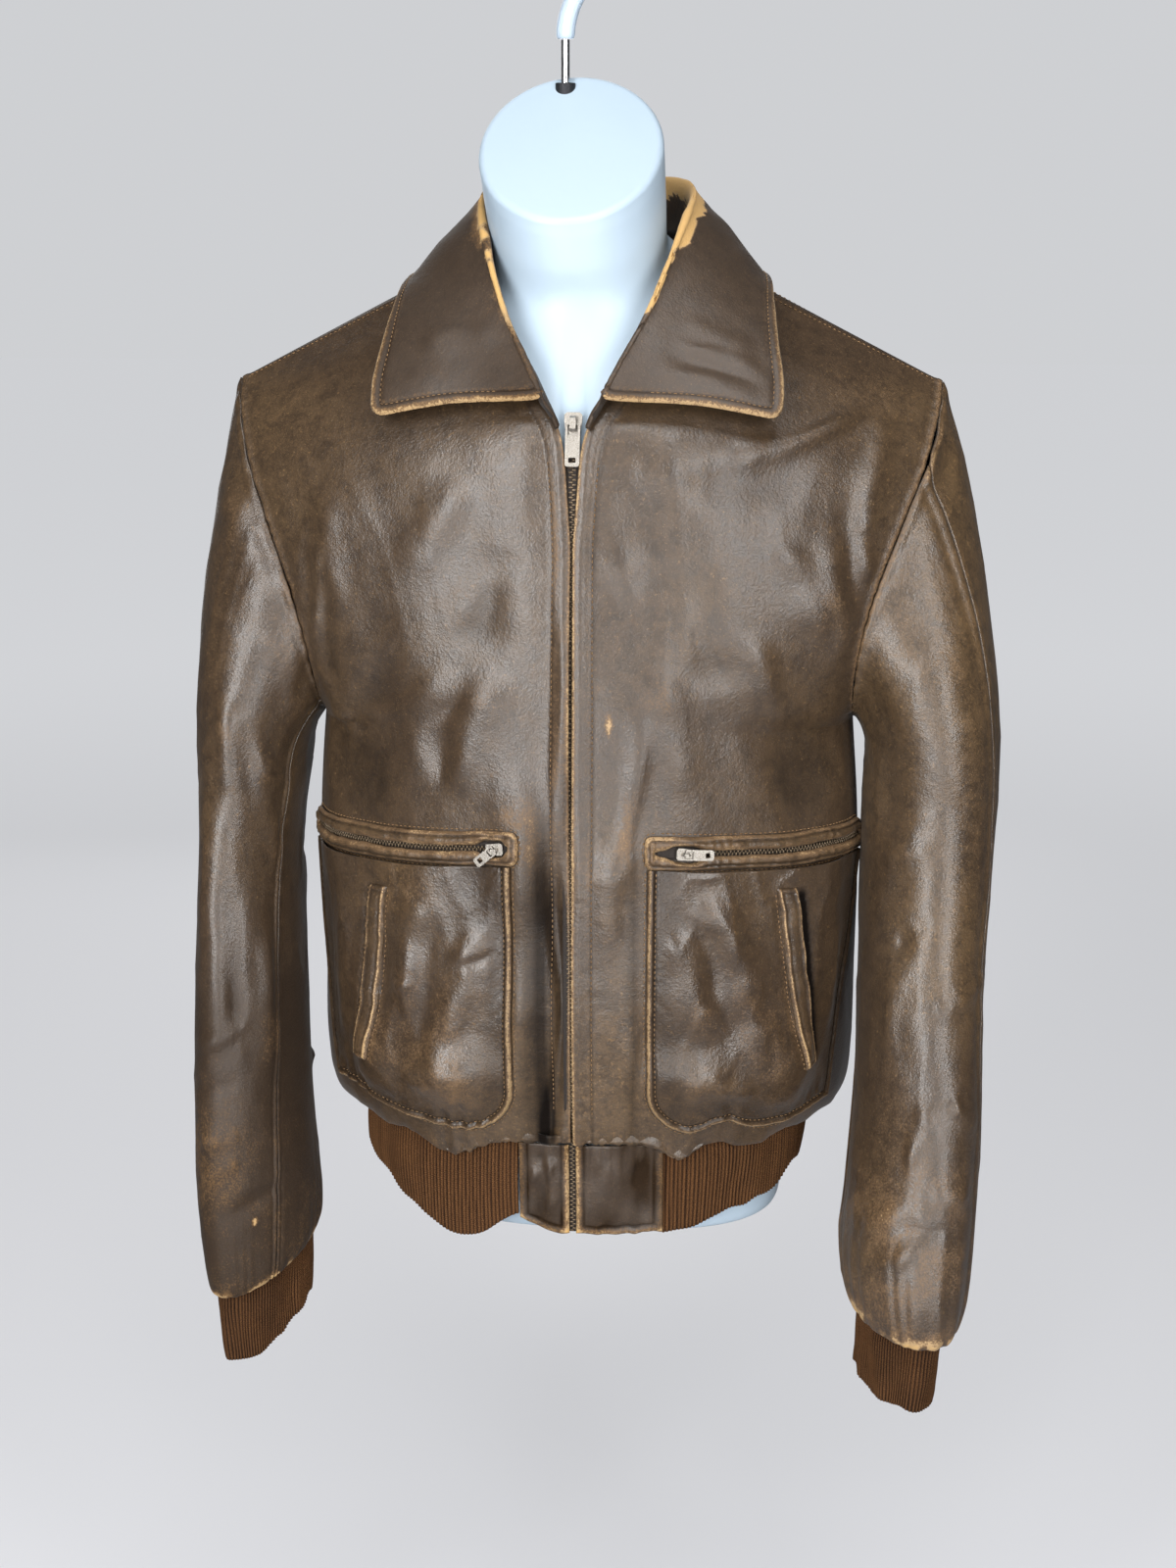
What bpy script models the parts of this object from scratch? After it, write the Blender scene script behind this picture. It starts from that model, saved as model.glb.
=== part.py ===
"""A worn leather flight jacket, zipped up on a hanging torso form.

Metres, +Z up, the jacket's front faces -Y. Left and right are the viewer's, looking at the front.
The garment is laid out in its own frame (z = 0 at the front hem, x = 0 at the zip) and hangs from
the empty "hang_point", which puts the inside top of the hook's crook at the origin.
"""

import itertools
import math
from collections import namedtuple

import bmesh
import bpy
import numpy as np
from mathutils import Matrix, Vector

# ---------------------------------------------------------------- driving dimensions
LEATHER = 0.0016
RIB = 0.0024
COLLAR = 0.0030
SEAM_GAP = 0.0003
WELD_CELL = 0.00001

SIDES = {"left": -1, "right": 1}

# Each section runs from the centre line (in_) to the side seam or armhole (out_), turning by `turn` degrees.
Section = namedtuple("Section", "in_x in_y in_z out_x out_y out_z turn")
ARMPIT_ROW = 5
FRONT_SECTIONS = (
    Section(0.0022, -0.1235, 0.0645, 0.1590, 0.004, 0.072, 90),  # tucked behind the rib's top
    Section(0.0022, -0.1245, 0.0600, 0.1720, 0.004, 0.054, 90),  # lowest point of the blouson
    Section(0.0022, -0.1290, 0.0780, 0.1840, 0.003, 0.076, 90),
    Section(0.0022, -0.1370, 0.160, 0.1862, 0.002, 0.152, 90),
    Section(0.0022, -0.1330, 0.265, 0.1862, 0.000, 0.250, 90),
    Section(0.0022, -0.1290, 0.345, 0.1810, 0.000, 0.328, 90),  # armpit
    Section(0.0022, -0.1270, 0.385, 0.1785, -0.037, 0.341, 83),
    Section(0.0022, -0.1240, 0.425, 0.1800, -0.063, 0.372, 74),
    Section(0.0024, -0.1190, 0.470, 0.1900, -0.069, 0.418, 64),
    Section(0.0065, -0.1130, 0.522, 0.2070, -0.058, 0.464, 54),  # zip's top, spread by the slider
    Section(0.0200, -0.0985, 0.548, 0.2220, -0.040, 0.501, 42),
    Section(0.0500, -0.0620, 0.590, 0.2310, -0.018, 0.534, 28),
    Section(0.0780, -0.0040, 0.632, 0.2335, 0.000, 0.552, 14),  # shoulder seam
)
BACK_NECK_ROW = 10
BACK_SECTIONS = (
    Section(0.0, 0.112, 0.067, 0.1590, 0.004, 0.072, 90),
    Section(0.0, 0.119, 0.052, 0.1720, 0.004, 0.054, 90),
    Section(0.0, 0.125, 0.076, 0.1840, 0.003, 0.076, 90),
    Section(0.0, 0.124, 0.160, 0.1862, 0.002, 0.152, 90),
    Section(0.0, 0.119, 0.262, 0.1862, 0.000, 0.250, 90),
    Section(0.0, 0.121, 0.345, 0.1810, 0.000, 0.328, 90),
    Section(0.0, 0.122, 0.390, 0.1800, 0.040, 0.345, 83),
    Section(0.0, 0.121, 0.440, 0.1830, 0.070, 0.380, 74),
    Section(0.0, 0.115, 0.500, 0.1940, 0.080, 0.425, 64),
    Section(0.0, 0.100, 0.570, 0.2095, 0.072, 0.468, 54),
    Section(0.0, 0.066, 0.646, 0.2230, 0.052, 0.505, 42),  # back neck seam
    Section(0.046, 0.045, 0.644, 0.2310, 0.026, 0.535, 28),
    Section(0.078, -0.004, 0.632, 0.2335, 0.000, 0.552, 14),
)
TOP_ROW = len(FRONT_SECTIONS) - 1

# Where the panels are divided: rows, of which those from the armpit up divide the armhole, and shares.
PANEL_ROWS = (0, 1, 1.5, 2, 2.35, 2.7, 3.1, 3.5, 4, 4.5, 5, 5.5, 6, 6.5, 7, 7.5, 8.25, 9, 10, 11, 12)
SHARES = (0, 0.06, 0.14, 0.24, 0.36, 0.48, 0.60, 0.72, 0.86, 1)

# The largest folds: from (s, h) to (s, h), s round the panel from its centre line, h the height there.
Fold = namedtuple("Fold", "panel s0 h0 s1 h1 width height")
FOLDS = (
    Fold("front_left", 0.027, 0.100, 0.026, 0.330, 0.0110, 0.0045),  # ridge beside the zip
    Fold("front_right", 0.024, 0.100, 0.020, 0.300, 0.0110, 0.0030),
    Fold("front_left", 0.020, 0.102, 0.170, 0.102, 0.0220, 0.0060),  # blouson over the waistband
    Fold("front_right", 0.020, 0.102, 0.180, 0.102, 0.0220, 0.0060),
    Fold("front_left", 0.205, 0.335, 0.120, 0.300, 0.0180, -0.0040),  # drag lines from the armpits
    Fold("front_right", 0.205, 0.335, 0.130, 0.305, 0.0180, -0.0040),
    Fold("back_left", 0.110, 0.110, 0.080, 0.330, 0.0260, -0.0050),
    Fold("back_right", 0.120, 0.110, 0.090, 0.310, 0.0260, -0.0050),
)

# Sleeve rings below the sleeve head: centre, half thickness, half depth, turn of the front end
# outwards in degrees, and how far the back end rides up above the centre.
Ring = namedtuple("Ring", "x y z thin deep turn rise")
SLEEVE_RINGS = {
    "left": (
        Ring(0.2285, -0.020, 0.285, 0.0340, 0.070, 6, 0.000),
        Ring(0.2305, -0.030, 0.235, 0.0310, 0.068, 8, 0.000),
        Ring(0.2290, -0.052, 0.145, 0.0320, 0.065, 11, 0.000),
        Ring(0.2270, -0.068, 0.075, 0.0325, 0.062, 14, 0.003),
        Ring(0.2232, -0.082, 0.025, 0.0325, 0.060, 18, 0.008),
        Ring(0.2190, -0.092, -0.006, 0.0310, 0.057, 22, 0.013),
        Ring(0.2165, -0.098, -0.027, 0.0290, 0.053, 25, 0.016),
        Ring(0.2155, -0.101, -0.037, 0.0255, 0.048, 27, 0.016),
        Ring(0.2150, -0.101, -0.031, 0.0225, 0.043, 28, 0.016),
    ),
    "right": (
        Ring(0.2335, -0.022, 0.285, 0.0450, 0.070, 6, 0.000),
        Ring(0.2320, -0.032, 0.240, 0.0435, 0.069, 8, 0.000),
        Ring(0.2292, -0.060, 0.163, 0.0400, 0.066, 10, 0.000),
        Ring(0.2292, -0.085, 0.095, 0.0390, 0.063, 14, 0.000),
        Ring(0.2257, -0.104, 0.039, 0.0395, 0.061, 18, 0.002),
        Ring(0.2222, -0.120, -0.003, 0.0405, 0.058, 20, 0.004),
        Ring(0.2215, -0.129, -0.030, 0.0370, 0.054, 22, 0.006),
        Ring(0.2205, -0.134, -0.047, 0.0300, 0.048, 24, 0.006),
        Ring(0.2195, -0.134, -0.041, 0.0245, 0.042, 25, 0.006),
    ),
}
CUFF_RINGS = {
    "left": (
        Ring(0.2150, -0.101, -0.022, 0.0218, 0.0423, 28, 0.016),
        Ring(0.2150, -0.101, -0.036, 0.0218, 0.0423, 28, 0.016),
        Ring(0.2142, -0.105, -0.062, 0.0212, 0.0400, 30, 0.016),
        Ring(0.2130, -0.108, -0.084, 0.0200, 0.0372, 31, 0.016),
    ),
    "right": (
        Ring(0.2195, -0.134, -0.032, 0.0238, 0.0413, 25, 0.006),
        Ring(0.2195, -0.134, -0.047, 0.0238, 0.0413, 25, 0.006),
        Ring(0.2178, -0.136, -0.072, 0.0225, 0.0380, 27, 0.006),
        Ring(0.2160, -0.138, -0.096, 0.0210, 0.0350, 28, 0.006),
    ),
}

# Collar stations from the front end round to the centre back: neckline, fold and outer edge.
Station = namedtuple("Station", "neck_x neck_y neck_z fold_x fold_y fold_z edge_x edge_y edge_z")
COLLAR_STATIONS = (
    Station(0.0085, -0.1155, 0.5307, 0.0205, -0.1175, 0.5530, 0.1290, -0.0975, 0.5350),
    Station(0.0200, -0.1000, 0.5497, 0.0300, -0.1080, 0.5720, 0.1295, -0.0850, 0.5560),
    Station(0.0350, -0.0820, 0.5697, 0.0440, -0.0900, 0.5980, 0.1255, -0.0660, 0.5810),
    Station(0.0500, -0.0635, 0.5912, 0.0560, -0.0680, 0.6280, 0.1220, -0.0330, 0.6050),
    Station(0.0690, -0.0310, 0.6200, 0.0660, -0.0330, 0.6570, 0.1195, 0.0020, 0.6160),
    Station(0.0780, -0.0040, 0.6329, 0.0690, 0.0020, 0.6720, 0.1110, 0.0400, 0.6170),
    Station(0.0680, 0.0260, 0.6440, 0.0610, 0.0360, 0.6790, 0.0850, 0.0780, 0.6150),
    Station(0.0420, 0.0500, 0.6467, 0.0380, 0.0590, 0.6820, 0.0450, 0.1010, 0.6130),
    Station(0.0000, 0.0650, 0.6477, 0.0000, 0.0700, 0.6820, 0.0000, 0.1090, 0.6120),
)

# Waistband: height and half axes of the rib, and how the sides and back ride up.
RIB_TOP = 0.070
RIB_BOTTOM = -0.006
RIB_FRONT_Y = -0.1190
RIB_BACK_Y = 0.1095
RIB_HALF_WIDTH = 0.1545
RIB_SIDE_RISE = 0.030
RIB_LEFT_DIP = 0.010
TAB_BOTTOM = -0.002
TAB_TOP = 0.0575
TAB_Y = -0.1205
TAB_WIDTH = {"left": 0.036, "right": 0.060}

# Patch pockets, chest welts and hand-warmer welts, in (s, h) on the fronts.
POCKET_INNER = {"left": 0.035, "right": 0.047}
POCKET_OUTER_TOP = 0.226
POCKET_OUTER_BOTTOM = 0.190
POCKET_TOP = 0.2550
POCKET_BOTTOM = 0.066
POCKET_CORNER = 0.036
POCKET_LIFT = 0.0028
WELT_INNER = {"left": 0.030, "right": 0.045}
WELT_OUTER = 0.229
WELT_HEIGHT = 0.267
WELT_HALF = 0.0115
SLOT_HALF = 0.0018
SLIDER_SLOT_HALF = 0.0056
WELT_LIFTS = (0.0026, 0.0042, 0.0036)
HAND_WELT = {"left": ((0.131, 0.238), (0.146, 0.108)), "right": ((0.142, 0.242), (0.162, 0.106))}
HAND_WELT_WIDTH = 0.015

# Zips: the chain, and a slider whose bail carries the pull tab. Local axes: across, along, out.
CHAIN_HALF = 0.0048
CHAIN_DEPTH = 0.0016
ZIP_LIFT = 0.0007
CHAIN_TOP = 0.538
ZIP_SLIDER_HEIGHT = 0.5315
Slider = namedtuple("Slider", "crown tail length depth bail_half bail_reach bail_rise wire")
MAIN_SLIDER = Slider(0.0112, 0.0085, 0.0150, 0.0034, 0.0019, 0.0047, 0.0040, 0.0013)
POCKET_SLIDER = Slider(0.0078, 0.0064, 0.0115, 0.0030, 0.0008, 0.0027, 0.0034, 0.0011)
Pull = namedtuple("Pull", "width length thickness eye side")
MAIN_PULL = Pull(0.0092, 0.0275, 0.0014, 0.0074, 0.0014)
LEFT_PULL = Pull(0.0066, 0.0165, 0.0010, 0.0048, 0.0009)
RIGHT_PULL = Pull(0.0070, 0.0190, 0.0010, 0.0048, 0.0010)
POCKET_SLIDER_PLACE = {"left": 0.0455, "right": 0.0710}
LEFT_PULL_TILT = 35

# Torso form: the cloth rests on its shoulders; below them it is slimmer than the jacket.
FORM_SEAT_GAP = 0.0005
FORM_EASE = 0.0160
# The form leans a little under the jacket: its foot is off to the right and its neck to the left.
FormRing = namedtuple("FormRing", "z x half_width front_y back_y square")
FORM_RINGS = (
    FormRing(-0.0210, 0.0125, 0.109, -0.078, 0.072, 0.72),
    FormRing(-0.0180, 0.0125, 0.120, -0.088, 0.081, 0.72),
    FormRing(-0.0100, 0.0120, 0.126, -0.094, 0.087, 0.74),
    FormRing(0.0300, 0.0105, 0.129, -0.097, 0.089, 0.82),
    FormRing(0.0800, 0.0090, 0.133, -0.100, 0.092, 0.90),
    FormRing(0.1700, 0.0070, 0.144, -0.107, 0.099, 0.95),
    FormRing(0.2600, 0.0030, 0.157, -0.112, 0.103, 1.00),
)
NECK_HALF_WIDTH = 0.0595
NECK_HALF_DEPTH = 0.0580
NECK_FOOT = (0.0565, 0.0510, 0.062)  # half width, half depth and depth below the cap's middle
NECK_TOP = (-0.0085, -0.0275, 0.6990)
NECK_SWAY = 0.0055  # the neck's foot lies this far to the right of its cap
NECK_SLANT = 39
NECK_DIVIDE = 3
FORM_ARM_BULGE = 0.010

# Hook: a plastic crook on a chrome stem that stands in a socket at the rear of the neck cap.
HOOK_X = -0.0165
HOOK_Y = 0.0170
STEM_BOTTOM = 0.7330
STEM_RADIUS = 0.0028
SOCKET_RADIUS = 0.0066
SOCKET_TOP = 0.7420
CROOK_BOTTOM = 0.7695
CROOK_RADIUS = 0.0062
CROOK_BEND = 0.0295
NECK_BEND = 0.0550
CROOK_END = 200

COLOURS = {
    "leather": ((0.085, 0.050, 0.033), 0.45, 0.0),
    "rib_knit": ((0.165, 0.062, 0.026), 0.90, 0.0),
    "zip_metal": ((0.180, 0.165, 0.145), 0.40, 1.0),
    "form_plastic": ((0.700, 0.780, 0.860), 0.30, 0.0),
    "hook_plastic": ((0.620, 0.740, 0.860), 0.20, 0.0),
    "chrome": ((0.750, 0.750, 0.760), 0.12, 1.0),
    "dark_metal": ((0.060, 0.060, 0.065), 0.50, 1.0),
}


# ---------------------------------------------------------------- small tools
def smooth(values, at, corner=None):
    """Catmull-Rom curve through `values` at row positions `at`, which may bend sharply at row `corner`."""
    values = np.asarray(values, float)
    at = np.asarray(at, float)
    if corner is not None:
        low = smooth(values[: corner + 1], np.minimum(at, corner))
        high = smooth(values[corner:], np.maximum(at, corner) - corner)
        return np.where((at <= corner)[..., None], low, high)
    ends = 2 * values[0] - values[1], 2 * values[-1] - values[-2]
    padded = np.concatenate([ends[0][None], values, ends[1][None]])
    row = np.clip(at.astype(int), 0, len(values) - 2)
    t = (at - row)[..., None]
    a, b, c, d = (padded[row + k] for k in range(4))
    return b + 0.5 * t * (c - a + t * (2 * a - 5 * b + 4 * c - d + t * (3 * (b - c) + d - a)))


def ease(x):
    """0 below 0, 1 above 1, smooth between."""
    x = np.clip(x, 0.0, 1.0)
    return x * x * (3 - 2 * x)


def unit(vectors):
    return vectors / np.maximum(np.linalg.norm(vectors, axis=-1, keepdims=True), 1e-12)


def tangents(points, axis, wrap=False):
    """The mean direction of the two steps at each point of a grid's lines."""
    steps = unit(np.roll(points, -1, axis) - points if wrap else np.diff(points, axis=axis))
    if wrap:
        return steps + np.roll(steps, 1, axis)
    first, last = np.take(steps, [0], axis), np.take(steps, [-1], axis)
    return np.concatenate([first, steps], axis) + np.concatenate([steps, last], axis)


def normals_of(points, wrap=False):
    """Unit normals of a grid of points; its rows may close on themselves."""
    return unit(np.cross(tangents(points, 1, wrap), tangents(points, 0)))


def material(name):
    colour, roughness, metallic = COLOURS[name]
    made = bpy.data.materials.get(name) or bpy.data.materials.new(name)
    made.use_nodes = True
    shader = made.node_tree.nodes["Principled BSDF"]
    shader.inputs["Base Color"].default_value = (*colour, 1.0)
    shader.inputs["Roughness"].default_value = roughness
    shader.inputs["Metallic"].default_value = metallic
    return made


def add_object(name, mesh_builder, slot, parent, smooth_angle=40):
    """Makes the named object from a finished bmesh, with its faces pointing out."""
    bmesh.ops.recalc_face_normals(mesh_builder, faces=mesh_builder.faces)
    mesh = bpy.data.meshes.new(name)
    mesh_builder.to_mesh(mesh)
    mesh_builder.free()
    mesh.materials.append(material(slot))
    mesh.shade_smooth()
    mesh.set_sharp_from_angle(angle=math.radians(smooth_angle))
    made = bpy.data.objects.new(name, mesh)
    bpy.context.scene.collection.objects.link(made)
    made.parent = parent
    return made


class Weld:
    """Vertices of a bmesh, shared where their positions agree to within WELD_CELL."""

    def __init__(self):
        self.mesh = bmesh.new()
        self.found = {}

    def vertex(self, point):
        cell = [math.floor(c / WELD_CELL) for c in point]
        spot = [c / WELD_CELL - k for c, k in zip(point, cell)]
        near = [(k, k + 1) if part > 0.9 else (k, k - 1) if part < 0.1 else (k,) for k, part in zip(cell, spot)]
        for key in itertools.product(*near):
            if key in self.found:
                return self.found[key]
        self.found[tuple(cell)] = self.mesh.verts.new(point)
        return self.found[tuple(cell)]

    def face(self, points):
        corners = list(dict.fromkeys(self.vertex(p) for p in points))
        if len(corners) > 2:
            self.mesh.faces.new(corners)

    def grid(self, points, wrap=False):
        rows, columns = points.shape[:2]
        for i in range(rows - 1):
            for j in range(columns if wrap else columns - 1):
                k = (j + 1) % columns
                self.face((points[i, j], points[i, k], points[i + 1, k]))
                self.face((points[i, j], points[i + 1, k], points[i + 1, j]))


def cloth(name, grids, wall, slot, parent, wrap=False):
    """A wall of cloth: each grid is (points, inward directions), and grids that share points are one piece."""
    outer, inner = Weld(), {}
    for points, inward in grids:
        outer.grid(points, wrap)
        for point, direction in zip(points.reshape(-1, 3), inward.reshape(-1, 3)):
            inner.setdefault(outer.vertex(point), Vector(point + direction * wall))
    mesh = outer.mesh
    faces = list(mesh.faces)
    rims = [sorted(edge.verts, key=lambda v: v.co.z) for edge in mesh.edges if len(edge.link_faces) == 1]
    under = {vertex: mesh.verts.new(place) for vertex, place in inner.items()}
    for face in faces:
        mesh.faces.new([under[vertex] for vertex in reversed(face.verts)])
    for a, b in rims:
        # Split the same way on both sides of a seam, so that the two walls stay parallel.
        mesh.faces.new((a, b, under[b]))
        mesh.faces.new((a, under[b], under[a]))
    return add_object(name, mesh, slot, parent)


# ---------------------------------------------------------------- the body's panels
class Panel:
    """A front or half back: its surface at (share round the section, row), outside face of the leather."""

    FINE_ROWS = 8 * TOP_ROW + 1
    FINE_SHARES = 65

    def __init__(self, name, sections, side, facing, folds=()):
        table = np.array(sections, float)
        self.rows = np.linspace(0, TOP_ROW, self.FINE_ROWS)
        in_corner = BACK_NECK_ROW if facing > 0 else None
        inner = smooth(table[:, 0:3], self.rows, in_corner)
        outer = smooth(table[:, 3:6], self.rows, ARMPIT_ROW)
        turn = np.radians(smooth(table[:, 6:7], self.rows))
        self.heights = inner[:, 2]
        angle = turn * np.linspace(0, 1, 129)
        across = np.sin(angle) / np.sin(turn)
        round_back = (1 - np.cos(angle)) / (1 - np.cos(turn))
        mix = np.stack([across, round_back, across], axis=-1)
        curves = inner[:, None] + (outer - inner)[:, None] * mix
        runs = np.cumsum(np.linalg.norm(np.diff(curves, axis=1, prepend=curves[:, :1]), axis=2), axis=1)
        self.lengths = runs[:, -1]
        shares = np.linspace(0, 1, self.FINE_SHARES)
        self.points = np.stack(
            [
                np.stack([np.interp(shares * run[-1], run, curve[:, k]) for k in range(3)], axis=1)
                for run, curve in zip(runs, curves)
            ]
        )
        self.points[..., 0] *= side
        self.normals = -facing * side * normals_of(self.points)
        around, height = np.meshgrid(shares, np.zeros(self.FINE_ROWS))
        around = around * self.lengths[:, None]
        height = height + self.heights[:, None]
        own_folds = [fold for fold in folds if fold.panel == name]
        for fold in own_folds:
            self.points = self.points + self.normals * fold_height(fold, around, height)[..., None]
        if own_folds:
            self.normals = -facing * side * normals_of(self.points)

    def at(self, share, row, lift=0.0):
        """Points `lift` outside the panel at (share, row), with their outward normals."""
        share, row, lift = np.broadcast_arrays(*(np.asarray(v, float) for v in (share, row, lift)))
        x = np.clip(share, 0, 1) * (self.FINE_SHARES - 1)
        y = np.clip(row, 0, TOP_ROW) / TOP_ROW * (self.FINE_ROWS - 1)
        i = np.minimum(x.astype(int), self.FINE_SHARES - 2)
        j = np.minimum(y.astype(int), self.FINE_ROWS - 2)
        u = (x - i)[..., None]
        v = (y - j)[..., None]
        blended = []
        for grid in (self.points, self.normals):
            low = grid[j, i] * (1 - u) + grid[j, i + 1] * u
            high = grid[j + 1, i] * (1 - u) + grid[j + 1, i + 1] * u
            blended.append(low * (1 - v) + high * v)
        normal = unit(blended[1])
        return blended[0] + normal * lift[..., None], normal

    def on(self, around, height, lift=0.0):
        """The same, at `around` metres from the centre line and the height measured there."""
        low = int(np.argmin(self.heights[: self.FINE_ROWS // 2]))
        fine_row = np.interp(height, self.heights[low:], np.arange(low, self.FINE_ROWS))
        length = np.interp(fine_row, np.arange(self.FINE_ROWS), self.lengths)
        return self.at(around / length, fine_row * TOP_ROW / (self.FINE_ROWS - 1), lift)


def fold_height(fold, around, height):
    """A soft ridge or trough along a line of the panel, dying out at both ends."""
    start = np.array([fold.s0, fold.h0])
    run = np.array([fold.s1, fold.h1]) - start
    offset = np.stack([around, height], axis=-1) - start
    along = offset @ run / (run @ run)
    off_line = np.abs(offset[..., 0] * run[1] - offset[..., 1] * run[0]) / np.linalg.norm(run)
    ends = ease(along / 0.25) * ease((1 - along) / 0.25)
    return fold.height * np.exp(-((off_line / fold.width) ** 2)) * ends


def make_panels(folds=()):
    """The four panel surfaces, with one shared normal along each seam between them."""
    panels = {}
    for side_name, side in SIDES.items():
        front = Panel(f"front_{side_name}", FRONT_SECTIONS, side, -1, folds)
        back = Panel(f"back_{side_name}", BACK_SECTIONS, side, 1, folds)
        armpit = ARMPIT_ROW * (Panel.FINE_ROWS - 1) // TOP_ROW + 1
        side_seam = unit(front.normals[:armpit, -1] + back.normals[:armpit, -1])
        front.normals[:armpit, -1] = back.normals[:armpit, -1] = side_seam
        shoulder = unit(front.normals[-1] + back.normals[-1])
        front.normals[-1] = back.normals[-1] = shoulder
        neck = BACK_NECK_ROW * (Panel.FINE_ROWS - 1) // TOP_ROW + 1
        back.normals[:neck, 0, 0] = 0.0
        back.normals = unit(back.normals)
        panels["front", side_name] = front
        panels["back", side_name] = back
    left, right = panels["back", "left"], panels["back", "right"]
    mirror = np.array([-1, 1, 1])
    left.points[:, 0] = right.points[:, 0] * mirror
    left.normals[:, 0] = right.normals[:, 0] * mirror
    return panels


def inset(points, at, toward, gap=SEAM_GAP):
    """Moves an edge of the grid half a seam gap along the surface, towards its neighbours."""
    points[at] += unit(points[toward] - points[at]) * gap / 2


def panel_grid(panel):
    """(points, inward directions) of the panel where it is divided, its free edges half a seam gap in."""
    rows = np.array(PANEL_ROWS)
    points, normals = panel.at(np.array(SHARES)[None, :], rows[:, None])
    upper = rows >= ARMPIT_ROW
    away = armhole_away(panel, rows[upper])
    inset(points, (rows <= ARMPIT_ROW, -1), (rows <= ARMPIT_ROW, -2))
    points[upper, -1] -= away * SEAM_GAP / 2
    inset(points, (-1, slice(None)), (-2, slice(None)))
    return points, -normals


def armhole_away(panel, rows):
    """Out of the panel across its armhole edge: square to the edge, in the surface."""
    edge, normal = panel.at(1.0, rows)
    after, _ = panel.at(1.0, np.minimum(rows + 0.05, TOP_ROW))
    before, _ = panel.at(1.0, np.maximum(rows - 0.05, ARMPIT_ROW))
    inside, _ = panel.at(0.9, rows)
    out = unit(np.cross(after - before, normal))
    side = np.sign(((edge - inside) * out).sum(axis=1, keepdims=True) + 1e-9)
    under_arm = np.sign(out[:, 2:3])
    return out * np.where(rows[:, None] < ARMPIT_ROW + 0.8, under_arm, side)


def make_fronts_and_back(panels, parent):
    for side_name in SIDES:
        grid = panel_grid(panels["front", side_name])
        cloth(f"front_{side_name}", [grid], LEATHER, "leather", parent)
    halves = [panel_grid(panels["back", side_name]) for side_name in SIDES]
    cloth("back", halves, LEATHER, "leather", parent)


# ---------------------------------------------------------------- sleeves and cuffs
ARMHOLE_ROWS = np.array([row for row in PANEL_ROWS if row >= ARMPIT_ROW], float)
SLEEVE_COLUMNS = 2 * (len(ARMHOLE_ROWS) - 1)
HEAD_STEPS = (0.0, 0.10, 0.25, 0.45, 0.70)


def armhole(panels, side_name):
    """The armhole's points from the shoulder down the front, under the arm and up the back.

    With each point comes the direction that leaves the body's panel there.
    """
    points, away = [], []
    for part, rows in (("front", ARMHOLE_ROWS[::-1][:-1]), ("back", ARMHOLE_ROWS[:-1])):
        panel = panels[part, side_name]
        points.append(panel.at(1.0, rows)[0])
        away.append(armhole_away(panel, rows))
    return np.concatenate(points), np.concatenate(away)


def ring_points(ring, angles, side):
    """A tilted ellipse; angle 0 is outermost and a quarter turn on is the front."""
    turn = math.radians(ring.turn)
    thin = ring.thin * np.cos(angles)
    deep = ring.deep * np.sin(angles)
    x = ring.x + thin * math.cos(turn) + deep * math.sin(turn)
    y = ring.y - deep * math.cos(turn) + thin * math.sin(turn)
    return np.stack([side * x, y, ring.z - ring.rise * np.sin(angles)], axis=-1)


def column_angles(points):
    """Angle of each sleeve column round the tube, by its share of the armhole's length."""
    steps = np.linalg.norm(np.roll(points, -1, axis=0) - points, axis=1)
    half = len(points) // 2
    front = np.concatenate([[0], np.cumsum(steps[:half])])
    back = np.concatenate([[0], np.cumsum(steps[half:])])
    front_angles = math.pi * front[:-1] / front[-1]
    back_angles = math.pi + math.pi * back[:-1] / back[-1]
    return np.concatenate([front_angles, back_angles])


def sleeve_grid(panels, side_name):
    """Rings from the armhole to the tucked leather edge above the cuff."""
    side = SIDES[side_name]
    start, away = armhole(panels, side_name)
    angles = column_angles(start)
    start = start + away * SEAM_GAP / 2
    rings = [Ring(*row) for row in SLEEVE_RINGS[side_name]]
    upper = ring_points(rings[0], angles, side)
    reach = np.linalg.norm(upper - start, axis=1)[:, None]
    # The head leaves the armhole outwards and down: steeply over the shoulder, more outwards below it.
    outward = 0.30 + 0.45 * np.sin(angles / 2) ** 2
    leave = np.stack([side * outward, -0.20 * np.sin(angles), np.full_like(outward, -0.85)], axis=1)
    leave = unit(leave) * reach
    arrive = np.array([0.0, 0.0, -1.0]) * reach
    head = []
    for t in HEAD_STEPS:
        head.append(
            (2 * t**3 - 3 * t**2 + 1) * start
            + (t**3 - 2 * t**2 + t) * leave
            + (3 * t**2 - 2 * t**3) * upper
            + (t**3 - t**2) * arrive
        )
    points = np.stack(head + [ring_points(ring, angles, side) for ring in rings])
    inward = -side * normals_of(points, wrap=True)
    # At the armhole the wall may not lean into the body's panel.
    lean = np.maximum(-(inward[0] * away).sum(axis=1), 0)[:, None]
    inward[0] = unit(inward[0] + away * lean)
    return points, inward


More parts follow.
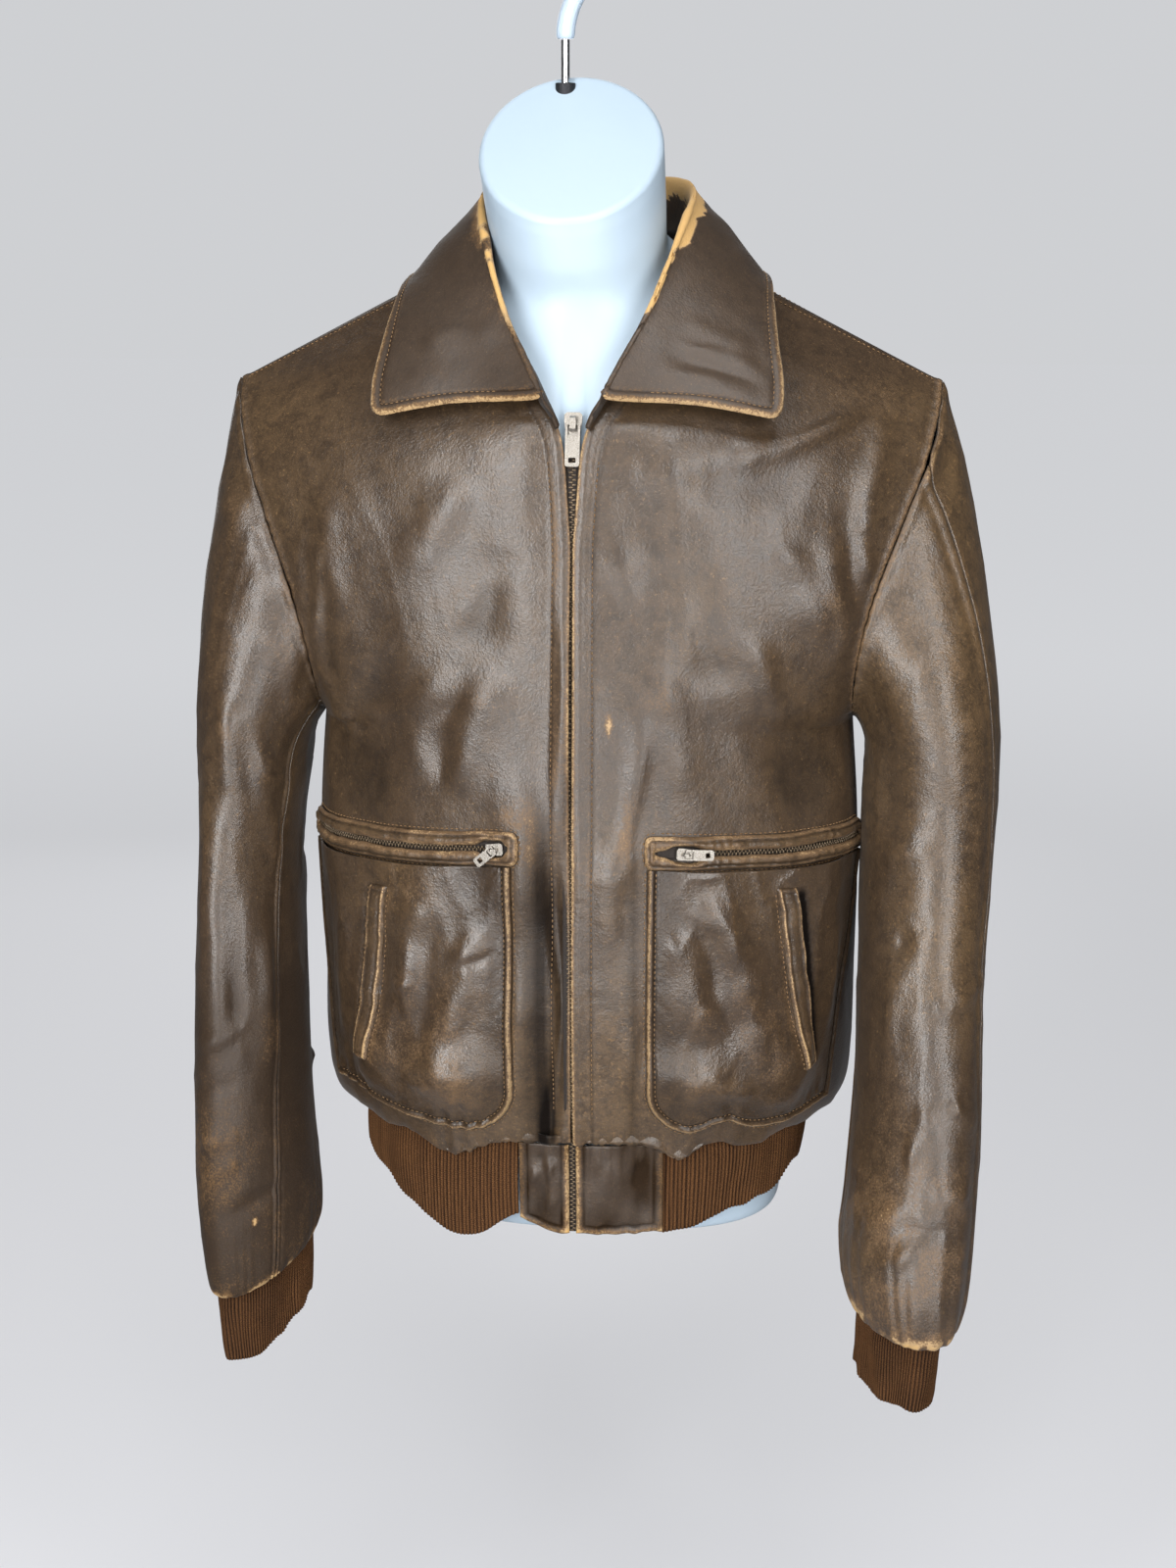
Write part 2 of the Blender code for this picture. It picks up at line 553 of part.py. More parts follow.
def make_sleeves(panels, parent):
    half = SLEEVE_COLUMNS // 2
    # Columns of the two long seams: one on the outer face, one inside.
    seams = {"left": (SLEEVE_COLUMNS - 2, half - 2), "right": (2, half + 2)}
    every = slice(None)
    for side_name in SIDES:
        points, inward = sleeve_grid(panels, side_name)
        first, second = seams[side_name]
        spans = {
            "front": np.arange(first, first + (second - first) % SLEEVE_COLUMNS + 1) % SLEEVE_COLUMNS,
            "back": np.arange(second, second + (first - second) % SLEEVE_COLUMNS + 1) % SLEEVE_COLUMNS,
        }
        for span_name, columns in spans.items():
            piece = points[:, columns].copy()
            inset(piece, (every, 0), (every, 1), 2 * SEAM_GAP)
            inset(piece, (every, -1), (every, -2), 2 * SEAM_GAP)
            name = f"sleeve_{side_name}_{span_name}"
            cloth(name, [(piece, inward[:, columns])], LEATHER, "leather", parent)
        make_cuff(side_name, column_angles(armhole(panels, side_name)[0]), parent)


def make_cuff(side_name, angles, parent):
    """The knit cuff, divided round its tube where the sleeve is."""
    rings = [Ring(*row) for row in CUFF_RINGS[side_name]]
    points = np.stack([ring_points(ring, angles, SIDES[side_name]) for ring in rings])
    inward = -SIDES[side_name] * normals_of(points, wrap=True)
    cloth(f"cuff_{side_name}", [(points, inward)], RIB, "rib_knit", parent, wrap=True)


# ---------------------------------------------------------------- collar
def collar_section(station):
    """Middle line of the collar from the neckline up the stand, over the fold and down the fall."""
    neck = np.array(station[0:3])
    fold = np.array(station[3:6])
    edge = np.array(station[6:9])
    over = edge - fold
    over[2] = 0.0
    over = unit(over)
    up = np.array([0.0, 0.0, 1.0])
    inside = fold - 0.0032 * over - 0.0070 * up
    outside = fold + 0.0042 * over - 0.0045 * up
    middle = (outside + edge) / 2 + 0.0030 * up + 0.0015 * over
    return np.array([neck, (neck + inside) / 2 - 0.001 * over, inside, fold, outside, middle, edge])


def collar_half(side):
    steps = (0, 0.8, 1.6, 2.4, 3.0, 3.6, 4.2, 5.0, 6.0)
    points = np.stack([smooth(collar_section(station), steps) for station in COLLAR_STATIONS])
    normals = normals_of(points)
    normals[-1, :, 0] = 0.0
    normals = unit(normals)
    mirror = np.array([side, 1, 1])
    return points * mirror, normals * mirror


def make_collar(parent):
    grids = []
    for side in SIDES.values():
        points, normals = collar_half(side)
        grids.append((points + normals * COLLAR / 2, -normals))
    cloth("collar", grids, COLLAR, "leather", parent)


# ---------------------------------------------------------------- waistband
def make_waist(panels, parent):
    for side_name, side in SIDES.items():
        across, levels = np.meshgrid(
            np.linspace(0.0022, TAB_WIDTH[side_name], 5), np.linspace(TAB_BOTTOM, TAB_TOP, 4)
        )
        rise = (levels - TAB_BOTTOM) / (TAB_TOP - TAB_BOTTOM)
        points = np.stack([side * across, waist_y(across) + TAB_Y - RIB_FRONT_Y - 0.004 * rise**2, levels], axis=-1)
        inward = -side * normals_of(points)
        cloth(f"hem_tab_{side_name}", [(points, inward)], LEATHER, "leather", parent)

    start = math.asin((TAB_WIDTH["right"] + SEAM_GAP) / RIB_HALF_WIDTH)
    end = 2 * math.pi - math.asin((TAB_WIDTH["left"] + SEAM_GAP) / RIB_HALF_WIDTH)
    angles = np.linspace(start, end, 33)
    half_depth = (RIB_BACK_Y - RIB_FRONT_Y) / 2
    side_rise = RIB_SIDE_RISE * ease((1 - np.cos(angles)) / 1.1)
    rows = []
    for part in np.linspace(0, 1, 4):
        swell = 1 + 0.012 * math.sin(math.pi * part)
        x = RIB_HALF_WIDTH * swell * np.sin(angles)
        y = (RIB_FRONT_Y + RIB_BACK_Y) / 2 - half_depth * swell * np.cos(angles)
        dip = RIB_LEFT_DIP * (1 - part) * np.exp(-(((x + 0.085) / 0.030) ** 2)) * (y < 0)
        z = RIB_BOTTOM + (RIB_TOP - RIB_BOTTOM) * part + side_rise * (1 - part) - dip
        rows.append(np.stack([x, y, z], axis=-1))
    points = np.stack(rows)
    cloth("waist_rib", [(points, -normals_of(points))], RIB, "rib_knit", parent)


def waist_y(x):
    """The waistband's front at distance x from the zip."""
    half_depth = (RIB_BACK_Y - RIB_FRONT_Y) / 2
    return RIB_FRONT_Y + half_depth * (1 - np.sqrt(1 - (x / RIB_HALF_WIDTH) ** 2))


# ---------------------------------------------------------------- pockets and welts
def pocket_grid(panel, side_name):
    """(s, h) of the patch pocket, whose rows are the panel's, with its lower inner corner rounded."""
    inner = POCKET_INNER[side_name]
    levels = panel.at(0.0, [row for row in PANEL_ROWS if 1 < row < ARMPIT_ROW])[0][:, 2]
    between = (levels > POCKET_BOTTOM + 0.004) & (levels < POCKET_TOP - 0.01)
    levels = np.concatenate([[POCKET_BOTTOM], levels[between], [POCKET_TOP]])
    share, level = np.meshgrid(np.linspace(0, 1, 10) ** 1.5, levels)
    outer = POCKET_OUTER_BOTTOM + (POCKET_OUTER_TOP - POCKET_OUTER_BOTTOM) * (level - POCKET_BOTTOM) / (
        POCKET_TOP - POCKET_BOTTOM
    )
    around = inner + (outer - inner) * share
    into_corner = np.clip(POCKET_CORNER - (around[:1] - inner), 0, POCKET_CORNER)
    bottom = POCKET_BOTTOM + POCKET_CORNER - np.sqrt(POCKET_CORNER**2 - into_corner**2)
    return around, np.maximum(level, bottom)


def make_pockets(panels, parent):
    for side_name in SIDES:
        panel = panels["front", side_name]
        around, height = pocket_grid(panel, side_name)
        points, normals = panel.on(around, height, POCKET_LIFT)
        cloth(f"pocket_{side_name}", [(points, -normals)], LEATHER, "leather", parent)
        make_hand_welt(panel, side_name, parent)
        make_chest_pocket(panel, side_name, parent)


def make_hand_welt(panel, side_name, parent):
    top, bottom = HAND_WELT[side_name]
    line = np.linspace(0, 1, 6)[:, None]
    across = np.linspace(-0.5, 0.5, 4)[None, :]
    around = bottom[0] + (top[0] - bottom[0]) * line + HAND_WELT_WIDTH * across
    height = bottom[1] + (top[1] - bottom[1]) * line + 0 * across
    rise = 0.0006 * np.sin(math.pi * (across + 0.5)) + 0 * line
    points, normals = panel.on(around, height, 2 * POCKET_LIFT - SEAM_GAP + rise)
    cloth(f"hand_welt_{side_name}", [(points, -normals)], LEATHER, "leather", parent)


def slot_half(around, side_name):
    """Half the height of a chest welt's slot, wider where the slider parts the lips."""
    slider = POCKET_SLIDER_PLACE[side_name]
    near = np.exp(-(((around - slider) / 0.011) ** 4))
    return SLOT_HALF + (SLIDER_SLOT_HALF - SLOT_HALF) * near


def make_chest_pocket(panel, side_name, parent):
    """A leather frame with a slot, the zip's chain in the slot, and its slider and pull."""
    inner, outer = WELT_INNER[side_name], WELT_OUTER
    slot_in, slot_out = inner + 0.0070, outer - 0.0060
    place = POCKET_SLIDER_PLACE[side_name]
    # Stations along the slot: close together where the slider parts the lips.
    near_slider = place + np.array([-0.012, -0.0075, 0.0, 0.0075, 0.012])
    beyond = np.linspace(near_slider[-1], slot_out, 8)[1:]
    stations = np.concatenate([[slot_in], near_slider[near_slider > slot_in + 0.001], beyond])
    loops = []
    for spread in (1.0, 0.45, 0.0):
        around = stations.copy()
        around[0] += (inner - slot_in) * spread
        around[-1] += (outer - slot_out) * spread
        half = slot_half(around, side_name) * (1 - spread) + WELT_HALF * spread
        upper = np.stack([around, WELT_HEIGHT + half], axis=1)
        lower = np.stack([around[::-1], WELT_HEIGHT - half[::-1]], axis=1)
        loops.append(np.concatenate([upper, lower]))
    loops = np.stack(loops)
    points, normals = panel.on(loops[..., 0], loops[..., 1], np.array(WELT_LIFTS)[:, None])
    cloth(f"chest_welt_{side_name}", [(points, -normals)], LEATHER, "leather", parent, wrap=True)

    along = np.linspace(slot_in + 0.0006, slot_out - 0.0006, 12)
    across = np.array([-1.0, 1.0]) * (SLOT_HALF - SEAM_GAP)
    around, height = np.meshgrid(along, WELT_HEIGHT + across)
    points, normals = panel.on(around, height, ZIP_LIFT + CHAIN_DEPTH)
    cloth(f"pocket_zip_{side_name}", [(points, -normals)], CHAIN_DEPTH, "zip_metal", parent)

    reach = np.array([place - 0.006, place, place + 0.006])
    spots, normals = panel.on(reach, np.full(3, WELT_HEIGHT), ZIP_LIFT + CHAIN_DEPTH + 2 * SEAM_GAP)
    # The crown faces the zip's inner end.
    frame = local_frame(spots[1], Vector(spots[0] - spots[2]), Vector(normals[1]))
    tilt = LEFT_PULL_TILT if side_name == "left" else 0
    pull = LEFT_PULL if side_name == "left" else RIGHT_PULL
    make_slider(f"pocket_slider_{side_name}", POCKET_SLIDER, frame, parent)
    make_pull(f"pocket_pull_{side_name}", pull, POCKET_SLIDER, frame, tilt, parent)


# ---------------------------------------------------------------- zips
def local_frame(origin, along, out):
    """Matrix whose columns are across, along (towards the slider's crown) and out of the cloth."""
    out = out.normalized()
    along = (along - out * along.dot(out)).normalized()
    across = along.cross(out)
    frame = Matrix((across, along, out)).transposed().to_4x4()
    frame.translation = Vector(origin)
    return frame


def prism(outline, low, high, holes=()):
    """A plate between two levels of its third axis from an outline, with straight-through holes."""
    mesh = bmesh.new()
    rings = []
    for loop in (outline, *holes):
        corners = [mesh.verts.new((x, y, low)) for x, y in loop]
        rings.append([mesh.edges.new((a, b)) for a, b in zip(corners, corners[1:] + corners[:1])])
    filled = bmesh.ops.triangle_fill(
        mesh, edges=[edge for ring in rings for edge in ring], use_beauty=True, use_dissolve=False
    )
    faces = [item for item in filled["geom"] if isinstance(item, bmesh.types.BMFace)]
    raised = bmesh.ops.extrude_face_region(mesh, geom=faces)
    moved = [item for item in raised["geom"] if isinstance(item, bmesh.types.BMVert)]
    bmesh.ops.translate(mesh, verts=moved, vec=(0, 0, high - low))
    return mesh


def rounded(width, low, high, radius, steps=3):
    """Outline of a rectangle with rounded corners, centred on x = 0 from y = low to y = high."""
    points = []
    for cx, cy, start in ((1, 1, 0), (-1, 1, 90), (-1, -1, 180), (1, -1, 270)):
        centre_y = high - radius if cy > 0 else low + radius
        for k in range(steps + 1):
            angle = math.radians(start + 90 * k / steps)
            x = cx * (width / 2 - radius) + radius * math.cos(angle)
            points.append((x, centre_y + radius * math.sin(angle)))
    return points


def make_slider(name, size, frame, parent):
    """The slider's body with a bail standing on it: one piece, with a window for the pull's bar."""
    half = size.length / 2
    body_outline = [
        (-size.tail / 2, -half),
        (size.tail / 2, -half),
        (size.crown / 2, half * 0.3),
        (size.crown / 2, half * 0.8),
        (size.crown / 2 * 0.7, half),
        (-size.crown / 2 * 0.7, half),
        (-size.crown / 2, half * 0.8),
        (-size.crown / 2, half * 0.3),
    ]
    body = add_object(name, prism(body_outline, 0.0, size.depth), "zip_metal", parent, 30)
    top = size.depth + size.bail_rise
    foot = size.depth - 0.0012
    reach, wire = size.bail_reach, size.wire
    # The bail's side view as (along, out): a low arch, and the window that its wire leaves.
    inner = reach - wire
    arch = [
        (-reach, foot),
        (reach, foot),
        (reach, top - wire),
        (inner, top),
        (-inner, top),
        (-reach, top - wire),
    ]
    window = [(-inner, size.depth), (inner, size.depth), (inner, top - wire), (-inner, top - wire)]
    bail = add_object(f"{name}_bail", prism(arch, -size.bail_half, size.bail_half, [window]), "zip_metal", parent)
    bail.hide_render = True
    bail.display_type = "WIRE"
    upright = Matrix(((0, 0, 1, 0), (1, 0, 0, 0), (0, 1, 0, 0), (0, 0, 0, 1)))
    body.matrix_local = frame
    bail.matrix_local = frame @ upright
    join = body.modifiers.new("bail", "BOOLEAN")
    join.operation = "UNION"
    join.object = bail
    return body


def hinge_height(size):
    """How far out of the slider's base the pull's bar lies, in the middle of the bail's window."""
    return size.depth + (size.bail_rise - size.wire) / 2


def make_pull(name, pull, size, frame, tilt, parent):
    """The pull tab: a plate with an eye whose top bar lies in the bail's window, origin on the hinge axis."""
    bar = pull.thickness
    plate = rounded(pull.width, -pull.length + bar / 2, bar / 2, min(pull.width * 0.22, 0.0016))
    eye = rounded(pull.width - 2 * pull.side, -pull.eye, -bar / 2, 0.0005)[::-1]
    slot = rounded(pull.width * 0.5, -pull.length + 0.0030, -pull.length + 0.0062, 0.0008)[::-1]
    made = add_object(
        name, prism(plate, -bar / 2, bar / 2, [eye, slot]), "zip_metal", parent, 30
    )
    lift = Matrix.Translation((0, 0, hinge_height(size)))
    made.matrix_local = frame @ lift @ Matrix.Rotation(math.radians(tilt), 4, "Z")
    return made


def make_main_zip(panels, parent):
    """The chain behind the fronts' edges, with the slider near its top."""
    panel = panels["front", "right"]
    start = 8 * 2
    in_front = panel.points[start:, 0, 1]
    behind = LEATHER + 4 * SEAM_GAP
    heights = np.concatenate([[TAB_BOTTOM + 0.001, 0.030, 0.060], np.linspace(0.085, CHAIN_TOP, 16)])
    y = np.interp(heights, panel.heights[start:], in_front)
    y[:3] = (TAB_Y, TAB_Y - 0.001, TAB_Y - 0.004)
    y = y + behind
    x = np.array([-CHAIN_HALF, CHAIN_HALF])
    rows = [np.stack([x, np.full(2, depth), np.full(2, z)], axis=1) for depth, z in zip(y, heights)]
    points = np.stack(rows)
    cloth("zip_chain", [(points, -normals_of(points))], CHAIN_DEPTH, "zip_metal", parent)
    at, above, below = (np.interp(ZIP_SLIDER_HEIGHT + rise, heights, y) for rise in (0, 0.005, -0.030))
    along = Vector((0, above - below, 0.035)).normalized()
    out = Vector((0, -along.z, along.y))
    origin = Vector((0, at, ZIP_SLIDER_HEIGHT)) + out * 2 * SEAM_GAP
    frame = local_frame(origin, along, out)
    make_slider("zip_slider", MAIN_SLIDER, frame, parent)
    make_pull("zip_pull", MAIN_PULL, MAIN_SLIDER, frame, 0, parent)


# ---------------------------------------------------------------- torso form
def form_ease(rows):
    """Clearance from the jacket's outside: a seat at the shoulders, more lower down."""
    return LEATHER + FORM_SEAT_GAP + FORM_EASE * ease((10.6 - rows) / 4.0)


def form_upper(panels, part, side_name):
    """The form's surface under a panel, from the armpit row to the shoulder seam."""
    points, _ = panels[part, side_name].at(
        np.array(SHARES)[None, :], ARMHOLE_ROWS[:, None], -form_ease(ARMHOLE_ROWS)[:, None]
    )
    centre_rows = ARMHOLE_ROWS <= (BACK_NECK_ROW if part == "back" else BACK_NECK_ROW - 1)
    points[centre_rows, 0, 0] = 0.0
    return points


def form_lower_ring(ring, part, side):
    angle = math.pi / 2 * np.array(SHARES)
    x = ring.x + side * ring.half_width * np.sin(angle) ** ring.square
    depth = ring.front_y if part == "front" else ring.back_y
    y = depth * np.clip(np.cos(angle), 0, 1) ** ring.square
    y[-1] = 0.0
    return np.stack([x, y, np.full_like(x, ring.z)], axis=1)


def fill_toward(skin, loop, centre, steps, bulge):
    """Rings shrinking from a loop to one point, raised by `bulge` at the middle."""
    rings = [loop + (centre - loop) * part + bulge * (1 - (1 - part) ** 2) for part in steps]
    rings.append(np.tile(centre + bulge, (len(loop), 1)))
    skin.grid(np.stack(rings), wrap=True)


def make_form(panels, parent):
    skin = Weld()
    neck_halves = []
    for side_name, side in SIDES.items():
        edges = {}
        for part in ("front", "back"):
            lower = [form_lower_ring(ring, part, side) for ring in FORM_RINGS]
            edges[part] = form_upper(panels, part, side_name)
            skin.grid(np.concatenate([np.stack(lower), edges[part]]))
        arm_loop = np.concatenate([edges["front"][:, -1], edges["back"][::-1, -1][1:-1]])
        outward = np.array([side * FORM_ARM_BULGE, 0, 0])
        fill_toward(skin, arm_loop, arm_loop.mean(axis=0), (0.0, 0.12, 0.4, 0.7), outward)
        front_neck = edges["front"][ARMHOLE_ROWS >= BACK_NECK_ROW - 1, 0]
        back_neck = edges["back"][ARMHOLE_ROWS >= BACK_NECK_ROW, 0]
        neck_halves.append(np.concatenate([front_neck, back_neck[::-1][1:]]))
    left, right = neck_halves
    neck_loop = np.concatenate([right, left[::-1][1:-1]])
    make_form_neck(skin, neck_loop)
    bottom = FORM_RINGS[0]
    right_front, right_back, left_back, left_front = (
        form_lower_ring(bottom, part, side)
        for part, side in (("front", 1), ("back", 1), ("back", -1), ("front", -1))
    )
    base_loop = np.concatenate([right_front, right_back[::-1][1:], left_back[1:], left_front[::-1][1:-1]])
    fill_toward(skin, base_loop, np.array([bottom.x, 0, bottom.z]), (0.0, 0.5), np.zeros(3))
    form = add_object("torso_form", skin.mesh, "form_plastic", parent, 50)

    recess = cylinder("socket_recess", SOCKET_RADIUS + SEAM_GAP, STEM_BOTTOM - SEAM_GAP, 0.78, "dark_metal", parent)
    recess.hide_render = True
    recess.display_type = "WIRE"
    cut = form.modifiers.new("socket_recess", "BOOLEAN")
    cut.operation = "DIFFERENCE"
    cut.object = recess
    return form


def make_form_neck(skin, loop):
    """Rings that draw in from the neckline to the neck and tilt to its slanted cap."""
    top = np.array(NECK_TOP)
    slope = math.tan(math.radians(NECK_SLANT))
    base = loop.mean(axis=0)
    corners = np.arctan2(-(loop[:, 1] - base[1]), loop[:, 0] - base[0])
    corners = np.unwrap(np.append(corners, corners[0]))
    # The neck has NECK_DIVIDE points for each one of the neckline.
    angle = np.interp(np.arange(len(loop) * NECK_DIVIDE) / NECK_DIVIDE, np.arange(len(corners)), corners)
    rim_x = NECK_HALF_WIDTH * np.cos(angle)
    rim_y = -NECK_HALF_DEPTH * np.sin(angle)
    rim = top + np.stack([rim_x, rim_y, rim_y * slope], axis=1)
    foot_width, foot_depth, drop = NECK_FOOT
    foot_y = -foot_depth * np.sin(angle)
    foot_x = foot_width * np.cos(angle) + NECK_SWAY
    foot = top + np.stack([foot_x, foot_y + 0.004, foot_y * slope * 0.9 - drop], axis=1)
    closed_loop = np.concatenate([loop, loop[:1]])
    at = np.arange(len(angle)) / NECK_DIVIDE
    base_ring = np.stack([np.interp(at, np.arange(len(closed_loop)), column) for column in closed_loop.T], axis=1)
    first = base_ring + (foot - base_ring) * 0.5 - [0, 0, 0.004]
    for i in range(len(loop)):
        after = (i + 1) % len(loop)
        fan = [first[(i * NECK_DIVIDE + k) % len(first)] for k in range(NECK_DIVIDE + 1)]
        for a, b in zip(fan, fan[1:]):
            skin.face((loop[i], b, a))
        skin.face((loop[i], loop[after], fan[-1]))
    rings = [first, foot, foot + (rim - foot) * 0.5, rim]
    edge = 0.003
    inner = rim + (top - rim) * 0.045 + np.array([0, -math.sin(math.radians(NECK_SLANT)), 1]) * edge
    skin.grid(np.stack(rings + [inner]), wrap=True)
    lift = np.array([0, -0.002, 0.003])
    fill_toward(skin, inner, inner.mean(axis=0), (0.0, 0.3, 0.65), lift)


# ---------------------------------------------------------------- hook
def circle(radius, sides):
    return [(radius * math.cos(a), radius * math.sin(a)) for a in np.linspace(0, 2 * math.pi, sides, endpoint=False)]


def cylinder(name, radius, low, high, slot, parent, bore=None):
    """An upright cylinder on the hook's axis, with or without a bore."""
    holes = [circle(bore, 16)[::-1]] if bore else []
    made = add_object(name, prism(circle(radius, 24), low, high, holes), slot, parent)
    made.location = (HOOK_X, HOOK_Y, 0)
    return made


def crook_line():
    """Centre line of the crook: a bend to the right, then a turn over the top to the left."""
    lean = math.acos(NECK_BEND / (NECK_BEND + CROOK_BEND))
    line = [(NECK_BEND * (1 - math.cos(a)), NECK_BEND * math.sin(a)) for a in np.linspace(0, lean, 8)]
    centre = NECK_BEND * math.sin(lean) + CROOK_BEND * math.sin(lean)
    sweep = np.linspace(-lean, math.radians(CROOK_END), 26)[1:]
    line += [(CROOK_BEND * math.cos(a), centre + CROOK_BEND * math.sin(a)) for a in sweep]
    return np.array(line), centre


def make_hook(parent):
    line, centre = crook_line()
    sides = 12
    angles = np.linspace(0, 2 * math.pi, sides, endpoint=False)
    tangent = unit(np.gradient(line, axis=0))
    tangent[0] = (0, 1)
    rings = []
    for (x, z), (tx, tz) in zip(line, tangent):
        across = np.array([tz, 0, -tx])
        ring = [
            np.array([HOOK_X + x, HOOK_Y, CROOK_BOTTOM + z])
            + CROOK_RADIUS * (across * math.cos(a) + np.array([0, 1, 0]) * math.sin(a))
            for a in angles
        ]
        rings.append(ring)
    skin = Weld()
    grid = np.array(rings)
    skin.grid(grid, wrap=True)
    for end in (grid[0], grid[-1]):
        skin.face(end)
    add_object("hook", skin.mesh, "hook_plastic", parent)
    cylinder("hook_stem", STEM_RADIUS, STEM_BOTTOM + 0.002, CROOK_BOTTOM - SEAM_GAP, "chrome", parent)
    cylinder(
        "hook_socket", SOCKET_RADIUS, STEM_BOTTOM, SOCKET_TOP, "dark_metal", parent, STEM_RADIUS + SEAM_GAP
    )
    return CROOK_BOTTOM + centre + CROOK_BEND - CROOK_RADIUS


# ---------------------------------------------------------------- assembly
def main():
    for old in list(bpy.data.objects):
        bpy.data.objects.remove(old)
    hang_point = bpy.data.objects.new("hang_point", None)
    bpy.context.scene.collection.objects.link(hang_point)
    panels = make_panels(FOLDS)
    make_fronts_and_back(panels, hang_point)
    make_sleeves(panels, hang_point)
    make_collar(hang_point)
    make_waist(panels, hang_point)
    make_pockets(panels, hang_point)
    make_main_zip(panels, hang_point)
    make_form(make_panels(), hang_point)
    bearing = make_hook(hang_point)
    hang_point.location = (-HOOK_X, -HOOK_Y, -bearing)


main()
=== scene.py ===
"""The looks of a worn leather flight jacket on a hanging torso form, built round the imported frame.

Metres, +Z up, the jacket's front faces -Y. Left and right are the viewer's, looking at the front.
The cloth is laid out in the garment's own frame (z = 0 at the front hem, x = 0 at the zip) and
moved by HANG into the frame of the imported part.
"""

import math
from collections import namedtuple

import bmesh
import bpy
import numpy as np
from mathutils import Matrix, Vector


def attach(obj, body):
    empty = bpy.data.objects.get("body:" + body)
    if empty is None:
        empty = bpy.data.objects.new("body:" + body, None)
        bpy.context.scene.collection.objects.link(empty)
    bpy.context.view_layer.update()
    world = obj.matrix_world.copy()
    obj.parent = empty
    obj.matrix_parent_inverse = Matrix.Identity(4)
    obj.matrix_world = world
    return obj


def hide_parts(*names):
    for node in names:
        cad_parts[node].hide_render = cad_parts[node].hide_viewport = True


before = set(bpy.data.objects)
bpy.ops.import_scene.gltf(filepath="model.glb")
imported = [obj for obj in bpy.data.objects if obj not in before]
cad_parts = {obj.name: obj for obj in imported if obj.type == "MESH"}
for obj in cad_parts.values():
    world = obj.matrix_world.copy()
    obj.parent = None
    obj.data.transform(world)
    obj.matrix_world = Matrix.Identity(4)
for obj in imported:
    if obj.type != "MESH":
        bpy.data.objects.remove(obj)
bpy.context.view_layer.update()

HANG = np.array([0.0165, -0.0170, -0.85695])
SIDES = {"left": -1, "right": 1}
# The camera in the garment's frame: where it stands, how far it looks down and to the left, and its lens.
CAMERA_PLACE = (0.138, -1.58, 0.670)
CAMERA_PITCH, CAMERA_TURN = math.radians(14), math.radians(5)
LENS, SENSOR = 54.09, 36
FLOOR_HEIGHT = -1.30
EVERY = slice(None)


# ---------------------------------------------------------------- stage
def look_at(obj, place, target):
    obj.location = place
    obj.rotation_mode = "QUATERNION"
    obj.rotation_quaternion = (Vector(target) - Vector(place)).to_track_quat("-Z", "Y")


def make_camera():
    place = Vector(HANG) + Vector(CAMERA_PLACE)
    flat = math.cos(CAMERA_PITCH)
    ahead = Vector((-math.sin(CAMERA_TURN) * flat, math.cos(CAMERA_TURN) * flat, -math.sin(CAMERA_PITCH)))
    data = bpy.data.cameras.new("camera")
    data.lens, data.sensor_width = LENS, SENSOR
    camera = bpy.data.objects.new("camera", data)
    bpy.context.scene.collection.objects.link(camera)
    look_at(camera, place, place + ahead)
    bpy.context.scene.camera = camera


def add_light(name, place, target, size, power, spread=180):
    data = bpy.data.lights.new(name, "AREA")
    data.shape = "RECTANGLE"
    data.size, data.size_y = size
    data.energy = power
    data.spread = math.radians(spread)
    light = bpy.data.objects.new(name, data)
    bpy.context.scene.collection.objects.link(light)
    look_at(light, place, target)


def make_stage():
    scene = bpy.context.scene
    scene.view_settings.view_transform = "Standard"
    chest = (0.02, -0.1, -0.45)
    add_light("key", (-0.95, -2.2, 0.10), chest, (0.55, 2.1), 53)
    add_light("fill", (1.25, -2.0, 0.05), chest, (0.45, 2.0), 35)
    add_light("top", (0.1, -1.1, 1.5), chest, (1.3, 0.6), 30)
    add_light("low", (0.05, -2.05, -0.92), (0.02, -0.1, -0.70), (1.5, 0.42), 11)
    add_light("back", (-0.5, 2.4, 0.2), chest, (1.9, 2.4), 11, spread=110)
    world = bpy.data.worlds.new("studio")
    scene.world = world
    world.use_nodes = True
    nodes, links = world.node_tree.nodes, world.node_tree.links
    background = nodes["Background"]
    path = nodes.new("ShaderNodeLightPath")
    seen = nodes.new("ShaderNodeMath")
    seen.operation = "MAXIMUM"
    mix = nodes.new("ShaderNodeMix")
    mix.data_type = "RGBA"
    mix.inputs["A"].default_value = (0.05, 0.05, 0.054, 1)
    mix.inputs["B"].default_value = (0.62, 0.63, 0.65, 1)
    links.new(path.outputs["Is Camera Ray"], seen.inputs[0])
    links.new(path.outputs["Is Transmission Ray"], seen.inputs[1])
    links.new(seen.outputs[0], mix.inputs["Factor"])
    links.new(mix.outputs["Result"], background.inputs["Color"])

    bpy.ops.mesh.primitive_plane_add(size=30, location=(0, 0, FLOOR_HEIGHT))
    floor = bpy.context.object
    floor.name = "floor"
    material, shader = new_material("floor", (0.36, 0.36, 0.375), 0.9)
    g = Graph(material)
    away = g.node("VectorMath", operation="LENGTH")
    g.put(away.inputs[0], g.place)
    far = g.between(away.outputs["Value"], 0.6, 4.5)
    g.put(shader.inputs["Emission Color"], g.mix(far, (0.42, 0.425, 0.44), (0.60, 0.61, 0.63)))
    g.put(shader.inputs["Emission Strength"], g.node("LightPath").outputs["Is Camera Ray"])
    floor.data.materials.append(material)


